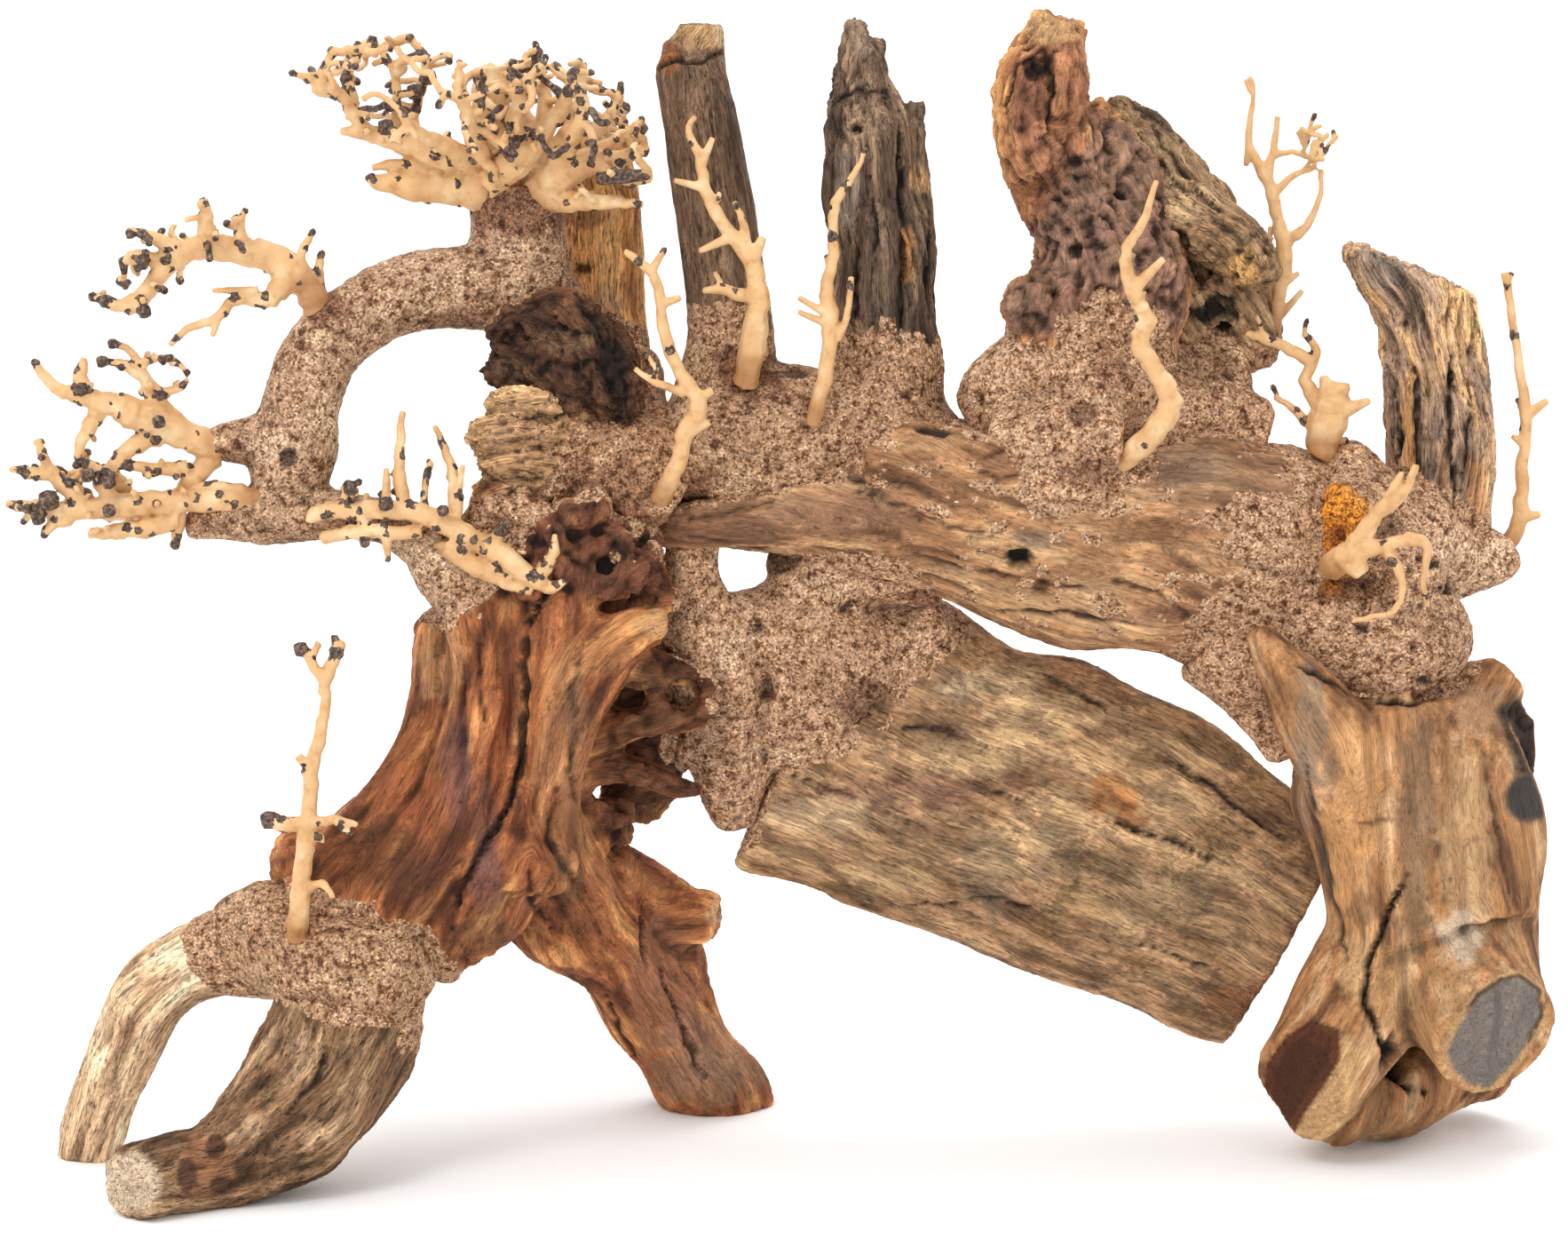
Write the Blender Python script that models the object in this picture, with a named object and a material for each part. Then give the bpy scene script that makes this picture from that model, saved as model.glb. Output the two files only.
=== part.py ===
"""Bonsai driftwood: an aquarium hardscape of separate pieces of wood, set in a mortar of glued sand.

Run with: blender --background --python part.py. Lengths here are millimetres until MM turns them into metres.
+Z is up, +Y points away from the viewer, and the origin is the bottom centre of the whole piece.

Every point is given as the front view shows it: how far across from the middle, how far up from the lowest
foot, and how deep behind the front foot. A limb is a list of such points, each with the half width there.
"""

import math
import random

import bmesh
import bpy
from mathutils import Matrix, Vector, noise

MM = 0.001

# The front view, from which the object's sizes were read
VIEW_DISTANCE = 1250.0
VIEW_PITCH = math.radians(9.0)
VIEW_MIDDLE_UP = 168.25
VIEW_MIDDLE_DEPTH = 90.0
VIEW_MIDDLE_HEIGHT = 147.9
CENTRE_ACROSS = 1.0
CENTRE_DEPTH = 68.0

# Fits and facets
GLUE_LINE = 0.5
WOOD_VOXEL = 3.0
FINE_VOXEL = 1.6
TWIG_VOXEL = 0.55
TWIG_SIDES = 5
SAPLING_SIDES = 4
CLEAR_OF_ROOT = 22.0

BROWN_WOOD = ("brown_wood", (0.33, 0.19, 0.11), 0.75)
GREY_WOOD = ("grey_wood", (0.30, 0.24, 0.19), 0.85)
TAN_WOOD = ("tan_wood", (0.46, 0.34, 0.22), 0.7)
DARK_WOOD = ("dark_wood", (0.12, 0.09, 0.07), 0.85)
PALE_TWIG = ("pale_twig", (0.83, 0.68, 0.45), 0.55)
SAND = ("sand_mortar", (0.42, 0.32, 0.26), 0.95)

FEET_DOWN = Vector((0.0, 0.0, -1.0))


def seen(across, up, depth):
    """The place of a point that the front view shows at (across, up), this deep behind the front foot."""
    raised = up - VIEW_MIDDLE_UP
    forward = VIEW_DISTANCE * math.cos(VIEW_PITCH)
    drop = VIEW_DISTANCE * math.sin(VIEW_PITCH)
    share = (depth - VIEW_MIDDLE_DEPTH + forward) / (forward + raised * math.sin(VIEW_PITCH))
    height = VIEW_MIDDLE_HEIGHT + drop + share * (raised * math.cos(VIEW_PITCH) - drop)
    return Vector((share * across - CENTRE_ACROSS, depth - CENTRE_DEPTH, height)), share


def clear_scene():
    for obj in list(bpy.data.objects):
        bpy.data.objects.remove(obj)


def material(kind):
    name, colour, roughness = kind
    made = bpy.data.materials.get(name)
    if made is None:
        made = bpy.data.materials.new(name)
        made.use_nodes = True
        shader = made.node_tree.nodes["Principled BSDF"]
        shader.inputs["Base Color"].default_value = (*colour, 1.0)
        shader.inputs["Roughness"].default_value = roughness
        shader.inputs["Metallic"].default_value = 0.0
    return made


def new_object(name, shape):
    mesh = bpy.data.meshes.new(name)
    shape.to_mesh(mesh)
    shape.free()
    obj = bpy.data.objects.new(name, mesh)
    bpy.context.scene.collection.objects.link(obj)
    return obj


def smooth_route(stations, per_span):
    """Catmull-Rom points through the stations, each (place, radius), with per_span steps between two of them."""
    if per_span == 1 or len(stations) < 3:
        return stations
    ends = [stations[0], *stations, stations[-1]]
    route = []
    for i in range(1, len(ends) - 2):
        for step in range(per_span):
            t = step / per_span
            weights = (
                (-t + 2 * t * t - t**3) / 2,
                (2 - 5 * t * t + 3 * t**3) / 2,
                (t + 4 * t * t - 3 * t**3) / 2,
                (-t * t + t**3) / 2,
            )
            near = ends[i - 1 : i + 3]
            place = sum((w * p for w, (p, _) in zip(weights, near)), Vector())
            radius = sum(w * r for w, (_, r) in zip(weights, near))
            route.append((place, radius))
    return [*route, stations[-1]]


def ring_frames(places):
    """Two directions across the route at each place, carried along it without twist, the first in the view."""
    frames = []
    into = Vector((0.0, 1.0, 0.0))
    for i, place in enumerate(places):
        along = (places[min(i + 1, len(places) - 1)] - places[max(i - 1, 0)]).normalized()
        into = into - along * into.dot(along)
        if into.length < 1e-3:
            into = along.orthogonal()
        into.normalize()
        frames.append((into.cross(along), into.copy()))
    return frames


def add_tube(shape, stations, sides, flat=1.0, lump=0.0, seed=0, per_span=2):
    """Adds a closed tube to a bmesh. flat is its thickness from front to back over its width."""
    route = smooth_route(stations, per_span)
    frames = ring_frames([place for place, _ in route])
    rings = []
    for i, ((place, radius), (wide, into)) in enumerate(zip(route, frames)):
        ring = []
        for k in range(sides):
            turn = 2 * math.pi * (k + 0.5 * (i % 2)) / sides
            side = wide * math.cos(turn) + into * (math.sin(turn) * flat)
            swell = 1 + lump * noise.noise(place / 22 + side * 0.8 + Vector((seed, 0, 0)))
            ring.append(shape.verts.new((place + side * radius * swell) * MM))
        rings.append(ring)
    for ring, after in zip(rings, rings[1:]):
        for k in range(sides):
            following = (k + 1) % sides
            shape.faces.new((ring[k], ring[following], after[following], after[k]))
    shape.faces.new(list(reversed(rings[0])))
    shape.faces.new(rings[-1])


def stations_of(points):
    """(place, radius) in the model for points given as (across, up, depth, half width)."""
    found = []
    for across, up, depth, half_width in points:
        place, share = seen(across, up, depth)
        found.append((place, half_width * share))
    return found


def evaluated(obj):
    """Applies the object's modifiers."""
    graph = bpy.context.evaluated_depsgraph_get()
    mesh = bpy.data.meshes.new_from_object(obj.evaluated_get(graph))
    obj.modifiers.clear()
    obj.data = mesh


def boolean(obj, operation, other=None, collection=None, solver="EXACT"):
    modifier = obj.modifiers.new("join", "BOOLEAN")
    modifier.operation = operation
    modifier.solver = solver
    if collection is None:
        modifier.object = other
    else:
        modifier.operand_type = "COLLECTION"
        modifier.collection = collection
    evaluated(obj)


def keep_largest(obj):
    """Drops the loose scraps that a cut can leave."""
    shape = bmesh.new()
    shape.from_mesh(obj.data)
    left = set(shape.faces)
    groups = []
    while left:
        front = [left.pop()]
        group = set(front)
        while front:
            for edge in front.pop().edges:
                fresh = left.intersection(edge.link_faces)
                left -= fresh
                group |= fresh
                front.extend(fresh)
        groups.append(group)
    groups.sort(key=len)
    for group in groups[:-1]:
        bmesh.ops.delete(shape, geom=list(group), context="FACES")
    bmesh.ops.recalc_face_normals(shape, faces=shape.faces)
    shape.to_mesh(obj.data)
    shape.free()


def saw(obj, point, outward):
    """Cuts off what lies beyond a plane, and closes the cut with a flat face."""
    shape = bmesh.new()
    shape.from_mesh(obj.data)
    everything = list(shape.verts) + list(shape.edges) + list(shape.faces)
    bmesh.ops.bisect_plane(
        shape, geom=everything, dist=1e-6, plane_co=point * MM, plane_no=outward, clear_outer=True
    )
    rim = [edge for edge in shape.edges if edge.is_boundary]
    bmesh.ops.edgeloop_fill(shape, edges=rim)
    bmesh.ops.recalc_face_normals(shape, faces=shape.faces)
    shape.to_mesh(obj.data)
    shape.free()


def fuse(obj, voxel, relaxed, triangles):
    """Joins an object's overlapping shells on a voxel grid, then thins it to so many triangles."""
    remesh = obj.modifiers.new("fuse", "REMESH")
    remesh.mode = "VOXEL"
    remesh.voxel_size = voxel * MM
    if relaxed:
        relax = obj.modifiers.new("relax", "SMOOTH")
        relax.iterations = relaxed
    evaluated(obj)
    keep_largest(obj)
    obj.data.calc_loop_triangles()
    thin = obj.modifiers.new("thin", "DECIMATE")
    thin.ratio = min(1.0, triangles / len(obj.data.loop_triangles))
    evaluated(obj)
    keep_largest(obj)


def fused(name, kind, limbs, triangles, voxel=WOOD_VOXEL, flat=1.0, lump=0.25, sides=14, seed=1):
    """One body from limbs that run into each other."""
    shape = bmesh.new()
    for i, limb in enumerate(limbs):
        add_tube(shape, stations_of(limb), sides, flat, lump, seed + i, per_span=3)
    obj = new_object(name, shape)
    fuse(obj, voxel, 3, triangles)
    obj.data.materials.clear()
    obj.data.materials.append(material(kind))
    return obj


def side_twigs(limbs, count, heart, reach, rng):
    """Short twigs that sprout from the limbs, away from the spray's heart, each with a swollen tip."""
    foot = limbs[0][0][0]
    sprouts = []
    while len(sprouts) < count:
        limb = limbs[rng.randrange(len(limbs))]
        span = rng.randrange(1, len(limb))
        t = rng.random()
        before, after = limb[span - 1], limb[span]
        root = before[0].lerp(after[0], t)
        thick = before[1] + (after[1] - before[1]) * t
        wander = Vector([rng.gauss(0, 1) for _ in range(3)]).normalized()
        away = (root - heart).normalized()
        grow = (wander * 0.9 + away * 0.8 + Vector((0, 0, 0.45))).normalized()
        tip = root + grow * (thick + reach * rng.uniform(0.45, 1.0))
        half = min(2.1, max(1.4, thick * 0.55))
        if (root - foot).length > CLEAR_OF_ROOT:
            sprouts.append([(root, half), (tip, half * rng.uniform(0.75, 1.1))])
    return sprouts


def spray(name, limbs, count, heart, triangles, reach=10.0, seed=1):
    """A dense spray of twigs in one body: hand-placed limbs, and side twigs by a seeded rule."""
    rng = random.Random(seed)
    main = [stations_of(limb) for limb in limbs]
    shape = bmesh.new()
    for i, limb in enumerate(main + side_twigs(main, count, seen(*heart)[0], reach, rng)):
        add_tube(shape, limb, TWIG_SIDES, per_span=1, lump=0.12, seed=seed + i)
    obj = new_object(name, shape)
    fuse(obj, TWIG_VOXEL, 0, triangles)
    obj.data.materials.clear()
    obj.data.materials.append(material(PALE_TWIG))
    return obj


def sapling(name, limbs):
    """A single twig with its forks, joined by one Boolean union, for which the exact solver leaves slivers."""
    rest = bpy.data.collections.new(name + "_limbs")
    bpy.context.scene.collection.children.link(rest)
    for i, limb in enumerate(limbs):
        shape = bmesh.new()
        add_tube(shape, stations_of(limb), SAPLING_SIDES, per_span=1, lump=0.12, seed=i)
        piece = new_object(name if i == 0 else f"{name}_{i}", shape)
        if i:
            bpy.context.scene.collection.objects.unlink(piece)
            rest.objects.link(piece)
        else:
            whole = piece
    boolean(whole, "UNION", collection=rest, solver="MANIFOLD")
    for piece in list(rest.objects):
        bpy.data.objects.remove(piece)
    bpy.data.collections.remove(rest)
    keep_largest(whole)
    whole.data.materials.clear()
    whole.data.materials.append(material(PALE_TWIG))
    return whole


def swollen(obj, by):
    """A copy of the object, this much larger all round, which cuts a socket for it."""
    copy = obj.copy()
    copy.data = obj.data.copy()
    bpy.context.scene.collection.objects.link(copy)
    shape = bmesh.new()
    shape.from_mesh(copy.data)
    shape.normal_update()
    for vert in shape.verts:
        facing = [face.normal.dot(vert.normal) for face in vert.link_faces]
        vert.co += vert.normal * (by * MM / max(0.35, min(facing)))
    shape.to_mesh(copy.data)
    shape.free()
    return copy


def box_of(obj):
    corners = [vert.co for vert in obj.data.vertices]
    return [(min(c[i] for c in corners), max(c[i] for c in corners)) for i in range(3)]


def boxes_meet(a, b):
    slack = GLUE_LINE * MM
    return all(lo_a <= hi_b + slack and lo_b <= hi_a + slack for (lo_a, hi_a), (lo_b, hi_b) in zip(a, b))


def fit_between(obj, earlier):
    """Cuts the object where an earlier piece passes through it, with a glue line's gap around that piece.

    A swollen cutter can cross itself, which the exact solver doesn't survive, so these cuts use the other one.
    """
    for other in earlier:
        if not boxes_meet(box_of(obj), box_of(other)):
            continue
        cutter = swollen(other, GLUE_LINE)
        boolean(obj, "DIFFERENCE", other=cutter, solver="MANIFOLD")
        bpy.data.objects.remove(cutter)
    keep_largest(obj)


TRUNK = [
    [(-62, 200, 84, 22), (-66, 182, 82, 31), (-67, 165, 80, 34), (-70, 150, 78, 31), (-77, 132, 76, 29),
     (-84, 115, 74, 32), (-90, 100, 72, 34)],
    [(-84, 120, 72, 24), (-98, 104, 66, 26), (-112, 93, 58, 26), (-126, 83, 52, 19), (-138, 74, 48, 12)],
    [(-128, 101, 60, 10), (-143, 106, 58, 6)],
    [(-85, 110, 62, 28), (-91, 90, 58, 20), (-96, 74, 56, 8), (-97, 68, 55, 4)],
    [(-75, 112, 80, 27), (-62, 94, 92, 21), (-48, 79, 102, 18), (-37, 62, 110, 15), (-28, 48, 116, 17),
     (-20, 38, 121, 15), (-16, 28, 125, 13)],
    [(-40, 84, 104, 10), (-28, 86, 102, 8), (-17, 85, 100, 6)],
    [(-54, 152, 74, 14), (-38, 151, 72, 9), (-24, 147, 72, 6)],
    [(-54, 132, 78, 9), (-38, 137, 76, 6), (-27, 142, 75, 4)],
    [(-56, 124, 80, 9), (-40, 123, 78, 6), (-28, 123, 78, 3.5)],
    [(-54, 120, 80, 6), (-48, 112, 80, 4.5), (-47, 105, 80, 3)],
    [(-60, 186, 66, 12), (-46, 184, 60, 9), (-37, 176, 58, 8), (-32, 169, 58, 6)],
    [(-96, 166, 76, 8), (-104, 164, 76, 4)],
]
ROOT_REAR = [
    [(-138, 76, 58, 14), (-152, 76, 58, 13.5), (-165, 73, 60, 12.5), (-177, 65, 62, 11.5), (-184, 52, 63, 10),
     (-190, 38, 64, 9.5), (-194, 25, 65, 9), (-197, 12, 66, 8)],
]
ROOT_FRONT = [
    [(-116, 72, 48, 16), (-120, 57, 45, 20), (-128, 42, 40, 20), (-142, 26, 31, 16.5), (-158, 16, 22, 12.5),
     (-172, 12, 14, 11), (-186, 9, 4, 10.5), (-196, 6, -6, 10)],
    [(-112, 46, 46, 8), (-120, 26, 42, 4)],
]
SLAB = [
    [(4, 142, 102, 45), (42, 126, 102, 44), (80, 111, 102, 43), (114, 95, 102, 39), (141, 81, 102, 35)],
]
BRIDGE = [
    [(-36, 204, 88, 11), (-15, 204, 86, 14), (10, 205, 84, 19), (38, 203, 82, 24), (65, 196, 82, 29),
     (92, 191, 84, 31), (120, 189, 86, 33), (148, 184, 90, 31), (168, 180, 94, 27)],
]
STUMP = [
    [(172, 146, 86, 26), (174, 132, 84, 31), (178, 112, 81, 31), (183, 92, 78, 30), (187, 75, 74, 28),
     (193, 63, 62, 21), (198, 55, 50, 17), (202, 47, 36, 16.5)],
    [(182, 95, 78, 20), (172, 76, 74, 19), (161, 58, 68, 17), (151, 44, 58, 16), (142, 34, 46, 15)],
    [(152, 34, 70, 15), (168, 37, 84, 17), (184, 42, 98, 18), (198, 46, 110, 16)],
    [(165, 140, 84, 24), (151, 148, 82, 16), (141, 157, 80, 10), (134, 166, 78, 5)],
    [(185, 138, 86, 20), (196, 147, 88, 12), (204, 154, 90, 7)],
    [(200, 122, 90, 9), (208, 120, 92, 6.5), (213, 119, 92, 5)],
    [(202, 140, 90, 7), (209, 138, 91, 4)],
]
POST_TWO_STEPS = [
    [(-14, 230, 86, 12), (-15, 250, 86, 11.5), (-18, 275, 86, 11.5), (-22, 300, 86, 11), (-26, 322, 86, 10),
     (-27, 327, 86, 9.5)],
    [(-24, 318, 87, 8), (-23.5, 337, 87, 6.5)],
    [(-32, 318, 85, 4), (-33, 333, 85, 1.5)],
]
POST_JAGGED = [
    [(29, 226, 86, 15), (29, 245, 86, 14), (28, 265, 86, 13.5), (26, 285, 86, 13.5), (24, 302, 86, 12.5),
     (22, 318, 86, 8.5), (21, 330, 86, 5), (20, 339, 86, 2)],
    [(36, 250, 84, 7), (36.5, 275, 85, 5.5), (35.5, 292, 85, 5), (35.5, 306, 85, 4), (38, 316, 85, 1.5)],
    [(25, 318, 88, 4), (26.5, 333, 88, 2.5)],
]
BURL = [
    [(84, 236, 84, 19), (84, 255, 84, 18), (84, 270, 84, 15.5), (81, 285, 84, 13.5), (76, 298, 84, 13),
     (74, 312, 84, 12), (75, 326, 84, 10.5), (77, 336, 84, 8.5), (78, 340, 84, 6)],
    [(78, 256, 78, 10), (67, 256, 76, 6), (61, 255, 75, 3)],
    [(82, 300, 86, 9), (92, 306, 88, 8)],
]
BURL_SIDE = [
    [(90, 316, 98, 5), (98, 301, 99, 10), (107, 284, 100, 13), (114, 270, 101, 14), (121, 256, 101, 13),
     (126, 243, 101, 11)],
    [(110, 279, 92, 10), (120, 278, 84, 9.5), (128, 273, 77, 8.5), (133, 267, 72, 6)],
]
POST_RIBBED = [
    [(184, 182, 96, 13), (184, 198, 96, 13.5), (185, 215, 96, 14.5), (184, 235, 96, 13.5), (181, 250, 96, 13.5),
     (178, 262, 96, 14), (172, 270, 95, 13), (168, 278, 94, 12)],
]
POST_REAR = [
    [(-50, 228, 108, 13), (-52, 250, 108, 13.5), (-53, 272, 108, 13), (-53, 290, 108, 12.5), (-55, 305, 108, 11)],
]
DARK_CHUNK = [
    [(-50, 230, 76, 8), (-59, 238, 74, 11.5), (-68, 243, 71, 11.5), (-77, 242, 70, 7), (-83, 240, 70, 4)],
    [(-62, 254, 74, 5), (-54, 244, 72, 6), (-47, 231, 70, 4)],
]
KNOT_WOOD = [
    [(-70, 224, 72, 8), (-79, 223, 69, 8), (-86, 216, 68, 5)],
    [(-66, 212, 72, 13), (-79, 207, 68, 8), (-87, 201, 66, 4)],
    [(-72, 212, 70, 10), (-76, 196, 66, 10), (-78, 184, 62, 8)],
]

ARCH_MORTAR = [
    [(-64, 240, 88, 12), (-68, 256, 84, 13), (-80, 262, 78, 12.5), (-95, 262.5, 74, 11.5), (-110, 260, 70, 10.5),
     (-122, 253, 66, 10.5), (-131, 243, 62, 10.5), (-136, 230, 60, 11), (-138, 218, 60, 12), (-140, 206, 60, 10),
     (-140, 199, 60, 7)],
    [(-140, 218, 60, 9), (-150, 219, 58, 7), (-159, 219, 56, 5), (-164, 219, 55, 3)],
    [(-168, 196, 56, 4), (-158, 197, 57, 5.5), (-145, 199, 58, 8), (-128, 199, 58, 7), (-112, 197, 58, 6.5),
     (-100, 192, 58, 9), (-94, 183, 58, 10), (-88, 174, 60, 9)],
    [(-73, 262, 80, 13), (-75, 276, 79, 13), (-76, 286, 78, 12), (-76, 292, 78, 10)],
]
SHOULDER_MORTAR = [
    [(-84, 196, 66, 12), (-70, 206, 70, 15), (-55, 210, 72, 18), (-42, 208, 74, 18), (-33, 202, 76, 13)],
    [(-50, 238, 100, 15), (-48, 224, 88, 17), (-45, 208, 80, 16), (-42, 194, 76, 13)],
    [(-30, 222, 84, 12), (-40, 218, 84, 14)],
]
HEART_MORTAR = [
    [(-26, 148, 76, 11), (-16, 158, 80, 16), (2, 160, 84, 20), (20, 158, 86, 19), (36, 164, 88, 13), (46, 170, 88, 6)],
    [(-22, 138, 80, 12), (-12, 131, 84, 13), (-10, 118, 88, 8)],
    [(2, 168, 84, 15), (16, 182, 84, 13), (26, 184, 84, 8)],
    [(-28, 166, 76, 9), (-28, 182, 76, 8), (-30, 194, 76, 8)],
]
POSTS_MORTAR = [
    [(-15, 222, 85, 19), (-15, 236, 86, 16), (-15, 246, 86, 14), (-16, 253, 86, 12.5)],
    [(29, 224, 85, 20), (29, 240, 86, 17), (29, 252, 86, 15)],
    [(-28, 222, 84, 12), (-10, 226, 82, 15), (10, 227, 82, 14), (30, 227, 82, 14), (42, 222, 84, 9)],
    [(-20, 212, 72, 9), (0, 216, 68, 11), (22, 216, 68, 9)],
]
BURL_MORTAR = [
    [(50, 222, 84, 9), (60, 227, 84, 14), (72, 233, 84, 20), (84, 237, 84, 22), (86, 248, 84, 19)],
    [(108, 226, 90, 12), (120, 234, 96, 15), (130, 240, 98, 12), (136, 250, 97, 6)],
    [(66, 214, 66, 8), (80, 218, 64, 12), (94, 216, 62, 9)],
    [(90, 226, 84, 12), (108, 224, 86, 12), (124, 226, 88, 10)],
]
RIGHT_MORTAR = [
    [(120, 166, 80, 12), (132, 160, 80, 15), (148, 166, 80, 19), (162, 168, 82, 22), (174, 166, 86, 21),
     (184, 172, 92, 13)],
    [(150, 196, 80, 14), (162, 194, 82, 18), (176, 190, 90, 19), (190, 188, 95, 12)],
    [(162, 180, 80, 22), (176, 180, 86, 20)],
    [(188, 186, 94, 11), (200, 187, 94, 8), (206, 189, 94, 4.5)],
    [(160, 208, 86, 10), (156, 218, 86, 6)],
    [(116, 160, 82, 8), (127, 152, 82, 9), (135, 142, 82, 7), (140, 130, 82, 4)],
]
FEET_MORTAR = [
    [(-153, 79, 57, 13), (-142, 80, 50, 14), (-130, 77, 44, 16), (-116, 72, 42, 18), (-104, 64, 46, 12)],
    [(-132, 78, 46, 13), (-134, 88, 46, 8)],
    [(-118, 70, 46, 18), (-108, 62, 45, 13)],
]

CROWN_LEFT = [
    [(-76, 285, 78, 6.5), (-88, 291, 74, 6), (-102, 290, 70, 5), (-114, 294, 66, 4)],
    [(-79, 288, 79, 6), (-90, 297, 77, 5.5), (-104, 303, 72, 5), (-118, 306, 68, 3.6), (-125, 307, 66, 2)],
    [(-116, 305, 69, 3.4), (-121, 316, 66, 3), (-129, 322, 62, 3.6), (-137, 322, 58, 2.4)],
    [(-128, 321, 62, 3), (-129, 329, 60, 1.6)],
    [(-103, 302, 73, 3.8), (-108, 312, 74, 3.4), (-110, 322, 76, 3), (-115, 332, 76, 2.4)],
    [(-94, 298, 78, 4.6), (-98, 310, 84, 4), (-100, 320, 88, 3.4), (-106, 332, 90, 2.4)],
    [(-84, 292, 80, 5.5), (-85, 306, 90, 5.5), (-85, 325, 94, 5.5)],
    [(-97, 308, 84, 3.4), (-94, 322, 88, 2.4), (-91, 332, 90, 1.9)],
    [(-90, 296, 76, 4.5), (-100, 306, 62, 3.6), (-108, 316, 52, 3), (-118, 322, 46, 2.2)],
    [(-86, 296, 74, 4.2), (-88, 308, 60, 3.6), (-92, 318, 50, 2.8), (-98, 326, 46, 2)],
    [(-88, 298, 84, 4.2), (-98, 308, 100, 3.6), (-106, 318, 110, 2.8), (-118, 322, 116, 2)],
]
CROWN_RIGHT = [
    [(-71, 286, 78, 7), (-65, 297, 75, 6), (-57, 301, 70, 5), (-48, 301, 64, 4), (-39, 303, 60, 2.8)],
    [(-69, 290, 80, 6), (-69, 305, 82, 5), (-67, 318, 84, 4), (-69, 329, 86, 2.8)],
    [(-66, 296, 80, 5), (-57, 309, 84, 4), (-53, 319, 88, 2.8)],
    [(-58, 301, 72, 4), (-50, 309, 74, 3.4), (-44, 313, 76, 2.4)],
    [(-66, 294, 80, 5), (-54, 308, 92, 4), (-42, 316, 98, 3)],
    [(-66, 290, 74, 5), (-55, 291, 62, 4), (-44, 290, 54, 3)],
    [(-68, 298, 78, 4.4), (-70, 308, 62, 3.6), (-66, 318, 50, 2.8), (-60, 324, 44, 2)],
    [(-64, 300, 76, 4), (-58, 310, 62, 3.4), (-50, 316, 54, 2.6)],
    [(-70, 304, 84, 4.2), (-74, 314, 98, 3.4), (-72, 324, 108, 2.4)],
]
SPRAY_UPPER = [
    [(-131, 256, 62, 5), (-138, 267, 60, 4.6), (-147, 272.5, 58, 5), (-158, 274, 54, 5.4), (-168, 277, 52, 5),
     (-177, 270, 50, 4), (-182, 261, 48, 4.4), (-178, 256, 47, 3)],
    [(-145, 272, 58, 4.4), (-146, 263, 57, 3.6), (-155, 260, 55, 2.6), (-161, 254, 53, 2.2), (-171, 251, 52, 1.7)],
    [(-162, 277, 52, 4), (-163, 287, 52, 2)],
    [(-181, 262, 48, 3), (-192, 260, 46, 2.6)],
    [(-171, 276, 52, 3), (-178, 280, 51, 2), (-184, 277, 50, 2.2), (-183, 270, 50, 1.6)],
    [(-138, 267, 60, 2.6), (-134, 277, 60, 2), (-130, 273, 60, 1.4)],
    [(-156, 258, 55, 1.6), (-162, 262, 54, 1.2)],
]
SPRAY_LEFT = [
    [(-156, 219, 56, 4.6), (-168, 221, 54, 4), (-180, 224, 50, 6), (-192, 226, 48, 5.6), (-201, 233, 46, 3.6),
     (-207, 238, 44, 2.4), (-210, 241, 43, 1.4)],
    [(-171, 223, 53, 3.6), (-176, 234, 53, 3.4), (-185, 242, 50, 2.4), (-194, 244, 48, 1.4)],
    [(-195, 229, 47, 3.6), (-197, 238, 46, 3), (-197, 244, 46, 1.8)],
    [(-177, 236, 53, 2.2), (-169, 239, 53, 1.4), (-172, 245, 53, 1.3)],
    [(-167, 220, 54, 3.6), (-171, 211, 54, 4), (-179, 212, 50, 3), (-188, 218, 48, 3)],
    [(-194, 226, 48, 3), (-197, 217, 47, 2.4)],
]
SPRAY_LOW = [
    [(-146, 204, 55, 3), (-158, 203, 53, 4.4), (-172, 202, 51, 5), (-186, 205, 50, 5), (-200, 205, 48, 5),
     (-212, 203, 46, 3.4), (-219, 202, 46, 1.8)],
    [(-172, 199, 50, 3.6), (-186, 196, 48, 4.4), (-202, 199, 46, 4.4), (-212, 197, 46, 2.6)],
    [(-198, 206, 48, 3.6), (-206, 212, 47, 3), (-209, 220, 46, 1.9)],
    [(-172, 199, 51, 3), (-170, 190, 49, 1.9)],
    [(-207, 211, 47, 2), (-216, 211, 45, 1.9)],
    [(-186, 206, 52, 3.6), (-190, 211, 60, 2.8), (-200, 211, 66, 2)],
]
SPRAY_FRONT = [
    [(-132, 199, 49, 2.6), (-122, 202, 47, 3.8), (-110, 201, 46, 4.2), (-98, 198, 46, 4.4), (-88, 193, 46, 4.6),
     (-78, 186, 46, 4.8), (-69, 180, 46, 4)],
    [(-128, 193, 48, 2.4), (-115, 193, 46, 3.4), (-102, 194, 46, 3.4)],
    [(-70, 181, 46, 3), (-64, 190, 46, 2.4), (-65, 194, 47, 1.6)],
    [(-108, 201, 48, 2.8), (-108, 214, 50, 2.2), (-107, 227, 52, 1.2)],
    [(-100, 199, 49, 1.6), (-101, 206, 51, 1.3), (-99.5, 213, 52, 1.5)],
    [(-93, 195, 49, 2.8), (-93, 210, 53, 2), (-98, 223, 55, 1.2)],
]
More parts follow.
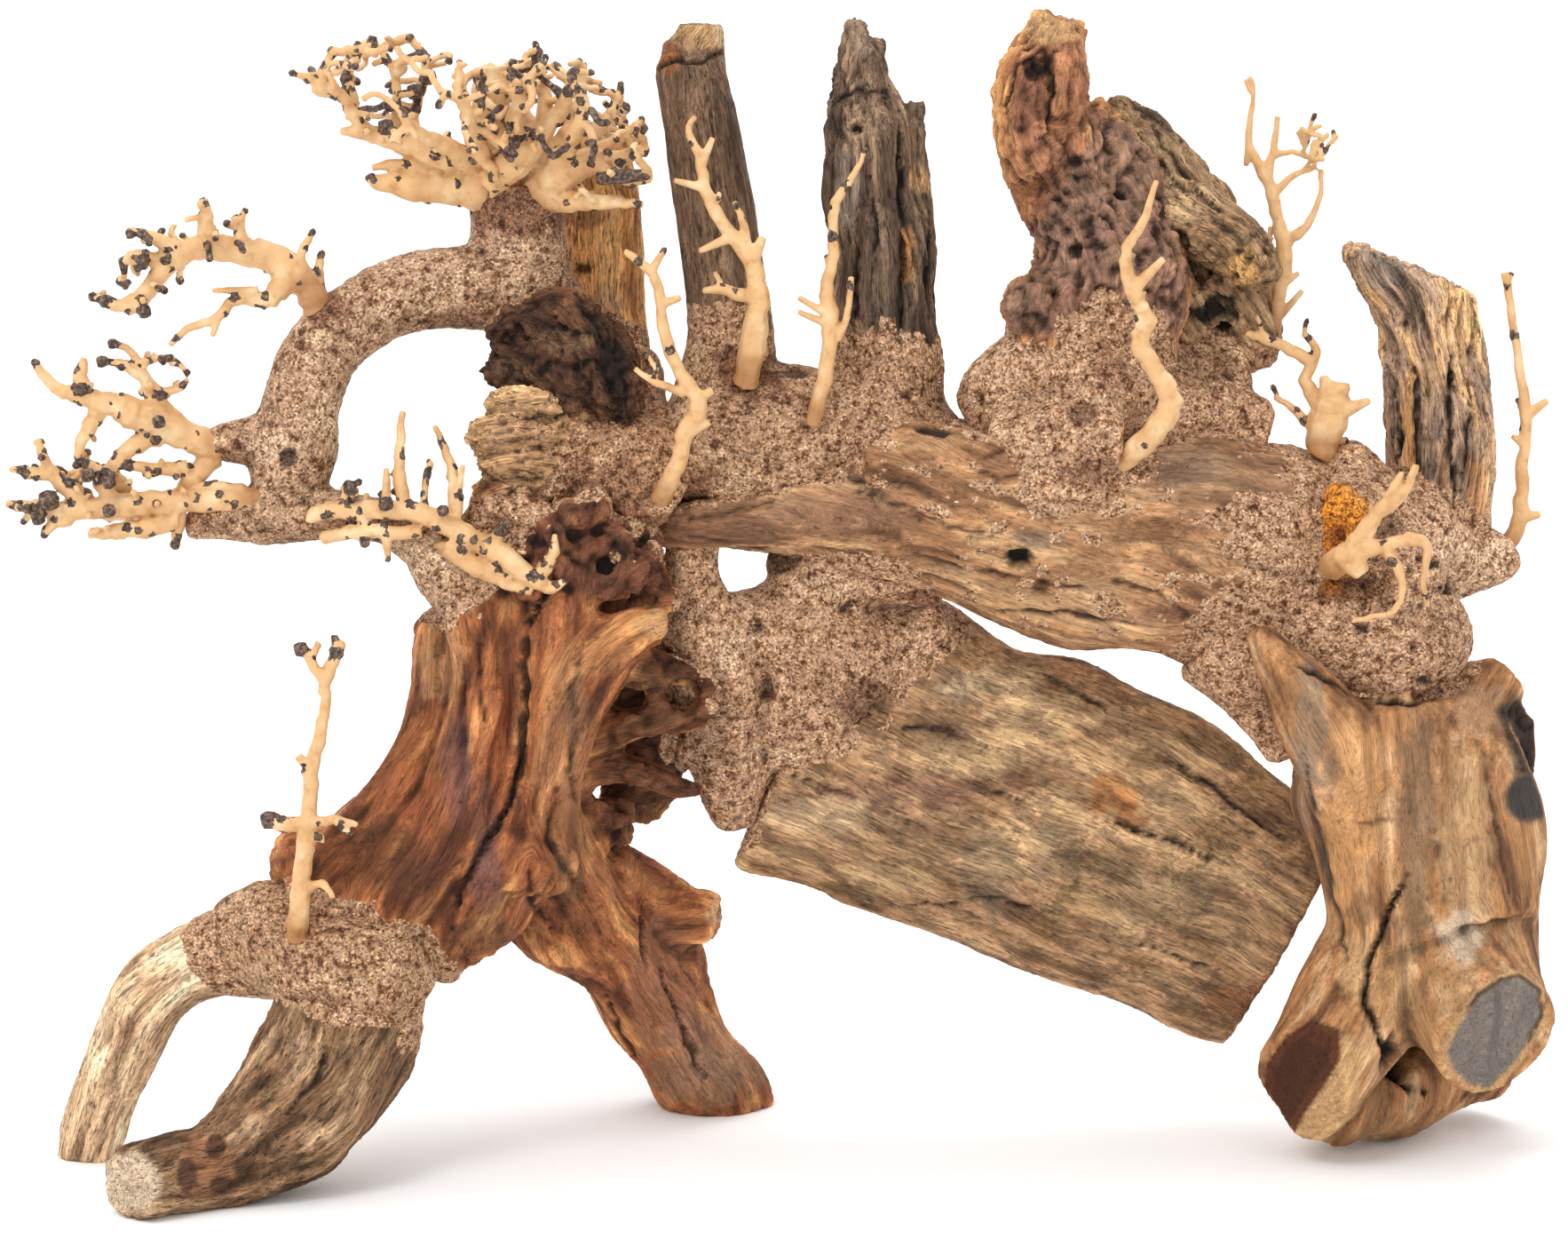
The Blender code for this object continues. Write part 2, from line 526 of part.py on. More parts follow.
SAPLING_FOOT = [
    [(-137, 79, 33, 3.4), (-136, 95, 29, 3), (-134, 112, 28, 3), (-133, 126, 28, 2.6), (-130, 140, 28, 2.2),
     (-129, 150, 28, 1.9), (-133, 157, 28, 2.2), (-135, 161, 28, 1.6)],
    [(-130, 148, 28, 1.7), (-127, 158, 28, 2.3), (-124, 163, 28, 1.6)],
    [(-134, 112, 28, 2), (-142, 112, 27, 3), (-147, 114, 27, 2)],
    [(-133, 112, 28, 2), (-126, 113, 26, 1.8), (-120, 111.5, 25, 1.2)],
    [(-135, 93, 29, 1.8), (-130, 95, 26, 1.5), (-127, 91, 24, 1.2)],
    [(-134, 128, 28, 1.5), (-137, 131, 28, 1.8)],
]
SAPLING_SHOULDER = [
    [(-35, 203, 56, 3.4), (-30, 213, 51, 2.8), (-28, 222, 50, 3), (-24, 230, 50, 3.2), (-30, 240, 50, 2.5),
     (-34, 252, 50, 2.3), (-36, 265, 50, 2.1), (-42, 271, 50, 1.8), (-45, 273, 50, 1.4)],
    [(-27, 222, 50, 2), (-21, 225, 50, 1.4)],
    [(-25, 231, 50, 2), (-20, 234, 50, 1.9)],
    [(-28, 233, 50, 1.8), (-36, 236, 49, 1.4), (-42, 240, 48, 1)],
    [(-35, 258, 50, 1.6), (-29, 260, 50, 1.5)],
    [(-37, 268, 50, 1.5), (-34, 273, 50, 1.4)],
]
SAPLING_POST = [
    [(-11, 236, 70, 4.4), (-8, 252, 65, 4), (-7, 262, 64, 3.6), (-10, 272, 64, 3), (-17, 280, 64, 2.6),
     (-22, 290, 64, 2.3), (-24, 300, 64, 2), (-27, 307, 64, 1.5), (-25, 311, 64, 1)],
    [(-9, 270, 64, 2.5), (-6, 277, 63, 2)],
    [(-10, 273, 64, 2), (-12, 282, 63, 1.5), (-14, 287, 63, 1)],
    [(-15, 277, 64, 2), (-24, 273, 63, 1.3)],
    [(-9, 260, 64, 2.2), (-17, 262, 63, 2), (-23, 262, 62, 1.4)],
    [(-23, 291, 64, 1.6), (-31, 293, 62, 1.1)],
    [(-23.5, 297, 64, 1.7), (-20, 305, 63, 1.3)],
]
SAPLING_MIDDLE = [
    [(8, 224, 68, 2.6), (12, 240, 64, 2.5), (13, 252, 64, 2.8), (12, 262, 64, 2.4), (14, 272, 64, 2.2),
     (14, 285, 64, 1.9), (18, 292, 64, 1.7), (22, 299, 64, 1.2)],
    [(15, 248, 64, 1.5), (18, 256, 63, 1.3), (19, 266, 63, 1.1)],
    [(11, 256, 64, 1.3), (4, 260, 63, 1)],
    [(11, 253, 64, 1.2), (4, 256, 63, 0.9)],
]
SAPLING_BURL = [
    [(95, 214, 64, 3.8), (104, 222, 53, 4.2), (109, 231, 50, 4), (104, 240, 50, 3.6), (100, 248, 50, 3.4),
     (102, 254, 50, 3.2), (98, 262, 50, 3.2), (96, 272, 50, 2.6), (101, 281, 50, 2.2), (105, 293, 50, 1.3)],
    [(99, 263, 50, 2.2), (107, 271, 49, 1.6)],
    [(102, 252, 50, 2.2), (105, 254, 49, 1.6)],
]
SAPLING_TALL = [
    [(137, 248, 97, 2.2), (139, 258, 97, 2), (141, 272, 97, 2.6), (139, 282, 97, 2.2), (136, 293, 98, 2.2),
     (131, 303, 98, 1.6), (132, 315, 98, 1)],
    [(136, 293, 98, 1.5), (138, 303, 97, 1.2), (139, 311, 97, 0.9)],
    [(137, 288, 98, 1.5), (143, 294, 96, 1.2), (150, 297, 95, 0.9)],
    [(138, 300, 97, 1.1), (143, 301, 97, 1), (149, 299, 96, 0.8)],
    [(141, 276, 97, 2), (147, 280, 95, 1.5), (151, 289, 94, 1), (151, 296, 94, 0.8)],
    [(140, 255, 97, 1.3), (146, 262, 95, 1)],
    [(140, 263, 97, 1.2), (145, 267, 96, 1)],
    [(140, 268, 98, 1.1), (137, 275, 99, 0.9), (137, 280, 99, 0.8)],
    [(131, 303, 98, 1.2), (130, 297, 99, 0.9)],
]
SAPLING_ANTLER = [
    [(151, 216, 84, 5), (153, 225, 83, 6.5), (155, 232, 82, 6), (157, 236, 81, 3.6)],
    [(151, 229, 84, 3), (147, 237, 85, 2.3), (150, 245, 86, 2), (146, 250, 87, 1.2)],
    [(149, 242, 85, 2.2), (141, 246, 86, 2), (134, 249, 86, 2), (130, 250, 86, 1.5)],
    [(157, 228, 81, 3), (165, 231, 78, 1.4)],
    [(153, 232, 82, 3), (152, 238, 82, 1.9)],
    [(149, 223, 85, 1.8), (143, 229, 86, 1.5), (138, 232, 87, 1.1)],
]
SAPLING_FRONT = [
    [(154, 184, 64, 5), (160, 188, 56, 4.4), (168, 190, 52, 2.5), (176, 192, 51, 2.6), (181, 190, 51, 2),
     (180, 180, 51, 1.4), (181, 173, 53, 1)],
    [(160, 186, 56, 4.4), (163, 182, 55, 3.4)],
    [(170, 189, 52, 2.2), (174, 180, 50, 1.5), (172, 172, 50, 1.2), (165, 170, 51, 1.1), (160, 169, 53, 1)],
    [(160, 190, 56, 3), (167, 199, 52, 2.6), (172, 207, 51, 1.8), (174, 211, 51, 1.2)],
    [(167, 199, 52, 2.4), (174, 204, 51, 2), (178, 213, 51, 1.7)],
]
SAPLING_EDGE = [
    [(201, 187, 94, 2.6), (207, 197, 94, 3), (208, 212, 94, 2.3), (209, 225, 94, 2.2), (207, 240, 94, 2),
     (205, 255, 94, 1.8), (203, 267, 94, 2.1)],
    [(208, 226, 94, 2), (215, 231, 94, 1.6)],
    [(208, 219, 94, 1.5), (205, 221, 93, 1)],
    [(207, 198, 94, 2.4), (213, 199, 93, 1.7)],
]


def build_woods():
    """The large pieces of wood, those that carry the others first."""
    trunk = fused("trunk", BROWN_WOOD, TRUNK, 1150)
    saw(trunk, Vector(), FEET_DOWN)
    rear = fused("root_rear", TAN_WOOD, ROOT_REAR, 240, lump=0.2, flat=0.85)
    saw(rear, Vector(), FEET_DOWN)
    front = fused("root_front", GREY_WOOD, ROOT_FRONT, 320, lump=0.3)
    saw(front, seen(-185, 9, 5)[0], Vector((-0.62, -0.78, 0.05)))
    saw(front, Vector(), FEET_DOWN)
    slab = fused("slab_log", TAN_WOOD, SLAB, 240, flat=0.4, lump=0.12)
    stump = fused("stump", TAN_WOOD, STUMP, 880)
    saw(stump, seen(199, 52, 46)[0], Vector((0.34, -0.9, -0.27)))
    saw(stump, seen(147, 38, 52)[0], Vector((-0.62, -0.78, -0.1)))
    saw(stump, Vector(), FEET_DOWN)
    bridge = fused("bridge_log", BROWN_WOOD, BRIDGE, 380, lump=0.22, flat=0.85)
    burl = fused("burl_post", BROWN_WOOD, BURL, 400, voxel=2.2, lump=0.35)
    side = fused("burl_side_root", GREY_WOOD, BURL_SIDE, 280, voxel=2.2, lump=0.3, flat=0.7)
    ribbed = fused("post_ribbed", GREY_WOOD, POST_RIBBED, 200, voxel=2.2, lump=0.2)
    saw(ribbed, seen(176, 268, 96)[0], Vector((0.4, 0.0, 0.92)))
    posts = [
        ribbed,
        fused("post_two_steps", GREY_WOOD, POST_TWO_STEPS, 200, voxel=FINE_VOXEL, lump=0.08),
        fused("post_jagged", GREY_WOOD, POST_JAGGED, 320, voxel=FINE_VOXEL, lump=0.3),
        fused("post_rear", BROWN_WOOD, POST_REAR, 140, voxel=2.2, lump=0.1, flat=0.7),
    ]
    chunk = fused("dark_chunk", DARK_WOOD, DARK_CHUNK, 200, voxel=2.2, lump=0.4)
    knot = fused("knot_wood", GREY_WOOD, KNOT_WOOD, 240, voxel=2.2, lump=0.45)
    return [trunk, rear, front, slab, stump, bridge, burl, side, *posts, chunk, knot]


def build_twigs():
    """The pale twigs: saplings of a few limbs, and dense sprays whose side twigs follow a seeded rule."""
    return [
        spray("crown_left", CROWN_LEFT, 44, (-88, 290, 80), 1000, seed=11),
        spray("crown_right", CROWN_RIGHT, 48, (-64, 288, 80), 900, seed=22),
        spray("spray_upper", SPRAY_UPPER, 22, (-160, 266, 54), 580, reach=8.0, seed=13),
        spray("spray_left", SPRAY_LEFT, 26, (-180, 222, 52), 600, reach=10.0, seed=14),
        spray("spray_low", SPRAY_LOW, 26, (-185, 200, 50), 600, reach=7.5, seed=15),
        spray("spray_front", SPRAY_FRONT, 24, (-100, 190, 56), 580, reach=7.0, seed=16),
        sapling("sapling_foot", SAPLING_FOOT),
        sapling("sapling_shoulder", SAPLING_SHOULDER),
        sapling("sapling_post", SAPLING_POST),
        sapling("sapling_middle", SAPLING_MIDDLE),
        sapling("sapling_burl", SAPLING_BURL),
        sapling("sapling_tall", SAPLING_TALL),
        sapling("sapling_antler", SAPLING_ANTLER),
        sapling("sapling_front", SAPLING_FRONT),
        sapling("sapling_edge", SAPLING_EDGE),
    ]


def build_mortars():
    """The sand and glue that was pressed round the joints, and shaped into the bonsai's bent limb."""
    return [
        fused("mortar_arch", SAND, ARCH_MORTAR, 560, voxel=2.4, lump=0.12),
        fused("mortar_heart", SAND, HEART_MORTAR, 320, lump=0.25),
        fused("mortar_shoulder", SAND, SHOULDER_MORTAR, 260, lump=0.3),
        fused("mortar_posts", SAND, POSTS_MORTAR, 280, lump=0.2),
        fused("mortar_burl", SAND, BURL_MORTAR, 280, lump=0.25),
        fused("mortar_right", SAND, RIGHT_MORTAR, 340, lump=0.2),
        fused("mortar_feet", SAND, FEET_MORTAR, 200, lump=0.3),
    ]


def main():
    clear_scene()
    placed = []
    for piece in [*build_woods(), *build_twigs(), *build_mortars()]:
        fit_between(piece, placed)
        piece.data.shade_smooth()
        placed.append(piece)


main()
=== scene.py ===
"""The looks of a bonsai driftwood hardscape: weathered wood, glued sand and pale twigs, on a pale floor.

Lengths are millimetres until MM turns them into metres. A point given as (across, up, depth) is where the
front view shows it, this deep behind the front foot. (across, up) alone is a place in that view.
"""

import math
import random

import bmesh
import bpy
import numpy as np
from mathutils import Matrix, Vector
from mathutils import noise as blender_noise


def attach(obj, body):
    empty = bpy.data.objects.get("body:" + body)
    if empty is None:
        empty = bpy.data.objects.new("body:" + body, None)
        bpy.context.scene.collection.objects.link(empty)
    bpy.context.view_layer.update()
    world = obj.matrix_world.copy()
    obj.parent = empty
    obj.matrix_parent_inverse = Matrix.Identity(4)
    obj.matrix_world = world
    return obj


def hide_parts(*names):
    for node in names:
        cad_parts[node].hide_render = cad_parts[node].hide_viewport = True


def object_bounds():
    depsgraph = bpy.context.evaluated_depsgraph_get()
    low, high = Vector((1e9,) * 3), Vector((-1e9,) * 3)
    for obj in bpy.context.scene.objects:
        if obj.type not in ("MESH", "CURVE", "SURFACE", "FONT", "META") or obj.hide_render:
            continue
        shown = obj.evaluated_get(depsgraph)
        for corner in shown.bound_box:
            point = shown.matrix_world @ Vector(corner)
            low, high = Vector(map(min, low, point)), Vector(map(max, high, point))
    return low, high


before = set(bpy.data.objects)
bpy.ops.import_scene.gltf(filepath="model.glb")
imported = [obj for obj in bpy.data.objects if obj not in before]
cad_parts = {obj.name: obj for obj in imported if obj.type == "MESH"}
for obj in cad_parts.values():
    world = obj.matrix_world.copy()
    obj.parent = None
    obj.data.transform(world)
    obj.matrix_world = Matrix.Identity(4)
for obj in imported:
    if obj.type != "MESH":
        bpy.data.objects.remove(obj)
CAD_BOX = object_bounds()

MM = 0.001
VIEW_DISTANCE = 1250.0
VIEW_PITCH = math.radians(9.0)
VIEW_WIDTH = 441.5
VIEW_MIDDLE_UP = 168.25
CENTRE_DEPTH = 68.0
# the camera looks at this place: x, depth, z
AIM_X, AIM_DEPTH, AIM_UP = -1.0, 90.0, 147.9
CAMERA = np.array([
    AIM_X,
    AIM_DEPTH - VIEW_DISTANCE * math.cos(VIEW_PITCH) - CENTRE_DEPTH,
    AIM_UP + VIEW_DISTANCE * math.sin(VIEW_PITCH),
])
FORWARD = np.array([0.0, math.cos(VIEW_PITCH), -math.sin(VIEW_PITCH)])
UPWARD = np.array([0.0, math.sin(VIEW_PITCH), math.cos(VIEW_PITCH)])


def seen(across, up, depth):
    """The place that the front view shows at (across, up), and how much larger than there it is."""
    raised = up - VIEW_MIDDLE_UP
    ray = FORWARD * VIEW_DISTANCE + UPWARD * raised + np.array([across, 0.0, 0.0])
    share = (depth - CENTRE_DEPTH - CAMERA[1]) / ray[1]
    return CAMERA + ray * share, share


def in_view(points):
    """(across, up) of points in the front view."""
    away = points - CAMERA
    share = VIEW_DISTANCE / (away @ FORWARD)
    return np.column_stack([away[:, 0] * share, VIEW_MIDDLE_UP + (away @ UPWARD) * share])


def linear(text):
    """A hex colour as linear red, green and blue."""
    raw = [int(text[i : i + 2], 16) / 255 for i in (1, 3, 5)]
    return np.array([c / 12.92 if c <= 0.04045 else ((c + 0.055) / 1.055) ** 2.4 for c in raw])


def shades(*texts):
    return [linear(text) for text in texts]


def paint(colour):
    """A colour given as a hex text or as linear numbers."""
    return linear(colour) if isinstance(colour, str) else colour


# Noise

TABLE_RNG = np.random.RandomState(7)
SHUFFLE = np.concatenate([TABLE_RNG.permutation(256)] * 2)
SLOPES = TABLE_RNG.normal(size=(256, 3))
SLOPES /= np.linalg.norm(SLOPES, axis=1)[:, None]


def noise(points):
    """Smooth noise from about -1 to 1 at each point, with features one unit across."""
    cell = np.floor(points).astype(np.int64)
    part = points - cell
    fade = part * part * part * (part * (part * 6 - 15) + 10)
    cell &= 255
    total = np.zeros(len(points))
    for corner in range(8):
        step = np.array([corner & 1, corner >> 1 & 1, corner >> 2 & 1])
        at = (cell + step) & 255
        key = SHUFFLE[SHUFFLE[SHUFFLE[at[:, 0]] + at[:, 1]] + at[:, 2]]
        weight = np.prod(np.where(step, fade, 1 - fade), axis=1)
        total += weight * np.einsum("ij,ij->i", SLOPES[key], part - step)
    return total * 1.5


def rough(points, octaves=3, gain=0.5):
    """Noise from about -1 to 1 with finer noise on top."""
    total, size, reach = 0.0, 1.0, 0.0
    for octave in range(octaves):
        total = total + size * noise(points * 2.03**octave + 17.3 * octave)
        reach += size
        size *= gain
    return total / reach


def ridged(points, octaves=2):
    """From 0 in narrow valleys to 1 on rounded ridges."""
    total, size, reach = 0.0, 1.0, 0.0
    for octave in range(octaves):
        total = total + size * np.minimum(1.0, 2.6 * np.abs(noise(points * 2.1**octave + 5.1 * octave)))
        reach += size
        size *= 0.5
    return total / reach


def ramp(value, low, high):
    """From 0 at low to 1 at high, smoothly."""
    t = np.clip((value - low) / (high - low), 0.0, 1.0)
    return t * t * (3 - 2 * t)


def mix(a, b, share):
    share = np.asarray(share)
    if share.ndim == 1:
        share = share[:, None]
    return a * (1 - share) + b * share


# Routes and grain

def smooth_route(points, per_span=5):
    """Catmull-Rom points through rows of numbers."""
    rows = np.array(points, float)
    if len(rows) < 3:
        return rows
    ends = np.vstack([rows[0], rows, rows[-1]])
    route = []
    for i in range(1, len(ends) - 2):
        for step in range(per_span):
            t = step / per_span
            weights = [
                (-t + 2 * t * t - t**3) / 2,
                (2 - 5 * t * t + 3 * t**3) / 2,
                (t + 4 * t * t - 3 * t**3) / 2,
                (-t * t + t**3) / 2,
            ]
            route.append(weights @ ends[i - 1 : i + 3])
    return np.vstack([*route, rows[-1]])


def placed(points):
    """Rows (x, y, z, radius) for rows (across, up, depth, half width)."""
    rows = []
    for across, up, depth, half in points:
        place, share = seen(across, up, depth)
        rows.append([*place, half * share])
    return np.array(rows)


def ring_frames(places):
    """Two directions across the route at each place, carried along it without twist."""
    along = np.gradient(places, axis=0)
    along /= np.linalg.norm(along, axis=1)[:, None] + 1e-9
    into = np.array([0.0, 1.0, 0.0])
    wides, intos = [], []
    for direction in along:
        into = into - direction * (into @ direction)
        if np.linalg.norm(into) < 1e-3:
            into = np.cross(direction, [0.3, 0.1, 0.9])
        into = into / np.linalg.norm(into)
        intos.append(into)
        wides.append(np.cross(into, direction))
    return np.array(wides), np.array(intos)


class Grain:
    """Wood fibres that follow the limbs of a piece."""

    def __init__(self, limbs):
        self.limbs = []
        for limb in limbs:
            route = smooth_route(placed(limb), 4)
            wides, intos = ring_frames(route[:, :3])
            steps = np.linalg.norm(np.diff(route[:, :3], axis=0), axis=1)
            run = np.concatenate([[0.0], np.cumsum(steps)])
            if self.limbs:
                laid, shares = self.lay(route[:1, :3])
                run += float(sum(c[0, 0] * share[0] for c, share in zip(laid, shares)))
            self.limbs.append((route, wides, intos, run))

    def lay(self, points):
        """(along, across, into) of each point in each limb's frame, and each limb's share of it."""
        found, nearest = [], []
        for route, wides, intos, run in self.limbs:
            reaches, placed_in = [], []
            for k in range(len(route) - 1):
                start, span = route[k, :3], route[k + 1, :3] - route[k, :3]
                t = (points - start) @ span / (span @ span)
                t = np.clip(t, -3.0 if k == 0 else 0.0, 4.0 if k == len(route) - 2 else 1.0)
                inside = np.clip(t, 0, 1)
                off = points - start - t[:, None] * span
                over = np.abs(t - inside) * np.linalg.norm(span)
                radius = route[k, 3] * (1 - inside) + route[k + 1, 3] * inside
                reaches.append((np.linalg.norm(off, axis=1) + 1.5 * over) / np.maximum(radius, 1.0))
                wide = wides[k] * (1 - inside[:, None]) + wides[k + 1] * inside[:, None]
                into = intos[k] * (1 - inside[:, None]) + intos[k + 1] * inside[:, None]
                placed_in.append([
                    run[k] + t * (run[k + 1] - run[k]),
                    np.einsum("ij,ij->i", off, wide),
                    np.einsum("ij,ij->i", off, into),
                ])
            reaches = np.array(reaches)
            best = reaches.min(axis=0)
            weights = np.exp(-14.0 * (reaches - best))
            weights /= weights.sum(axis=0)
            found.append(np.einsum("kn,kcn->nc", weights, np.array(placed_in)))
            nearest.append(best)
        nearest = np.array(nearest)
        shares = np.exp(-8.0 * (nearest - nearest.min(axis=0)))
        return found, shares / shares.sum(axis=0)


# Meshes

def read_points(mesh):
    flat = np.empty(len(mesh.vertices) * 3, np.float32)
    mesh.vertices.foreach_get("co", flat)
    return flat.reshape(-1, 3).astype(float) / MM


def write_points(mesh, points):
    mesh.vertices.foreach_set("co", (points * MM).astype(np.float32).ravel())
    mesh.update()


def normals_of(mesh):
    flat = np.empty(len(mesh.vertices) * 3, np.float32)
    mesh.vertex_normals.foreach_get("vector", flat)
    return flat.reshape(-1, 3).astype(float)


def give(mesh, name, values, kind):
    """Stores a colour or a vector at each vertex."""
    layer = mesh.attributes.new(name, kind, "POINT")
    layer.data.foreach_set("color" if kind == "FLOAT_COLOR" else "vector", values.astype(np.float32).ravel())


def hollowness(mesh, points, normals, spread=2):
    """How far each vertex lies below its neighbours, in millimetres, averaged over a few of them."""
    ends = np.empty(len(mesh.edges) * 2, np.int32)
    mesh.edges.foreach_get("vertices", ends)
    a, b = ends.reshape(-1, 2).T
    count = np.bincount(a, minlength=len(points)) + np.bincount(b, minlength=len(points)) + 1e-9

    def around(values):
        return (np.bincount(a, values[b], len(points)) + np.bincount(b, values[a], len(points))) / count

    middle = points
    for _ in range(spread):
        middle = np.column_stack([around(middle[:, k]) for k in range(3)])
    return around(np.einsum("ij,ij->i", middle - points, normals))


def settle(obj, node, look):
    obj.data.shade_smooth()
    obj.data.materials.clear()
    obj.data.materials.append(look)
    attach(obj, "root")
    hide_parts(node)


# Materials

# sockets of a Mix node that mixes colours
MIX_SHARE, MIX_A, MIX_B, MIX_RESULT = 0, 6, 7, 2
# how much the colours of the single grains show in the sand
GRAIN_SHARE = 0.92


class Shader:
    """Builds a node tree by short calls."""

    def __init__(self, name):
        self.material = bpy.data.materials.new(name)
        self.material.use_nodes = True
        self.tree = self.material.node_tree
        self.tree.nodes.clear()
        self.out = self.add("OutputMaterial")
        self.main = self.add("BsdfPrincipled")
        self.link(self.main, "BSDF", self.out, "Surface")

    def add(self, kind, **values):
        made = self.tree.nodes.new("ShaderNode" + kind)
        for key, value in values.items():
            if hasattr(made, key):
                setattr(made, key, value)
            else:
                made.inputs[key.replace("_", " ")].default_value = value
        return made

    def link(self, source, output, target, socket):
        self.tree.links.new(source.outputs[output], target.inputs[socket])

    def attribute(self, name):
        return self.add("Attribute", attribute_name=name)

    def scaled(self, source, output, scale):
        node = self.add("VectorMath", operation="MULTIPLY")
        self.link(source, output, node, 0)
        node.inputs[1].default_value = scale
        return node

    def ramped(self, source, output, stops):
        node = self.add("ValToRGB")
        self.link(source, output, node, "Fac")
        marks = node.color_ramp.elements
        while len(marks) < len(stops):
            marks.new(0.5)
        for mark, (place, colour) in zip(marks, stops):
            mark.position = place
            value = colour if isinstance(colour, (tuple, list, np.ndarray)) else (colour,) * 3
            mark.color = (*value, 1.0)
        return node

    def multiplied(self, first, output, second, share):
        node = self.add("Mix", data_type="RGBA", blend_type="MULTIPLY")
        node.inputs[MIX_SHARE].default_value = share
        self.link(first, output, node, MIX_A)
        self.link(second, "Color", node, MIX_B)
        return node

    def stepped(self, source, low, high):
        """From 0 where source's value is low to 1 where it is high."""
        node = self.add("MapRange")
        self.link(source, "Value", node, "Value")
        node.inputs["From Min"].default_value = low
        node.inputs["From Max"].default_value = high
        return node

    def blended(self, step, first, first_output, second, second_output):
        """first where step is 0 and second where it is 1."""
        node = self.add("Mix", data_type="RGBA")
        self.link(step, "Result", node, MIX_SHARE)
        self.link(first, first_output, node, MIX_A)
        self.link(second, second_output, node, MIX_B)
        return node

    def bumped(self, source, output, strength, distance, after=None):
        node = self.add("Bump", Strength=strength, Distance=distance * MM)
        self.link(source, output, node, "Height")
        if after is not None:
            self.link(after, "Normal", node, "Normal")
        return node

    def finished(self, colour, relief, roughness, gloss):
        """The material, with a mix node's colour and a bump node's relief."""
        self.link(colour, MIX_RESULT, self.main, "Base Color")
        self.link(relief, "Normal", self.main, "Normal")
        self.main.inputs["Roughness"].default_value = roughness
        self.main.inputs["Specular IOR Level"].default_value = gloss
        return self.material


def sand_nodes(s, place):
    """Nodes of coarse grains bound with glue: their colours, the shade on them, the grains and the lumps."""
    grains = s.add("TexVoronoi", Scale=1900.0)
    s.link(place, "Object", grains, "Vector")
    split = s.add("SeparateColor")
    s.link(grains, "Color", split, "Color")
    colours = s.ramped(split, "Red", [
        (0.0, (0.16, 0.1, 0.07)), (0.12, (0.42, 0.33, 0.26)), (0.3, (0.82, 0.76, 0.72)),
        (0.6, (1.1, 1.06, 1.02)), (0.82, (1.4, 1.34, 1.27)), (0.94, (1.85, 1.77, 1.65)),
        (1.0, (2.3, 2.2, 2.05)),
    ])
    lumps = s.add("TexNoise", Scale=420.0, Detail=5.0, Roughness=0.65)
    s.link(place, "Object", lumps, "Vector")
    shade = s.ramped(lumps, "Fac", [
        (0.34, (0.18, 0.11, 0.07)), (0.42, (0.58, 0.45, 0.35)), (0.49, (0.98, 0.95, 0.92)),
        (0.64, (1.16, 1.16, 1.16)),
    ])
    return colours, shade, grains, lumps


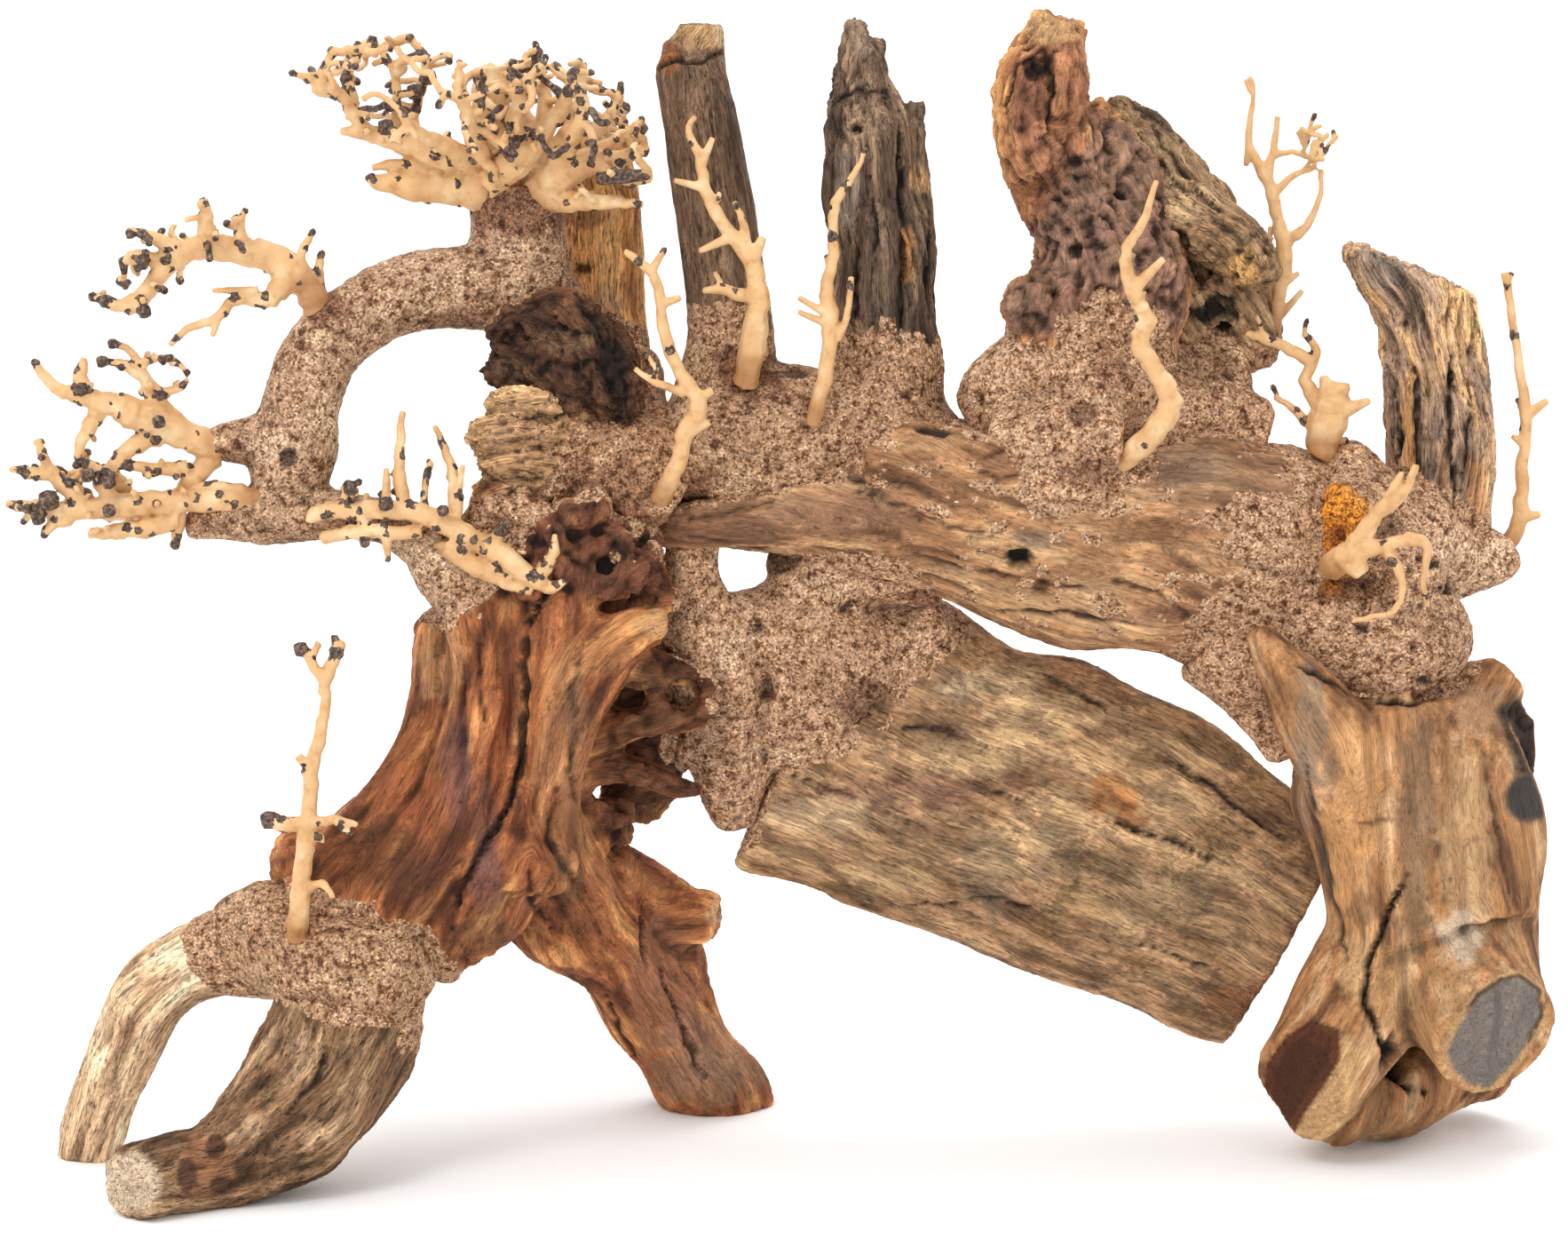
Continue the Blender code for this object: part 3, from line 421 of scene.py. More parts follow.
def wood_look(name, streak=1.0, scaly=0.0):
    """Fibres and hairline cracks along the grain, over the colour stored at the vertices, and sand on top.

    The stored colour's alpha says where the wood is covered with sand.
    """
    s = Shader(name)
    tint, grain = s.attribute("tint"), s.attribute("grain")
    broad = s.add("TexNoise", Scale=1.0, Detail=3.0, Roughness=0.6)
    s.link(s.scaled(grain, "Vector", (0.035, 0.55, 0.55)), "Vector", broad, "Vector")
    narrow = s.add("TexNoise", Scale=1.0, Detail=3.0, Roughness=0.65)
    s.link(s.scaled(grain, "Vector", (0.1, 1.7, 1.7)), "Vector", narrow, "Vector")
    lines = s.ramped(broad, "Fac", [
        (0.3, 0.62), (0.42, 1.0), (0.475, 1.04), (0.5, 0.42), (0.525, 1.02), (0.6, 1.14), (0.72, 1.34),
    ])
    hair = s.ramped(narrow, "Fac", [
        (0.28, 0.5), (0.38, 0.86), (0.45, 1.0), (0.49, 0.4), (0.53, 0.98), (0.62, 1.12), (0.75, 1.4),
    ])
    marks = s.add("TexNoise", Scale=1.0, Detail=2.0, Roughness=0.7)
    s.link(s.scaled(grain, "Vector", (0.17, 1.15, 1.15)), "Vector", marks, "Vector")
    dashes = s.ramped(marks, "Fac", [(0.33, 0.34), (0.385, 0.5), (0.43, 1.0), (0.58, 1.0), (0.66, 1.18)])
    node = s.multiplied(tint, "Color", dashes, streak)
    node = s.multiplied(node, MIX_RESULT, lines, streak)
    node = s.multiplied(node, MIX_RESULT, hair, streak)
    if scaly:
        flakes = s.add("TexNoise", Scale=1.0, Detail=7.0, Roughness=0.68)
        s.link(s.scaled(grain, "Vector", (0.06, 0.15, 0.15)), "Vector", flakes, "Vector")
        edges = s.ramped(flakes, "Fac", [
            (0.38, (0.58, 0.5, 0.45)), (0.4, (0.8, 0.77, 0.75)), (0.495, (0.86, 0.84, 0.83)),
            (0.505, (1.28, 1.25, 1.18)),
            (0.64, (1.4, 1.36, 1.28)),
        ])
        node = s.multiplied(node, MIX_RESULT, edges, scaly)
    relief = s.bumped(broad, "Fac", 0.7, 1.4)
    relief = s.bumped(narrow, "Fac", 0.7, 0.6, relief)
    place = s.add("TexCoord")
    colours, shade, _, lumps = sand_nodes(s, place)
    glued = s.add("Mix", data_type="RGBA", blend_type="MULTIPLY")
    glued.inputs[MIX_SHARE].default_value = GRAIN_SHARE
    glued.inputs[MIX_A].default_value = (*SAND[1], 1.0)
    s.link(colours, "Color", glued, MIX_B)
    glued = s.multiplied(glued, MIX_RESULT, shade, 1.0)
    clumps = s.add("Math", operation="MULTIPLY_ADD", use_clamp=False)
    s.link(lumps, "Fac", clumps, 0)
    clumps.inputs[1].default_value = 1.4
    clumps.inputs[2].default_value = -1.2
    amount = s.add("Math", operation="ADD")
    s.link(tint, "Alpha", amount, 0)
    s.link(clumps, "Value", amount, 1)
    sharp = s.stepped(amount, -0.06, 0.06)
    covered = s.blended(sharp, node, MIX_RESULT, glued, MIX_RESULT)
    rise = s.add("Bump", Distance=0.5 * MM)
    s.link(sharp, "Result", rise, "Strength")
    s.link(lumps, "Fac", rise, "Height")
    s.link(relief, "Normal", rise, "Normal")
    return s.finished(covered, rise, 0.8, 0.25)


def sand_look(name):
    """Coarse grains of many colours bound with glue."""
    s = Shader(name)
    tint = s.attribute("tint")
    place = s.add("TexCoord")
    colours, shade, grains, lumps = sand_nodes(s, place)
    base = s.multiplied(tint, "Color", colours, GRAIN_SHARE)
    dimmed = s.multiplied(base, MIX_RESULT, shade, 1.0)
    relief = s.bumped(lumps, "Fac", 0.7, 1.2)
    relief = s.bumped(grains, "Distance", -0.6, 0.45, relief)
    return s.finished(dimmed, relief, 0.75, 0.3)


def twig_look(name):
    """Smooth debarked twigs, with dark bark where the stored colour's alpha says so."""
    s = Shader(name)
    tint = s.attribute("tint")
    place = s.add("TexCoord")
    cloud = s.add("TexNoise", Scale=300.0, Detail=4.0, Roughness=0.6)
    s.link(place, "Object", cloud, "Vector")
    shade = s.ramped(cloud, "Fac", [
        (0.3, (0.78, 0.66, 0.5)), (0.46, (1.0, 0.98, 0.95)), (0.7, (1.08, 1.08, 1.08)),
    ])
    base = s.multiplied(tint, "Color", shade, 0.8)
    rind = s.add("TexNoise", Scale=900.0, Detail=4.0, Roughness=0.7)
    s.link(place, "Object", rind, "Vector")
    bark = s.ramped(rind, "Fac", [(0.34, NUB[0]), (0.5, NUB[1]), (0.66, NUB[2])])
    amount = s.add("Math", operation="MULTIPLY_ADD")
    s.link(cloud, "Fac", amount, 0)
    amount.inputs[1].default_value = 0.5
    s.link(tint, "Alpha", amount, 2)
    sharp = s.stepped(amount, 0.66, 0.8)
    barked = s.blended(sharp, base, MIX_RESULT, bark, "Color")
    relief = s.bumped(cloud, "Fac", 0.3, 0.5)
    relief = s.bumped(rind, "Fac", 0.35, 0.3, relief)
    return s.finished(barked, relief, 0.55, 0.35)


# Marks that the front view shows

# sawn ends face the viewer in front of this y, and a band that has no inner edge ends at DEEPEST
FRONT_ENDS = 5
DEEPEST = 99

def line_distance(spots, line):
    """Distance from each (across, up) to a line, and how far along it that is, from 0 to 1."""
    best, where = np.full(len(spots), 1e9), np.zeros(len(spots))
    line = np.array(line, float)
    for k in range(len(line) - 1):
        span = line[k + 1] - line[k]
        t = np.clip((spots - line[k]) @ span / (span @ span), 0, 1)
        off = np.linalg.norm(spots - line[k] - t[:, None] * span, axis=1)
        closer = off < best
        best[closer] = off[closer]
        where[closer] = ((k + t) / (len(line) - 1))[closer]
    return best, where


def outline_depth(spots, outline):
    """How deep each (across, up) lies inside a closed outline, negative outside."""
    line = np.array(outline, float)
    off, _ = line_distance(spots, np.vstack([line, line[:1]]))
    inside = np.zeros(len(spots), bool)
    for a, b in zip(line, np.roll(line, -1, axis=0)):
        crosses = (a[1] > spots[:, 1]) != (b[1] > spots[:, 1])
        rise = b[1] - a[1] if abs(b[1] - a[1]) > 1e-9 else 1e-9
        at = a[0] + (spots[:, 1] - a[1]) / rise * (b[0] - a[0])
        inside ^= crosses & (spots[:, 0] < at)
    return np.where(inside, off, -off)


def tube_distance(points, limbs):
    """Distance of points from the surface of tubes round limbs, negative inside."""
    best = np.full(len(points), 1e9)
    for limb in limbs:
        route = placed(limb)
        for before, after in zip(route, route[1:]):
            span = after[:3] - before[:3]
            t = np.clip((points - before[:3]) @ span / (span @ span), 0, 1)
            off = np.linalg.norm(points - before[:3] - t[:, None] * span, axis=1)
            best = np.minimum(best, off - before[3] * (1 - t) - after[3] * t)
    return best


def facing_view(points, normals):
    """1 where a surface faces the viewer of the front, 0 where it faces away."""
    away = points - CAMERA
    away /= np.linalg.norm(away, axis=1)[:, None]
    return ramp(-np.einsum("ij,ij->i", normals, away), 0.02, 0.3)


class Work:
    """A piece in the making: its points, normals, colours and place in the front view.

    Colours are hex texts or linear numbers.
    """

    def __init__(self, obj):
        self.obj = obj
        self.mesh = obj.data
        self.points = read_points(self.mesh)
        self.refresh()
        self.tint = np.zeros((len(self.points), 3))
        self.sand = np.zeros(len(self.points))
        self.grain = None

    def refresh(self):
        self.normals = normals_of(self.mesh)
        self.spots = in_view(self.points)
        self.facing = facing_view(self.points, self.normals)

    def push(self, height):
        """Moves the surface outwards by height."""
        self.points = self.points + self.normals * np.asarray(height)[:, None]

    def shade(self, strength, reach=0.5, spread=5):
        """Paints shade into hollows and a painted highlight onto ridges."""
        write_points(self.mesh, self.points)
        hollow = hollowness(self.mesh, self.points, normals_of(self.mesh), spread)
        painted_shade, painted_highlight = strength * ramp(hollow, 0.03, reach), 0.3 * strength * ramp(-hollow, 0.03, reach)
        self.tint = self.tint * (1 - painted_shade + painted_highlight)[:, None]

    def close(self):
        low, high = np.array(CAD_BOX[0]) / MM, np.array(CAD_BOX[1]) / MM
        self.points = np.clip(self.points, low, high)
        write_points(self.mesh, self.points)
        tint = np.column_stack([np.clip(self.tint, 0, 1), np.clip(self.sand, 0, 1)])
        give(self.mesh, "tint", tint, "FLOAT_COLOR")
        if self.grain is not None:
            give(self.mesh, "grain", self.grain, "FLOAT_VECTOR")

    def sanded(self, outline, ragged=3.0, share=1.0):
        """Sand and glue over what the front view shows inside an outline."""
        inside = outline_depth(self.spots, outline) + ragged * rough(self.points / 7.0 + 3.0, 3)
        self.sand = np.maximum(self.sand, ramp(inside, -1.2, 1.2) * share * self.facing)

    def gnarl(self, outline, tall, size, colour, share=0.8, ragged=3.0):
        """Twisted, pitted growth over what the front view shows inside an outline, with painted shade in its
        pits and a painted highlight on its ridges.
        """
        colour = paint(colour)
        inside = outline_depth(self.spots, outline) + ragged * rough(self.points / 8.0, 3)
        amount = ramp(inside, -2.0, 2.0) * self.facing
        drift = np.column_stack([rough(self.points / size + k, 2) for k in (5.0, 15.0, 25.0)])
        value = ridged((self.points + 0.5 * size * drift) / size, 3)
        self.push(amount * tall * (value - 0.6))
        # painted shade in the pits and painted highlight on the ridges
        shade = mix(np.tile(colour, (len(value), 1)), colour * 0.12, 1 - ramp(value, 0.12, 0.5))
        shade = mix(shade, colour * 1.9, ramp(value, 0.62, 1.0) * 0.6)
        self.tint = mix(self.tint, shade, amount * share)

    def band(self, outline, near, far, colour, share=1.0, side=None):
        """A colour between two depths inside an outline, on one side of it if asked for."""
        inside = outline_depth(self.spots, outline)
        amount = ramp(inside, near - 0.3, near + 0.3) * (1 - ramp(inside, far - 0.3, far + 0.3))
        amount = amount * self.facing * share * (self.points[:, 1] < FRONT_ENDS)
        if side is not None:
            middle = np.mean(np.array(outline, float), axis=0)
            amount = amount * ramp((self.spots - middle) @ np.array(side, float), 0.0, 4.0)
        self.tint = mix(self.tint, paint(colour), amount)

    def crack(self, line, width, depth, colour, wobble=1.0, taper=True):
        """A groove along a line in the front view, in the given colour; a dark colour there is painted shade
        inside the groove.
        """
        drift = np.column_stack([noise(self.points / 5.0), noise(self.points / 5.0 + 40.0)]) * wobble
        off, where = line_distance(self.spots + drift, line)
        thin = width * (np.clip(np.sin(np.pi * np.clip(where, 0.04, 0.96)), 0.15, 1.0) if taper else 1.0)
        share = np.exp(-((off / thin) ** 2)) * self.facing
        self.push(-share * depth)
        self.tint = mix(self.tint, paint(colour), np.clip(share * 1.25, 0, 1))

    def cracks(self, rows):
        """Rows of (line, width, depth, colour), with wobble and taper where they are given."""
        for row in rows:
            self.crack(*row)

    def patch(self, across, up, wide, high, colour, share, ragged=0.5, depth=0.0):
        """A spot of colour at (across, up) in the front view, this wide and high from its middle: a stain or
        worn place, or painted shade in a hole or pit where it is dark and pushed in by depth.
        """
        spread = (self.spots - np.array((across, up))) / np.array((wide, high))
        away = np.linalg.norm(spread, axis=1) + ragged * rough(self.points / 6.0, 3)
        amount = (1 - ramp(away, 0.75, 1.1)) * self.facing * share
        self.tint = mix(self.tint, paint(colour), amount)
        if depth:
            self.push(-amount * depth)

    def patches(self, rows, ragged=0.5):
        """Rows of (across, up, wide, high, colour, share), with ragged and depth of their own where given."""
        for row in rows:
            more = () if len(row) > 6 else (ragged,)
            self.patch(*row, *more)

    def knot(self, centre, inner, outer, pitch, colour):
        """Rings round a place of the front view that fade out between two radii, free of sand."""
        off = np.linalg.norm(self.spots - np.array(centre), axis=1)
        amount = (1 - ramp(off, inner, outer)) * self.facing
        self.sand = self.sand * (1 - amount)
        self.push(amount * 0.5 * np.sin(off * pitch))
        self.tint = mix(self.tint, paint(colour), amount * (0.5 + 0.5 * np.sin(off * pitch)) * 0.7)

    def scatter(self, size, shift, low, high, share, where=1.0):
        """Sand in clumps of a size, scattered over the piece."""
        clumps = ramp(rough(self.points / size + shift, 3), low, high) * where
        self.sand = np.maximum(self.sand, clumps * share)


def grown_wood(work, limbs, palette, ridges, seed, blotch=0.5, wander=3.0):
    """Gives a piece its fibres: ridges along the grain, and colours that follow them.

    palette is (dark, middle, light). ridges are (height, width, length) from coarse to fine.
    """
    laid, shares = Grain(limbs).lay(work.points)
    height = np.zeros(len(work.points))
    tone = np.zeros(len(work.points))
    fine = np.zeros(len(work.points))
    total = sum(tall for tall, _, _ in ridges)
    bend = wander * np.column_stack([
        np.zeros(len(work.points)),
        rough(work.points / 26.0 + seed, 2),
        rough(work.points / 26.0 + seed + 9.0, 2),
    ])
    for coordinates, share in zip(laid, shares):
        used = share > 0.02
        if not used.any():
            continue
        here = (coordinates + bend)[used]
        part = share[used]
        for number, (tall, wide, long) in enumerate(ridges):
            value = ridged(here / np.array([long, wide, wide]) + seed * 3.7 + number * 11.0, 2)
            height[used] += part * tall * (value - 0.5)
            if number == len(ridges) - 1:
                fine[used] += part * value
        tone[used] += part * rough(here / np.array([55.0, 7.0, 7.0]) + seed, 3, 0.65)
    work.push(height)
    level = np.clip(height / total + 0.5, 0, 1)
    dark, middle, light = palette
    cloud = rough(work.points / 28.0 + seed * 2.0, 3)
    drift = 1.35 * tone + blotch * cloud
    base = mix(middle, light, ramp(drift, -0.05, 0.5))
    base = mix(base, dark, ramp(-drift, 0.04, 0.55) * 0.85)
    # painted shade in the grooves between the fibres and painted highlight on their tops, from the ridges'
    # height
    low = 1 - ramp(level, 0.2, 0.52)
    base = mix(base, base * 0.25 + dark * 0.2, low * 0.6)
    high = ramp(level, 0.6, 0.95)
    base = base * (1 + 0.22 * high[:, None])
    work.tint = base * (0.84 + 0.32 * fine[:, None])
    blended = np.zeros((len(work.points), 3))
    for coordinates, share in zip(laid, shares):
        blended += (coordinates + bend) * share[:, None]
    work.grain = blended


# The limbs of each piece, as (across, up, depth, half width)

TRUNK = [
    [(-66, 200, 84, 22), (-70, 182, 82, 28), (-72, 165, 80, 29), (-75, 150, 78, 26), (-81, 132, 76, 26),
     (-86, 115, 74, 30), (-90, 100, 72, 34)],
    [(-84, 120, 72, 24), (-98, 104, 66, 26), (-112, 93, 58, 26), (-126, 83, 52, 19), (-138, 74, 48, 12)],
    [(-124, 99, 58, 11), (-136, 102, 54, 10), (-143, 104, 52, 8)],
    [(-85, 110, 62, 28), (-91, 90, 58, 20), (-96, 74, 56, 8), (-97, 68, 55, 4)],
    [(-78, 112, 80, 24), (-64, 95, 92, 19), (-48, 79, 102, 16), (-37, 62, 110, 14), (-28, 48, 116, 15),
     (-20, 38, 121, 14), (-16, 28, 125, 13)],
    [(-54, 98, 94, 11), (-42, 92, 100, 10), (-30, 87, 102, 8.5), (-19, 85, 100, 7)],
    [(-40, 86, 104, 12), (-34, 72, 108, 11), (-29, 58, 112, 10)],
    [(-96, 166, 76, 8), (-104, 164, 76, 4)],
    # the ribs that sweep down the front
    [(-86, 186, 60, 9), (-86, 168, 56, 9), (-85, 150, 55, 9), (-88, 130, 51, 9), (-96, 110, 43, 9),
     (-106, 92, 38, 8), (-112, 78, 40, 5)],
    [(-62, 184, 58, 8), (-60, 168, 54, 9), (-62, 150, 53, 9), (-66, 130, 56, 9), (-66, 112, 64, 9),
     (-56, 92, 80, 9), (-42, 72, 94, 8), (-31, 54, 102, 8), (-22, 38, 110, 7)],
    [(-98, 168, 68, 6), (-100, 146, 62, 7), (-108, 124, 54, 8), (-122, 106, 46, 8), (-136, 90, 44, 6)],
    [(-74, 122, 52, 6), (-80, 106, 46, 6), (-90, 88, 42, 6), (-97, 74, 46, 4)],
    # side roots over the hollow at the right
    [(-58, 162, 66, 9), (-48, 160, 66, 8), (-39, 155, 68, 6.5), (-30, 155, 70, 4)],
    [(-58, 132, 74, 6), (-48, 138, 72, 5), (-38, 141, 70, 4.5), (-30, 141, 70, 4), (-23, 143, 70, 3)],
    [(-34, 154, 68, 3.4), (-25, 154, 68, 3), (-21, 148, 68, 3), (-24, 142, 68, 3), (-33, 142, 69, 3),
     (-37, 148, 68, 3)],
    [(-62, 122, 76, 7), (-52, 127, 74, 4.5), (-42, 127, 73, 4), (-32, 123, 73, 3), (-22, 121, 73, 1.8)],
    [(-60, 118, 78, 6), (-54, 112, 77, 4), (-51, 108, 77, 3), (-53, 102, 77, 2)],
    [(-52, 117, 78, 4), (-46, 112, 78, 3.4), (-45, 105, 78, 2)],
    # the dark mass behind the side roots: its near-black colour, given in trunk_marks, is painted shade
    # filling the hollow
    [(-58, 156, 88, 14), (-44, 150, 90, 13), (-36, 138, 92, 12), (-40, 126, 90, 9), (-48, 116, 88, 6)],
    # the gnarled top
    [(-68, 112, 58, 8), (-64, 130, 53, 9), (-59, 146, 51, 10), (-51, 158, 51, 9.5), (-42, 166, 54, 7),
     (-34, 168, 58, 5)],
    [(-48, 184, 78, 12), (-38, 174, 84, 10), (-33, 160, 86, 9), (-32, 148, 88, 8)],
    [(-50, 148, 92, 14), (-40, 132, 94, 12), (-44, 114, 92, 8)],
    [(-62, 190, 64, 11), (-48, 190, 64, 10), (-38, 186, 66, 8)],
    [(-50, 192, 54, 3.4), (-44, 189, 53, 3.4), (-42, 183, 52, 3.6), (-47, 178, 52, 3.4), (-54, 179, 52, 3.4),
     (-57, 185, 53, 3.4), (-54, 191, 54, 3.2)],
    [(-72, 176, 52, 5), (-66, 184, 50, 5), (-64, 193, 52, 4.4), (-68, 201, 54, 4)],
    [(-88, 178, 56, 5), (-82, 188, 54, 5), (-74, 190, 52, 4.4), (-70, 186, 52, 4)],
    [(-88, 196, 58, 4.4), (-80, 201, 55, 4.6), (-72, 198, 54, 4.2), (-60, 199, 55, 4.2), (-50, 203, 58, 4)],
    [(-38, 188, 58, 4.4), (-36, 180, 58, 4), (-30, 174, 62, 3.4)],
]
TRUNK_FLOW = [
    [(-70, 210, 70, 12), (-70, 178, 60, 12), (-73, 150, 58, 12), (-76, 125, 56, 12), (-85, 104, 50, 12),
     (-95, 80, 46, 12), (-97, 66, 52, 9)],
    [(-84, 205, 70, 12), (-84, 178, 60, 12), (-84, 150, 56, 12), (-87, 130, 52, 12), (-96, 110, 44, 12),
     (-108, 88, 40, 12)],
    [(-94, 200, 74, 12), (-93, 178, 70, 12), (-95, 150, 66, 12), (-102, 130, 60, 12), (-114, 112, 52, 12),
     (-130, 96, 50, 12), (-142, 80, 50, 12)],
    [(-58, 205, 66, 11), (-60, 172, 58, 11), (-62, 150, 56, 11), (-66, 125, 60, 11), (-64, 105, 72, 11),
     (-52, 85, 90, 11), (-38, 65, 102, 11), (-22, 42, 114, 11), (-14, 26, 120, 11)],
    [(-44, 92, 98, 8), (-34, 86, 100, 9), (-16, 87, 99, 9)],
    [(-52, 74, 110, 10), (-40, 56, 118, 10), (-30, 38, 124, 10)],
    [(-72, 108, 56, 9), (-66, 130, 52, 9), (-60, 146, 49, 9), (-51, 159, 48, 9), (-42, 166, 52, 9),
     (-33, 168, 58, 8)],
    [(-62, 158, 66, 6), (-46, 158, 62, 6), (-26, 153, 63, 5)],
    [(-62, 134, 70, 6), (-48, 138, 68, 6), (-22, 147, 66, 5)],
    [(-62, 122, 74, 6), (-50, 127, 72, 5.5), (-22, 121, 71, 5)],
    [(-124, 99, 58, 10), (-143, 104, 52, 10)],
]
ROOT_REAR = [
    [(-138, 76, 58, 14), (-152, 76, 58, 13.5), (-165, 73, 60, 12.5), (-177, 65, 62, 11.5), (-184, 52, 63, 10),
     (-190, 38, 64, 9.5), (-194, 25, 65, 9), (-197, 12, 66, 8)],
]
ROOT_FRONT = [
    [(-116, 72, 48, 16), (-120, 57, 45, 20), (-128, 42, 40, 20), (-142, 26, 31, 16.5), (-158, 16, 22, 12.5),
     (-172, 12, 14, 11), (-186, 9, 4, 10.5), (-196, 6, -6, 10)],
    [(-112, 46, 46, 8), (-120, 26, 42, 4)],
]
SLAB = [
    [(4, 142, 102, 45), (42, 126, 102, 44), (80, 111, 102, 43), (114, 95, 102, 39), (141, 81, 102, 35)],
]
BRIDGE = [
    [(-35, 194, 74, 5), (-20, 196.5, 70, 7), (-4, 198.5, 68, 8), (12, 199, 68, 8.5), (30, 196, 70, 10),
     (50, 190, 76, 10)],
    [(-36, 204, 88, 11), (-15, 204, 86, 14), (10, 205, 84, 19), (38, 203, 82, 24), (65, 196, 82, 29),
     (92, 191, 84, 31), (120, 189, 86, 33), (148, 184, 90, 31), (168, 180, 94, 27)],
    [(24, 216, 70, 9), (38, 217, 66, 8), (50, 215, 62, 7), (60, 213, 60, 7), (67, 209, 61, 5)],
]
BRIDGE_FLOW = [
    [(-40, 200, 82, 12), (-20, 199, 78, 12), (6, 197, 72, 12), (36, 190, 66, 12), (60, 180, 62, 12),
     (84, 172, 62, 12), (116, 164, 62, 12)],
    [(0, 214, 74, 12), (30, 206, 66, 12), (55, 197, 60, 12), (78, 190, 58, 12), (104, 182, 56, 12),
     (130, 172, 60, 12), (150, 164, 66, 12)],
    [(16, 224, 74, 12), (40, 220, 66, 10), (60, 212, 60, 12), (92, 204, 58, 12), (124, 200, 58, 12),
     (160, 192, 66, 12)],
    [(80, 226, 74, 12), (110, 219, 66, 12), (140, 213, 68, 12), (165, 205, 76, 12)],
    [(0, 200, 104, 14), (60, 196, 108, 16), (120, 188, 112, 16), (165, 180, 116, 14)],
]
STUMP = [
    [(172, 146, 86, 26), (174, 132, 84, 31), (178, 112, 81, 31), (183, 92, 78, 30), (187, 75, 74, 28),
     (193, 63, 62, 22), (198, 55, 50, 19.5), (202, 47, 36, 19)],
    [(182, 95, 78, 20), (172, 76, 74, 19), (161, 58, 68, 17), (151, 44, 58, 16), (142, 34, 46, 15)],
    [(152, 34, 70, 14), (168, 38, 84, 14), (184, 43, 98, 13.5), (198, 48, 110, 13)],
    [(170, 92, 80, 12), (166, 108, 72, 14), (160, 124, 66, 14), (152, 138, 60, 12.5), (144, 149, 57, 10),
     (138, 158, 56, 7), (133, 167, 57, 3.6)],
    [(201, 119, 84, 6), (209, 119, 80, 6.6)],
    [(182, 84, 88, 22), (186, 68, 94, 17), (190, 54, 102, 13)],
    [(165, 140, 84, 24), (151, 148, 82, 16), (141, 157, 80, 10), (134, 166, 78, 5)],
    [(185, 138, 86, 20), (196, 147, 88, 12), (204, 154, 90, 7)],
    [(200, 122, 88, 9), (208, 119.5, 86, 7), (211, 119, 85, 6)],
    [(202, 142, 90, 7), (207, 137, 86, 4.5), (208, 128, 85, 4)],
    [(205, 140, 86, 3), (210, 141, 85, 2), (212, 141, 85, 1.5)],
]
STUMP_FLOW = [
    [(132, 170, 56, 12), (138, 158, 55, 12), (146, 144, 56, 12), (153, 130, 57, 12), (158, 105, 56, 12),
     (163, 80, 56, 12), (158, 60, 56, 12), (146, 38, 48, 12)],
    [(172, 165, 70, 12), (175, 130, 56, 12), (178, 105, 52, 12), (183, 80, 50, 12), (189, 62, 46, 12),
     (197, 46, 36, 12)],
    [(207, 160, 76, 12), (197, 142, 66, 12), (192, 122, 60, 12), (196, 95, 56, 12), (203, 75, 54, 12),
     (209, 52, 50, 12)],
    [(172, 150, 112, 20), (176, 90, 110, 20), (170, 36, 100, 16)],
]
POST_TWO_STEPS = [
    [(-14, 230, 86, 12), (-15, 250, 86, 11.5), (-18, 275, 86, 11.5), (-22, 300, 86, 11), (-26, 322, 86, 10),
     (-27, 327, 86, 9.5)],
    [(-24, 318, 87, 8), (-23.5, 337, 87, 6.5)],
    [(-32, 318, 85, 4), (-33, 333, 85, 1.5)],
]
POST_JAGGED = [
    [(29, 226, 86, 15), (29, 245, 86, 14), (28, 265, 86, 13.5), (26, 285, 86, 13.5), (24, 302, 86, 12.5),
     (22, 318, 86, 8.5), (21, 330, 86, 5), (20, 339, 86, 2)],
    [(36, 250, 84, 7), (36.5, 275, 85, 5.5), (35.5, 292, 85, 5), (35.5, 306, 85, 4), (38, 316, 85, 1.5)],
    [(25, 318, 88, 4), (26.5, 333, 88, 2.5)],
]
BURL = [
    [(84, 236, 84, 20), (85, 252, 84, 20.5), (86, 266, 84, 18), (84, 278, 84, 15), (80, 290, 84, 14.5),
     (76, 300, 84, 13.5), (74, 312, 84, 12), (74, 326, 84, 10.5), (76, 335, 84, 8.5), (77, 339, 84, 6)],
    [(80, 258, 78, 11), (70, 258, 75, 8), (63, 255, 74, 5)],
    [(94, 238, 82, 13), (98, 254, 82, 13), (99, 268, 84, 13), (97, 282, 86, 13), (92, 296, 88, 11),
     (89, 308, 90, 7), (92, 313, 91, 4)],
    [(72, 296, 76, 9), (67, 306, 76, 8), (66, 318, 76, 7), (70, 328, 77, 6)],
    [(78, 312, 75, 6), (80, 322, 76, 5.5), (80, 332, 78, 5)],
]
BURL_SIDE = [
    [(90, 314, 98, 5), (97, 306, 98, 9), (106, 292, 99, 12.5), (114, 280, 100, 14.5), (121, 264, 101, 14),
     (126, 250, 101, 13), (128, 240, 101, 11)],
    [(108, 284, 92, 10), (118, 280, 84, 10), (127, 275, 77, 10), (133, 268, 72, 7.5), (134, 263, 70, 5)],
    [(100, 290, 88, 7), (104, 276, 86, 7), (110, 262, 86, 6), (118, 250, 88, 6)],
    [(122, 266, 86, 6), (128, 258, 86, 6), (134, 250, 90, 5), (137, 246, 92, 3)],
]
POST_RIBBED = [
    [(184, 182, 96, 13), (184, 198, 96, 13.5), (185, 215, 96, 14.5), (184, 235, 96, 13.5),
     (181, 250, 96, 13.5), (178, 262, 96, 14), (172, 270, 95, 13), (168, 278, 94, 12)],
]
POST_REAR = [
    [(-50, 228, 108, 13), (-52, 250, 108, 13.5), (-53, 272, 108, 13), (-53, 290, 108, 12.5),
     (-55, 305, 108, 11)],
]
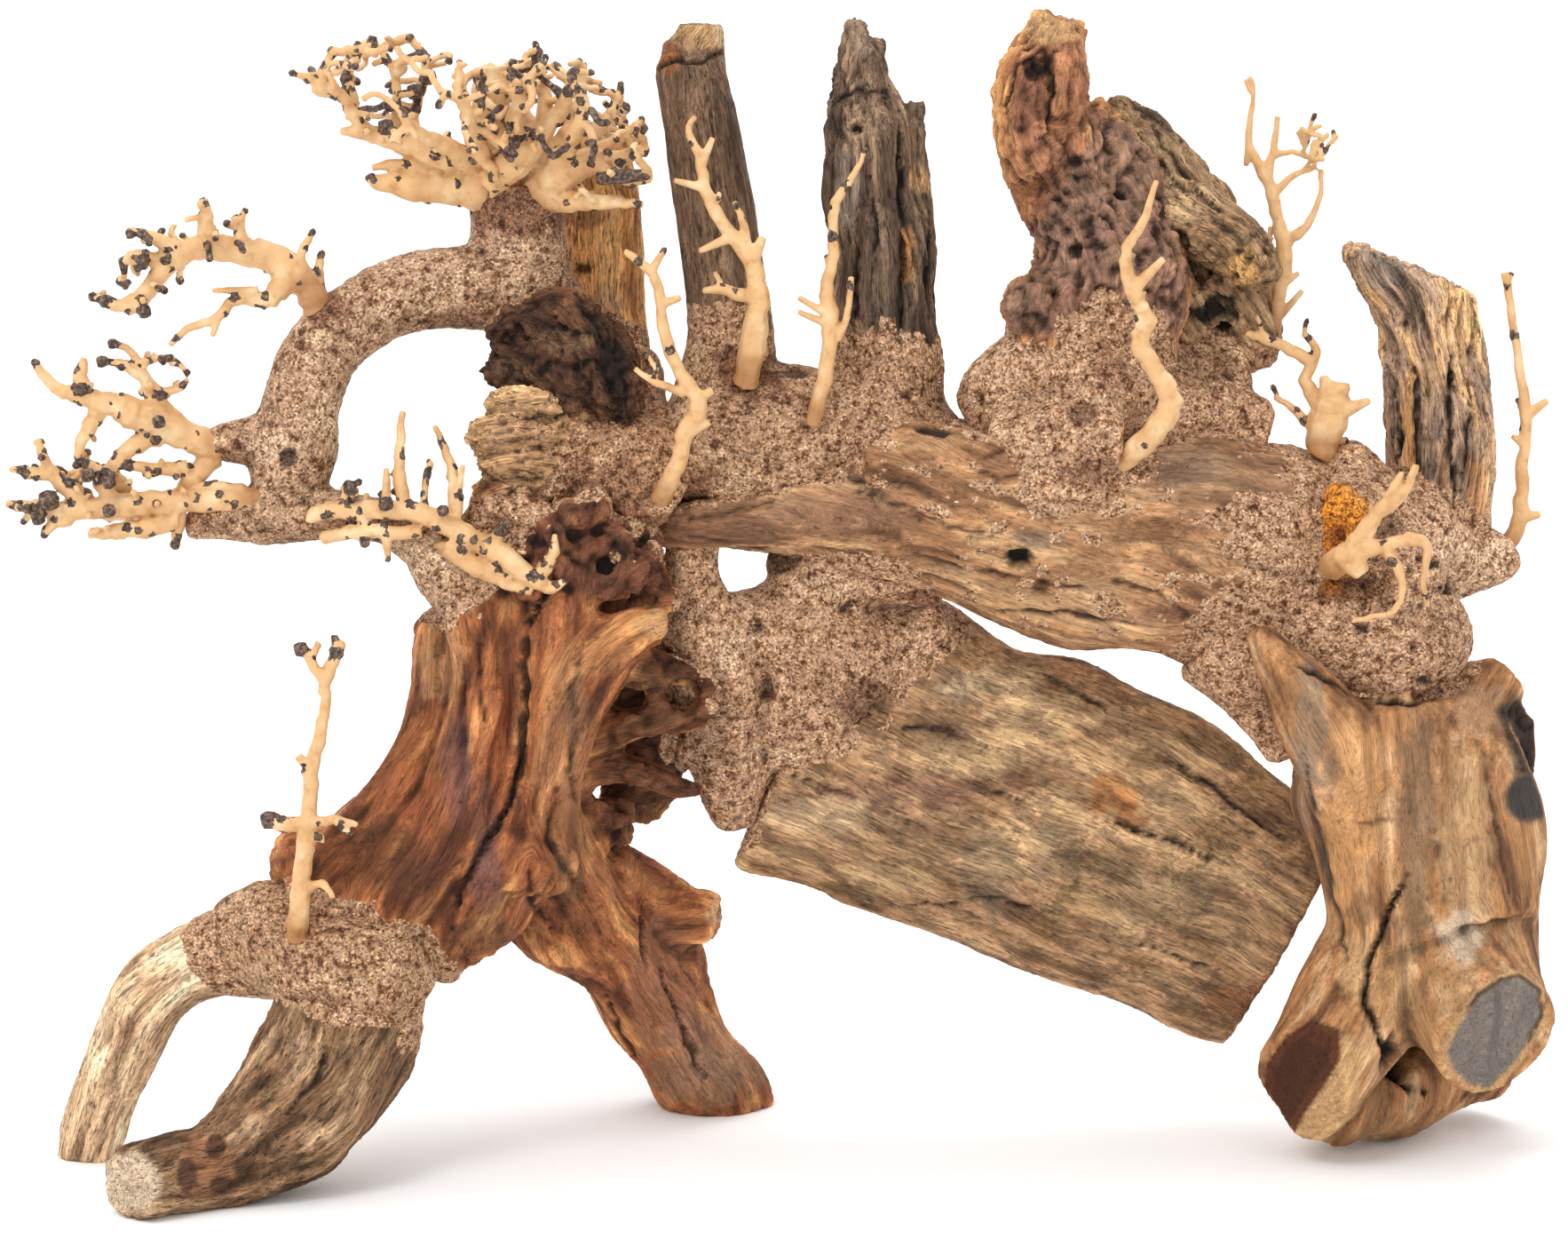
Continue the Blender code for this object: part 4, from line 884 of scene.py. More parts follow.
DARK_CHUNK = [
    [(-83, 242, 71, 4), (-74, 236, 69, 6), (-64, 230, 68, 4)],
    [(-81, 246, 71, 4.5), (-68, 240, 67, 8), (-56, 231, 67, 6)],
    [(-74, 250, 71, 5), (-62, 246, 67, 8), (-51, 235, 67, 7), (-45, 226, 69, 4)],
    [(-62, 253, 72, 5), (-52, 247, 70, 7), (-46, 236, 70, 6), (-42, 227, 72, 3)],
    [(-72, 258, 66, 2.5), (-62, 259, 64, 4), (-54, 251, 63, 5), (-47, 240, 63, 5), (-42, 229, 66, 3)],
    [(-84, 250, 66, 3), (-74, 254, 65, 4), (-66, 251, 65, 4)],
]
KNOT_WOOD = [
    [(-52, 227, 80, 6), (-70, 231, 60, 4.4), (-84, 230.5, 60, 2.6)],
    [(-52, 221, 80, 7), (-76, 223, 58, 6), (-89, 220.5, 60, 3)],
    [(-52, 214, 80, 7), (-74, 214.5, 58, 6), (-85, 213, 60, 3.6)],
    [(-54, 206, 80, 7), (-74, 206, 60, 6), (-86, 204, 62, 3.4)],
    [(-62, 220, 74, 10), (-72, 212, 72, 10), (-76, 196, 68, 9), (-78, 186, 64, 6)],
]

ARCH_MORTAR = [
    [(-64, 240, 88, 12), (-68, 256, 84, 13), (-80, 262, 78, 12.5), (-95, 262.5, 74, 11.5),
     (-110, 260, 70, 10.5), (-122, 253, 66, 10.5), (-131, 243, 62, 10.5), (-136, 230, 60, 11),
     (-138, 218, 60, 12), (-140, 206, 60, 10), (-140, 199, 60, 7)],
    [(-140, 218, 60, 9), (-150, 219, 58, 7), (-159, 219, 56, 5), (-164, 219, 55, 3)],
    [(-168, 196, 56, 4), (-158, 197, 57, 5.5), (-145, 199, 58, 8), (-128, 199, 58, 7), (-112, 197, 58, 6.5),
     (-100, 192, 58, 9), (-94, 183, 58, 10), (-88, 174, 60, 9)],
    [(-73, 262, 80, 13), (-75, 276, 79, 13), (-76, 286, 78, 12), (-76, 292, 78, 10)],
]
SHOULDER_MORTAR = [
    [(-84, 194, 68, 11), (-70, 200, 74, 14), (-55, 208, 74, 17), (-42, 208, 75, 17), (-33, 202, 76, 13)],
    [(-50, 238, 100, 15), (-48, 224, 88, 17), (-45, 208, 80, 16), (-42, 194, 76, 13)],
    [(-30, 222, 84, 12), (-40, 218, 84, 14)],
]
HEART_MORTAR = [
    [(-24, 196, 80, 8), (-26, 182, 78, 8.5), (-23, 168, 80, 12), (-18, 152, 82, 13), (-16, 138, 86, 12),
     (-15, 124, 90, 10), (-14, 112, 93, 6)],
    [(-12, 166, 86, 10), (4, 164, 89, 15), (20, 160, 92, 16), (34, 164, 95, 11), (46, 170, 94, 6)],
    [(-6, 150, 88, 15), (10, 148, 92, 16), (21, 149, 96, 13), (30, 151, 97, 8)],
    [(-6, 138, 90, 11), (6, 140, 94, 11), (22, 143, 98, 8)],
    [(2, 176, 86, 12), (12, 184, 86, 11), (24, 184, 86, 10), (34, 181, 86, 7), (44, 176, 88, 4)],
    [(-29, 134, 82, 3.5), (-21, 131, 86, 6)],
    [(-22, 172, 82, 6.5), (-12, 169.5, 84, 8), (0, 172, 86, 9)],
    [(-30, 172, 80, 7), (-30, 158, 82, 7), (-27, 144, 84, 7)],
    [(-4, 184, 84, 4.5), (0, 185, 84, 4)],
]
POSTS_MORTAR = [
    [(-15, 205, 82, 17), (-15, 222, 84, 19.5), (-15, 234, 86, 15.5), (-15.5, 244, 86, 12.6),
     (-16, 254, 86, 9.5)],
    [(29, 220, 84, 18), (29, 232, 86, 16.2), (29, 242, 86, 14.4), (29, 252, 86, 11)],
    [(-32, 214, 82, 14), (-10, 222, 82, 17), (10, 224, 82, 16), (30, 224, 82, 14), (46, 218, 84, 9)],
    [(-20, 209, 76, 11), (-4, 212, 74, 10), (10, 216, 74, 9)],
]
BURL_MORTAR = [
    [(52, 224, 84, 8), (60, 228, 84, 15), (72, 233, 84, 20), (85, 237, 84, 22), (88, 248, 84, 20)],
    [(92, 234, 88, 17), (106, 234, 92, 15), (118, 238, 96, 11), (130, 242, 97, 6.5)],
    [(100, 224, 86, 14), (118, 226, 90, 12.5), (136, 222, 90, 8)],
    [(58, 220, 70, 9), (68, 218, 68, 11), (80, 220, 66, 13), (94, 218, 66, 10)],
    [(74, 206, 62, 6), (82, 208, 60, 6), (90, 204, 60, 4)],
]
RIGHT_MORTAR = [
    [(120, 166, 80, 12), (132, 160, 80, 15), (148, 166, 80, 19), (162, 168, 82, 22), (174, 166, 86, 21),
     (184, 172, 92, 13)],
    [(150, 196, 80, 14), (162, 194, 82, 18), (176, 190, 90, 19), (190, 188, 95, 12)],
    [(162, 180, 80, 22), (176, 180, 86, 20)],
    [(188, 186, 94, 11), (200, 187, 94, 8), (206, 189, 94, 4.5)],
    [(160, 208, 86, 10), (156, 218, 86, 6)],
    [(116, 160, 82, 8), (127, 152, 82, 9), (135, 142, 82, 7), (140, 130, 82, 4)],
]
FEET_MORTAR = [
    [(-153, 79, 57, 13), (-142, 80, 50, 14), (-130, 77, 44, 16), (-116, 72, 42, 18), (-104, 64, 46, 12)],
    [(-132, 78, 46, 13), (-134, 88, 46, 8)],
    [(-118, 70, 46, 18), (-108, 62, 45, 13)],
]

ALL_MORTAR = (
    ARCH_MORTAR + SHOULDER_MORTAR + HEART_MORTAR + POSTS_MORTAR + BURL_MORTAR + RIGHT_MORTAR + FEET_MORTAR
)

CROWN_LEFT = [
    [(-76, 286, 78, 8), (-88, 291, 73, 9), (-98, 291, 71, 8), (-108, 291.5, 69, 6.5), (-116, 293, 68, 3.6)],
    [(-92, 294, 75, 5.5), (-102, 296, 72, 4.5), (-110, 297.5, 70, 3), (-116, 296.5, 69, 1.8)],
    [(-78, 290, 76, 8), (-88, 297, 72, 8), (-98, 301, 70, 7), (-108, 304, 70, 5.5), (-117, 306, 69, 4.2),
     (-125, 307, 68, 2)],
    [(-115, 305, 71, 3.2), (-121, 311, 68, 3), (-124, 316, 66, 3), (-130, 321, 63, 3.2),
     (-138, 323, 60, 1.6)],
    [(-126, 318, 65, 2.6), (-131, 319, 62, 3.4), (-129, 325, 61, 2.6), (-127.5, 329.5, 60, 1.4)],
    [(-122, 310, 69, 2.4), (-121, 316, 70, 2.2), (-123, 322, 71, 2.6), (-120, 328, 72, 2),
     (-120, 331, 72, 1.4)],
    [(-110, 303, 72, 2.8), (-109, 312, 74, 2.4), (-109, 320, 75, 2.2), (-111, 326, 76, 2.2),
     (-116, 332, 77, 2)],
    [(-104, 302, 75, 3), (-104, 312, 80, 2.4), (-102, 320, 82, 2.6), (-101, 327, 84, 2.4),
     (-105, 333, 86, 2)],
    [(-97, 302, 77, 3), (-96, 312, 82, 2.4), (-95, 322, 86, 2), (-92, 326, 88, 1.8), (-91, 332, 90, 1.6)],
    [(-102, 325, 83, 1.8), (-95, 326, 86, 1.6)],
    [(-83, 292, 80, 6), (-83, 305, 80, 9), (-82.5, 325, 80, 10)],
    [(-86, 295, 72, 4.5), (-94, 302, 62, 4), (-102, 306, 54, 3.4), (-108, 312, 48, 2.6)],
    [(-84, 298, 70, 4.5), (-88, 306, 58, 4), (-90, 314, 50, 3), (-96, 318, 46, 2)],
    [(-88, 298, 86, 4.5), (-98, 306, 100, 3.8), (-106, 312, 110, 3), (-114, 318, 118, 2.2)],
    [(-82, 298, 88, 4.5), (-84, 308, 104, 3.6), (-90, 318, 112, 2.6)],
]
CROWN_RIGHT = [
    [(-72, 286, 76, 9), (-64, 294, 70, 8.5), (-56, 298, 68, 7), (-47, 299, 66, 5), (-39, 302, 64, 2.8)],
    [(-84, 292, 70, 7), (-76, 298, 66, 7), (-68, 306, 64, 5), (-62, 314, 62, 4), (-60, 322, 60, 2.6)],
    [(-70, 288, 80, 7), (-69, 302, 82, 5.5), (-67, 314, 84, 4), (-69, 324, 86, 3), (-70, 331, 86, 1.8)],
    [(-66, 296, 80, 5), (-60, 308, 84, 4), (-57, 318, 88, 3), (-58, 327, 90, 1.8)],
    [(-60, 300, 76, 4.5), (-52, 308, 78, 3.6), (-47, 315, 80, 2.6), (-46, 320, 81, 1.6)],
    [(-56, 299, 72, 4), (-46, 305, 72, 3), (-40, 310, 74, 1.8)],
    [(-68, 288, 74, 6), (-58, 287, 66, 4.6), (-48, 287, 60, 3.4), (-40, 286, 57, 2)],
    [(-66, 294, 72, 5), (-60, 304, 60, 4), (-56, 314, 52, 3), (-60, 321, 47, 2)],
    [(-72, 298, 74, 5), (-76, 308, 62, 4), (-74, 318, 54, 3), (-70, 324, 50, 2)],
    [(-62, 298, 84, 4.6), (-52, 306, 96, 3.6), (-44, 314, 104, 2.4)],
    [(-70, 304, 84, 4.2), (-74, 314, 98, 3.4), (-72, 324, 108, 2.4)],
    [(-72, 300, 70, 4.5), (-82, 306, 60, 3.6), (-88, 312, 54, 2.6)],
    [(-50, 297, 66, 3.6), (-44, 293, 60, 2.8), (-38, 293, 56, 2)],
]
SPRAY_UPPER = [
    [(-131, 256, 62, 5), (-134, 263, 61, 5.5), (-142, 270, 60, 6), (-150, 272.5, 58, 6), (-160, 274, 55, 5.5),
     (-168, 273, 53, 5), (-176, 266, 50, 4.5), (-181, 259, 48, 4), (-184, 256, 47, 2.5)],
    [(-140, 268, 60, 5), (-143, 261, 59, 4), (-147, 259.5, 58, 3), (-155, 259, 56, 2.6), (-160, 254, 54, 2.2),
     (-168, 251, 52, 1.9), (-173, 246.5, 51, 1.4)],
    [(-162, 277, 53, 4), (-163, 283, 52, 3), (-163, 288, 52, 1.6)],
    [(-153, 276, 55, 3), (-153, 280, 55, 2.2), (-152, 284, 55, 1.4)],
    [(-171, 274, 52, 3.2), (-178, 277, 50, 2.6), (-184, 279, 49, 1.8)],
    [(-174, 270, 51, 3.2), (-184, 272, 49, 2.2), (-186, 266, 48, 1.6)],
    [(-181, 260, 48, 3), (-188, 258, 46, 2.8), (-195, 260.5, 45, 1.8)],
    [(-134, 265, 61, 3), (-136, 272, 60, 2.2), (-133, 278, 60, 1.6)],
    [(-131, 262, 62, 2.4), (-131, 270, 61, 1.8), (-129.5, 273, 60, 1.4)],
    [(-159, 255, 54, 1.5), (-161, 249, 53, 1.3)],
    [(-148, 262, 57, 1.6), (-161, 262, 54, 1)],
]
SPRAY_LEFT = [
    [(-158, 218, 56, 6), (-166, 220, 54, 6), (-174, 224, 52, 7), (-182, 227, 50, 7.5), (-190, 230, 48, 5.5),
     (-197, 232, 47, 4.5), (-204, 234, 46, 3.4), (-209, 239, 45, 2.6), (-211, 241.5, 44, 1.8)],
    [(-170, 223, 53, 4), (-176, 230, 53, 4), (-180, 237, 52, 3.2), (-186, 241, 50, 2.6),
     (-191, 242, 49, 1.6)],
    [(-180, 238, 52, 2), (-184, 245, 51, 1.8), (-189, 247, 50, 1.8)],
    [(-177, 233, 53, 2.2), (-170, 234.5, 52, 1.8), (-168, 237, 52, 1.6)],
    [(-180, 242, 51, 1.6), (-173, 243, 52, 1.5), (-168, 239, 52, 1.4)],
    [(-197, 232, 47, 4), (-198, 238, 47, 3.4), (-197, 243, 46, 2)],
    [(-160, 216, 56, 5), (-166, 210, 55, 4.6), (-170, 202, 54, 4.4), (-171, 194, 53, 3),
     (-171, 189, 52, 1.8)],
    [(-176, 222, 52, 4.5), (-184, 218, 50, 4), (-190, 212, 49, 3.4), (-194, 206, 48, 2.6)],
    [(-168, 212, 54, 3.4), (-178, 212, 51, 3), (-186, 213, 49, 2.6)],
    [(-193, 228, 48, 3.4), (-197, 221, 47, 3.2), (-199, 215, 46, 2)],
    [(-176, 220, 60, 4), (-188, 222, 68, 3), (-196, 228, 74, 2)],
    [(-180, 226, 58, 4), (-186, 236, 66, 3), (-190, 240, 72, 2)],
]
SPRAY_LOW = [
    [(-146, 203, 55, 4), (-156, 203, 54, 5), (-168, 203, 52, 5), (-180, 202, 50, 5.4), (-192, 201, 48, 5),
     (-204, 200, 47, 4.4), (-213, 201, 46, 3), (-219, 202, 45, 2)],
    [(-152, 205, 55, 3), (-160, 207, 54, 2.4), (-170, 206, 53, 2)],
    [(-170, 198, 52, 4), (-180, 195, 50, 4), (-190, 194, 49, 3.4), (-196, 193, 48, 1.8)],
    [(-196, 203, 48, 4), (-204, 208, 47, 3.6), (-208, 214, 46, 2.8), (-210, 220, 45, 1.8)],
    [(-206, 210, 47, 2.4), (-213, 211, 45, 2.4), (-218, 212, 44, 1.6)],
    [(-200, 199, 47, 3.4), (-206, 196, 46, 2.6), (-208, 193.5, 45, 1.8)],
    [(-210, 202, 46, 2.6), (-214, 197, 46, 1.8)],
    [(-190, 204, 49, 3.4), (-193, 211, 48, 3), (-198, 214, 47, 2.4)],
    [(-186, 206, 52, 3.6), (-190, 211, 60, 2.8), (-200, 211, 66, 2)],
    [(-180, 200, 54, 3.6), (-190, 199, 64, 3), (-202, 201, 70, 2)],
]
SPRAY_FRONT = [
    [(-134, 199, 50, 3), (-126, 200, 48, 3.6), (-116, 200, 46, 4), (-106, 200, 46, 4.2), (-97, 197, 46, 4.6),
     (-88, 192, 46, 5), (-80, 188, 46, 5), (-72, 182, 46, 4.6), (-66, 178.5, 46, 3.4), (-62, 180, 46, 2)],
    [(-130, 192, 48, 2.4), (-121, 194, 46, 3), (-112, 194, 45, 3.4), (-102, 194, 46, 3.6)],
    [(-118, 197, 46, 2.4), (-119, 191, 45, 1.8)],
    [(-112, 193, 45, 2), (-111.5, 186.5, 45, 1.5)],
    [(-95, 190, 46, 4), (-86, 184, 46, 4), (-78, 180, 47, 3.4), (-71, 177, 47, 2.4)],
    [(-70, 181, 46, 3), (-65, 187, 46, 2.4), (-64.5, 193.5, 46, 1.6)],
    [(-84, 190, 45, 3), (-80, 194, 45, 2.2), (-78, 197, 46, 1.5)],
    [(-107, 202, 48, 3), (-108.5, 212, 50, 2.6), (-108, 220, 51, 2.2), (-107.5, 228, 52, 1.8)],
    [(-112, 203, 47, 2), (-112, 212, 48, 1.6)],
    [(-101, 200, 48, 1.8), (-101, 208, 51, 1.6), (-99.5, 213.5, 52, 1.8)],
    [(-93, 196, 48, 3), (-93, 208, 52, 2.6), (-95, 216, 54, 2.2), (-98.5, 224, 55, 1.4)],
    [(-92, 203, 50, 1.6), (-90.5, 213, 50, 1.4)],
    [(-122, 201, 47, 2), (-124, 206, 46, 1.8), (-120, 208, 46, 1.6)],
]
SAPLING_FOOT = [
    [(-137, 79, 33, 3.4), (-136, 95, 29, 3), (-134, 112, 28, 3), (-133, 126, 28, 2.6), (-130, 140, 28, 2.2),
     (-129, 150, 28, 1.9), (-133, 157, 28, 2.2), (-135, 161, 28, 1.6)],
    [(-130, 148, 28, 1.7), (-127, 158, 28, 2.3), (-124, 163, 28, 1.6)],
    [(-134, 112, 28, 2), (-142, 112, 27, 3), (-147, 114, 27, 2)],
    [(-133, 112, 28, 2), (-126, 113, 26, 1.8), (-120, 111.5, 25, 1.2)],
    [(-135, 93, 29, 1.8), (-130, 95, 26, 1.5), (-127, 91, 24, 1.2)],
    [(-134, 128, 28, 1.5), (-137, 131, 28, 1.8)],
]
SAPLING_SHOULDER = [
    [(-35, 203, 56, 3.4), (-30, 213, 51, 2.8), (-28, 222, 50, 3), (-24, 230, 50, 3.2), (-30, 240, 50, 2.5),
     (-34, 252, 50, 2.3), (-36, 265, 50, 2.1), (-42, 271, 50, 1.8), (-45, 273, 50, 1.4)],
    [(-27, 222, 50, 2), (-21, 225, 50, 1.4)],
    [(-25, 231, 50, 2), (-20, 234, 50, 1.9)],
    [(-28, 233, 50, 1.8), (-36, 236, 49, 1.4), (-42, 240, 48, 1)],
    [(-35, 258, 50, 1.6), (-29, 260, 50, 1.5)],
    [(-37, 268, 50, 1.5), (-34, 273, 50, 1.4)],
]
SAPLING_POST = [
    [(-11, 236, 70, 4.4), (-8, 252, 65, 4), (-7, 262, 64, 3.6), (-10, 272, 64, 3), (-17, 280, 64, 2.6),
     (-22, 290, 64, 2.3), (-24, 300, 64, 2), (-27, 307, 64, 1.5), (-25, 311, 64, 1)],
    [(-9, 270, 64, 2.5), (-6, 277, 63, 2)],
    [(-10, 273, 64, 2), (-12, 282, 63, 1.5), (-14, 287, 63, 1)],
    [(-15, 277, 64, 2), (-24, 273, 63, 1.3)],
    [(-9, 260, 64, 2.2), (-17, 262, 63, 2), (-23, 262, 62, 1.4)],
    [(-23, 291, 64, 1.6), (-31, 293, 62, 1.1)],
    [(-23.5, 297, 64, 1.7), (-20, 305, 63, 1.3)],
]
SAPLING_MIDDLE = [
    [(8, 224, 68, 2.6), (12, 240, 64, 2.5), (13, 252, 64, 2.8), (12, 262, 64, 2.4), (14, 272, 64, 2.2),
     (14, 285, 64, 1.9), (18, 292, 64, 1.7), (22, 299, 64, 1.2)],
    [(15, 248, 64, 1.5), (18, 256, 63, 1.3), (19, 266, 63, 1.1)],
    [(11, 256, 64, 1.3), (4, 260, 63, 1)],
    [(11, 253, 64, 1.2), (4, 256, 63, 0.9)],
]
SAPLING_BURL = [
    [(95, 214, 64, 3.8), (104, 222, 53, 4.2), (109, 231, 50, 4), (104, 240, 50, 3.6), (100, 248, 50, 3.4),
     (102, 254, 50, 3.2), (98, 262, 50, 3.2), (96, 272, 50, 2.6), (101, 281, 50, 2.2), (105, 293, 50, 1.3)],
    [(99, 263, 50, 2.2), (107, 271, 49, 1.6)],
    [(102, 252, 50, 2.2), (105, 254, 49, 1.6)],
]
SAPLING_TALL = [
    [(137, 248, 97, 2.2), (139, 258, 97, 2), (141, 272, 97, 2.6), (139, 282, 97, 2.2), (136, 293, 98, 2.2),
     (131, 303, 98, 1.6), (132, 315, 98, 1)],
    [(136, 293, 98, 1.5), (138, 303, 97, 1.2), (139, 311, 97, 0.9)],
    [(137, 288, 98, 1.5), (143, 294, 96, 1.2), (150, 297, 95, 0.9)],
    [(138, 300, 97, 1.1), (143, 301, 97, 1), (149, 299, 96, 0.8)],
    [(141, 276, 97, 2), (147, 280, 95, 1.5), (151, 289, 94, 1), (151, 296, 94, 0.8)],
    [(140, 255, 97, 1.3), (146, 262, 95, 1)],
    [(140, 263, 97, 1.2), (145, 267, 96, 1)],
    [(140, 268, 98, 1.1), (137, 275, 99, 0.9), (137, 280, 99, 0.8)],
    [(131, 303, 98, 1.2), (130, 297, 99, 0.9)],
]
SAPLING_ANTLER = [
    [(151, 216, 84, 5), (153, 225, 83, 6.5), (155, 232, 82, 6), (157, 236, 81, 3.6)],
    [(151, 229, 84, 3), (147, 237, 85, 2.3), (150, 245, 86, 2), (146, 250, 87, 1.2)],
    [(149, 242, 85, 2.2), (141, 246, 86, 2), (134, 249, 86, 2), (130, 250, 86, 1.5)],
    [(157, 228, 81, 3), (165, 231, 78, 1.4)],
    [(153, 232, 82, 3), (152, 238, 82, 1.9)],
    [(149, 223, 85, 1.8), (143, 229, 86, 1.5), (138, 232, 87, 1.1)],
]
SAPLING_FRONT = [
    [(154, 184, 64, 5), (160, 188, 56, 4.4), (168, 190, 52, 2.5), (176, 192, 51, 2.6), (181, 190, 51, 2),
     (180, 180, 51, 1.4), (181, 173, 53, 1)],
    [(160, 186, 56, 4.4), (163, 182, 55, 3.4)],
    [(170, 189, 52, 2.2), (174, 180, 50, 1.5), (172, 172, 50, 1.2), (165, 170, 51, 1.1), (160, 169, 53, 1)],
    [(160, 190, 56, 3), (167, 199, 52, 2.6), (172, 207, 51, 1.8), (174, 211, 51, 1.2)],
    [(167, 199, 52, 2.4), (174, 204, 51, 2), (178, 213, 51, 1.7)],
]
SAPLING_EDGE = [
    [(201, 187, 94, 2.6), (207, 197, 94, 3), (208, 212, 94, 2.3), (209, 225, 94, 2.2), (207, 240, 94, 2),
     (205, 255, 94, 1.8), (203, 267, 94, 2.1)],
    [(208, 226, 94, 2), (215, 231, 94, 1.6)],
    [(208, 219, 94, 1.5), (205, 221, 93, 1)],
    [(207, 198, 94, 2.4), (213, 199, 93, 1.7)],
]


# Shapes

def add_tube(places, faces, route, sides, flat=1.0, lump=0.0, seed=0):
    """Appends a closed tube round a route of rows (x, y, z, radius)."""
    wides, intos = ring_frames(route[:, :3])
    turns = [2 * math.pi * k / sides for k in range(sides)]
    first = len(places)
    for i in range(len(route)):
        for turn in turns:
            side = wides[i] * math.cos(turn) + intos[i] * (math.sin(turn) * flat)
            swell = 1.0
            if lump:
                spot = route[i, :3] / 22 + side * 0.8
                swell += lump * blender_noise.noise((spot[0] + seed, spot[1], spot[2]))
            places.append(route[i, :3] + side * route[i, 3] * swell)
    for i in range(len(route) - 1):
        a, b = first + i * sides, first + (i + 1) * sides
        for k in range(sides):
            n = (k + 1) % sides
            faces.append((a + k, a + n, b + n, b + k))
    faces.append(tuple(first + k for k in reversed(range(sides))))
    faces.append(tuple(first + (len(route) - 1) * sides + k for k in range(sides)))


def mesh_of(name, places, faces):
    mesh = bpy.data.meshes.new(name)
    mesh.from_pydata([tuple(p * MM) for p in places], [], faces)
    mesh.validate()
    obj = bpy.data.objects.new(name, mesh)
    bpy.context.scene.collection.objects.link(obj)
    return obj


def refine(obj, voxel, smoothing, kept=1.0):
    """Joins the shells of an object on a grid of voxels, relaxes it and keeps a share of its triangles."""
    remesh = obj.modifiers.new("voxels", "REMESH")
    remesh.mode = "VOXEL"
    remesh.voxel_size = voxel * MM
    relax = obj.modifiers.new("relax", "SMOOTH")
    relax.iterations = smoothing
    if kept < 1.0:
        thin = obj.modifiers.new("thin", "DECIMATE")
        thin.ratio = kept
    graph = bpy.context.evaluated_depsgraph_get()
    mesh = bpy.data.meshes.new_from_object(obj.evaluated_get(graph))
    obj.modifiers.clear()
    keep_largest(mesh)
    obj.data = mesh


def keep_largest(mesh):
    """Drops every loose bit but the largest."""
    ends = np.empty(len(mesh.edges) * 2, np.int32)
    mesh.edges.foreach_get("vertices", ends)
    a, b = ends.reshape(-1, 2).T
    label = np.arange(len(mesh.vertices))
    while True:
        low = np.minimum(label[a], label[b])
        before = label.copy()
        np.minimum.at(label, a, low)
        np.minimum.at(label, b, low)
        label = label[label]
        if (label == before).all():
            break
    loose = np.flatnonzero(label != np.bincount(label).argmax())
    if len(loose):
        shape = bmesh.new()
        shape.from_mesh(mesh)
        shape.verts.ensure_lookup_table()
        bmesh.ops.delete(shape, geom=[shape.verts[i] for i in loose], context="VERTS")
        shape.to_mesh(mesh)
        shape.free()


def saw(obj, point, outward):
    """Cuts off what lies beyond a plane, and closes the cut."""
    shape = bmesh.new()
    shape.from_mesh(obj.data)
    everything = list(shape.verts) + list(shape.edges) + list(shape.faces)
    bmesh.ops.bisect_plane(
        shape, geom=everything, dist=1e-6, plane_co=[c * MM for c in point], plane_no=outward,
        clear_outer=True
    )
    rim = [edge for edge in shape.edges if edge.is_boundary]
    bmesh.ops.edgeloop_fill(shape, edges=rim)
    shape.to_mesh(obj.data)
    shape.free()


FLOOR_CUT = ((0.0, 0.0, 0.0), (0.0, 0.0, -1.0))
LIMB_SIDES = 24
TWIG_SIDES = 8
FIRST_VOXEL = 1.5


def body(name, limbs, voxel, flat, lump, cuts=()):
    """The fine shape of a piece: its limbs run into one body, sawn where the real one is."""
    places, faces = [], []
    for i, limb in enumerate(limbs):
        add_tube(places, faces, smooth_route(placed(limb)), LIMB_SIDES, flat, lump, 1 + i)
    obj = mesh_of("shape_" + name, places, faces)
    refine(obj, max(FIRST_VOXEL, voxel), 4)
    for point, outward in cuts:
        saw(obj, point, outward)
    refine(obj, voxel, 1)
    return obj


# Wood

def wood(name, limbs, slot, look, palette, ridges, seed, voxel, marks, flat=1.0, lump=0.25, cuts=(),
         flow=None, **more):
    """One piece of wood, with marks(work) for what only it has."""
    obj = body(name, limbs, voxel, flat, lump, cuts=cuts)
    obj.name = "wood_" + name
    work = Work(obj)
    grown_wood(work, flow or limbs, palette, ridges, seed, **more)
    near = tube_distance(work.points, ALL_MORTAR) + 3.0 * rough(work.points / 6.0 + seed, 3)
    work.sand = 1 - ramp(near, 1.0, 4.5)
    write_points(work.mesh, work.points)
    work.refresh()
    marks(work)
    work.push(work.sand * (0.5 + 0.5 * rough(work.points / 2.6, 2)))
    # painted shade in the hollows and painted highlight on the ridges
    work.shade(0.75)
    work.close()
    settle(obj, name, look)


MORTAR_VOXEL = 1.2


def mortar(name, limbs, look, seed, marks, lump=0.25, tone=1.0):
    """One lump of sand and glue: pitted and grainy, its pits tinted toward the glue's colour, and rusty where
    glue soaked it.
    """
    obj = body(name, limbs, MORTAR_VOXEL, 1.0, lump)
    obj.name = "sand_" + name
    work = Work(obj)
    place = work.points
    height = 0.9 * rough(place / 13.0 + seed, 3) + 0.55 * rough(place / 2.8 + seed, 2) + 0.35
    pits = ramp(rough(place / 5.0 + seed * 3.0, 2), 0.34, 0.6)
    work.push(height - 1.6 * pits)
    cloud = rough(place / 24.0 + seed * 2.0, 3)
    base = mix(np.tile(SAND[1], (len(place), 1)), SAND[2], ramp(cloud, 0.0, 0.5))
    base = mix(base, SAND[0], ramp(-cloud, 0.1, 0.7) * 0.7)
    soaked = ramp(rough(place / 9.0 + 50.0 + seed, 3), 0.2, 0.6)
    base = mix(base, GLUE, np.clip(pits * 0.8 + soaked * 0.45, 0, 1))
    work.tint = base * np.array(tone)
    write_points(work.mesh, work.points)
    work.refresh()
    marks(work)
    # painted shade in the hollows and painted highlight on the ridges
    work.shade(0.6, 0.6)
    work.close()
    settle(obj, name, look)


# Twigs

CREAM, BARK = 0, 1
TWIG_VOXEL = 0.5
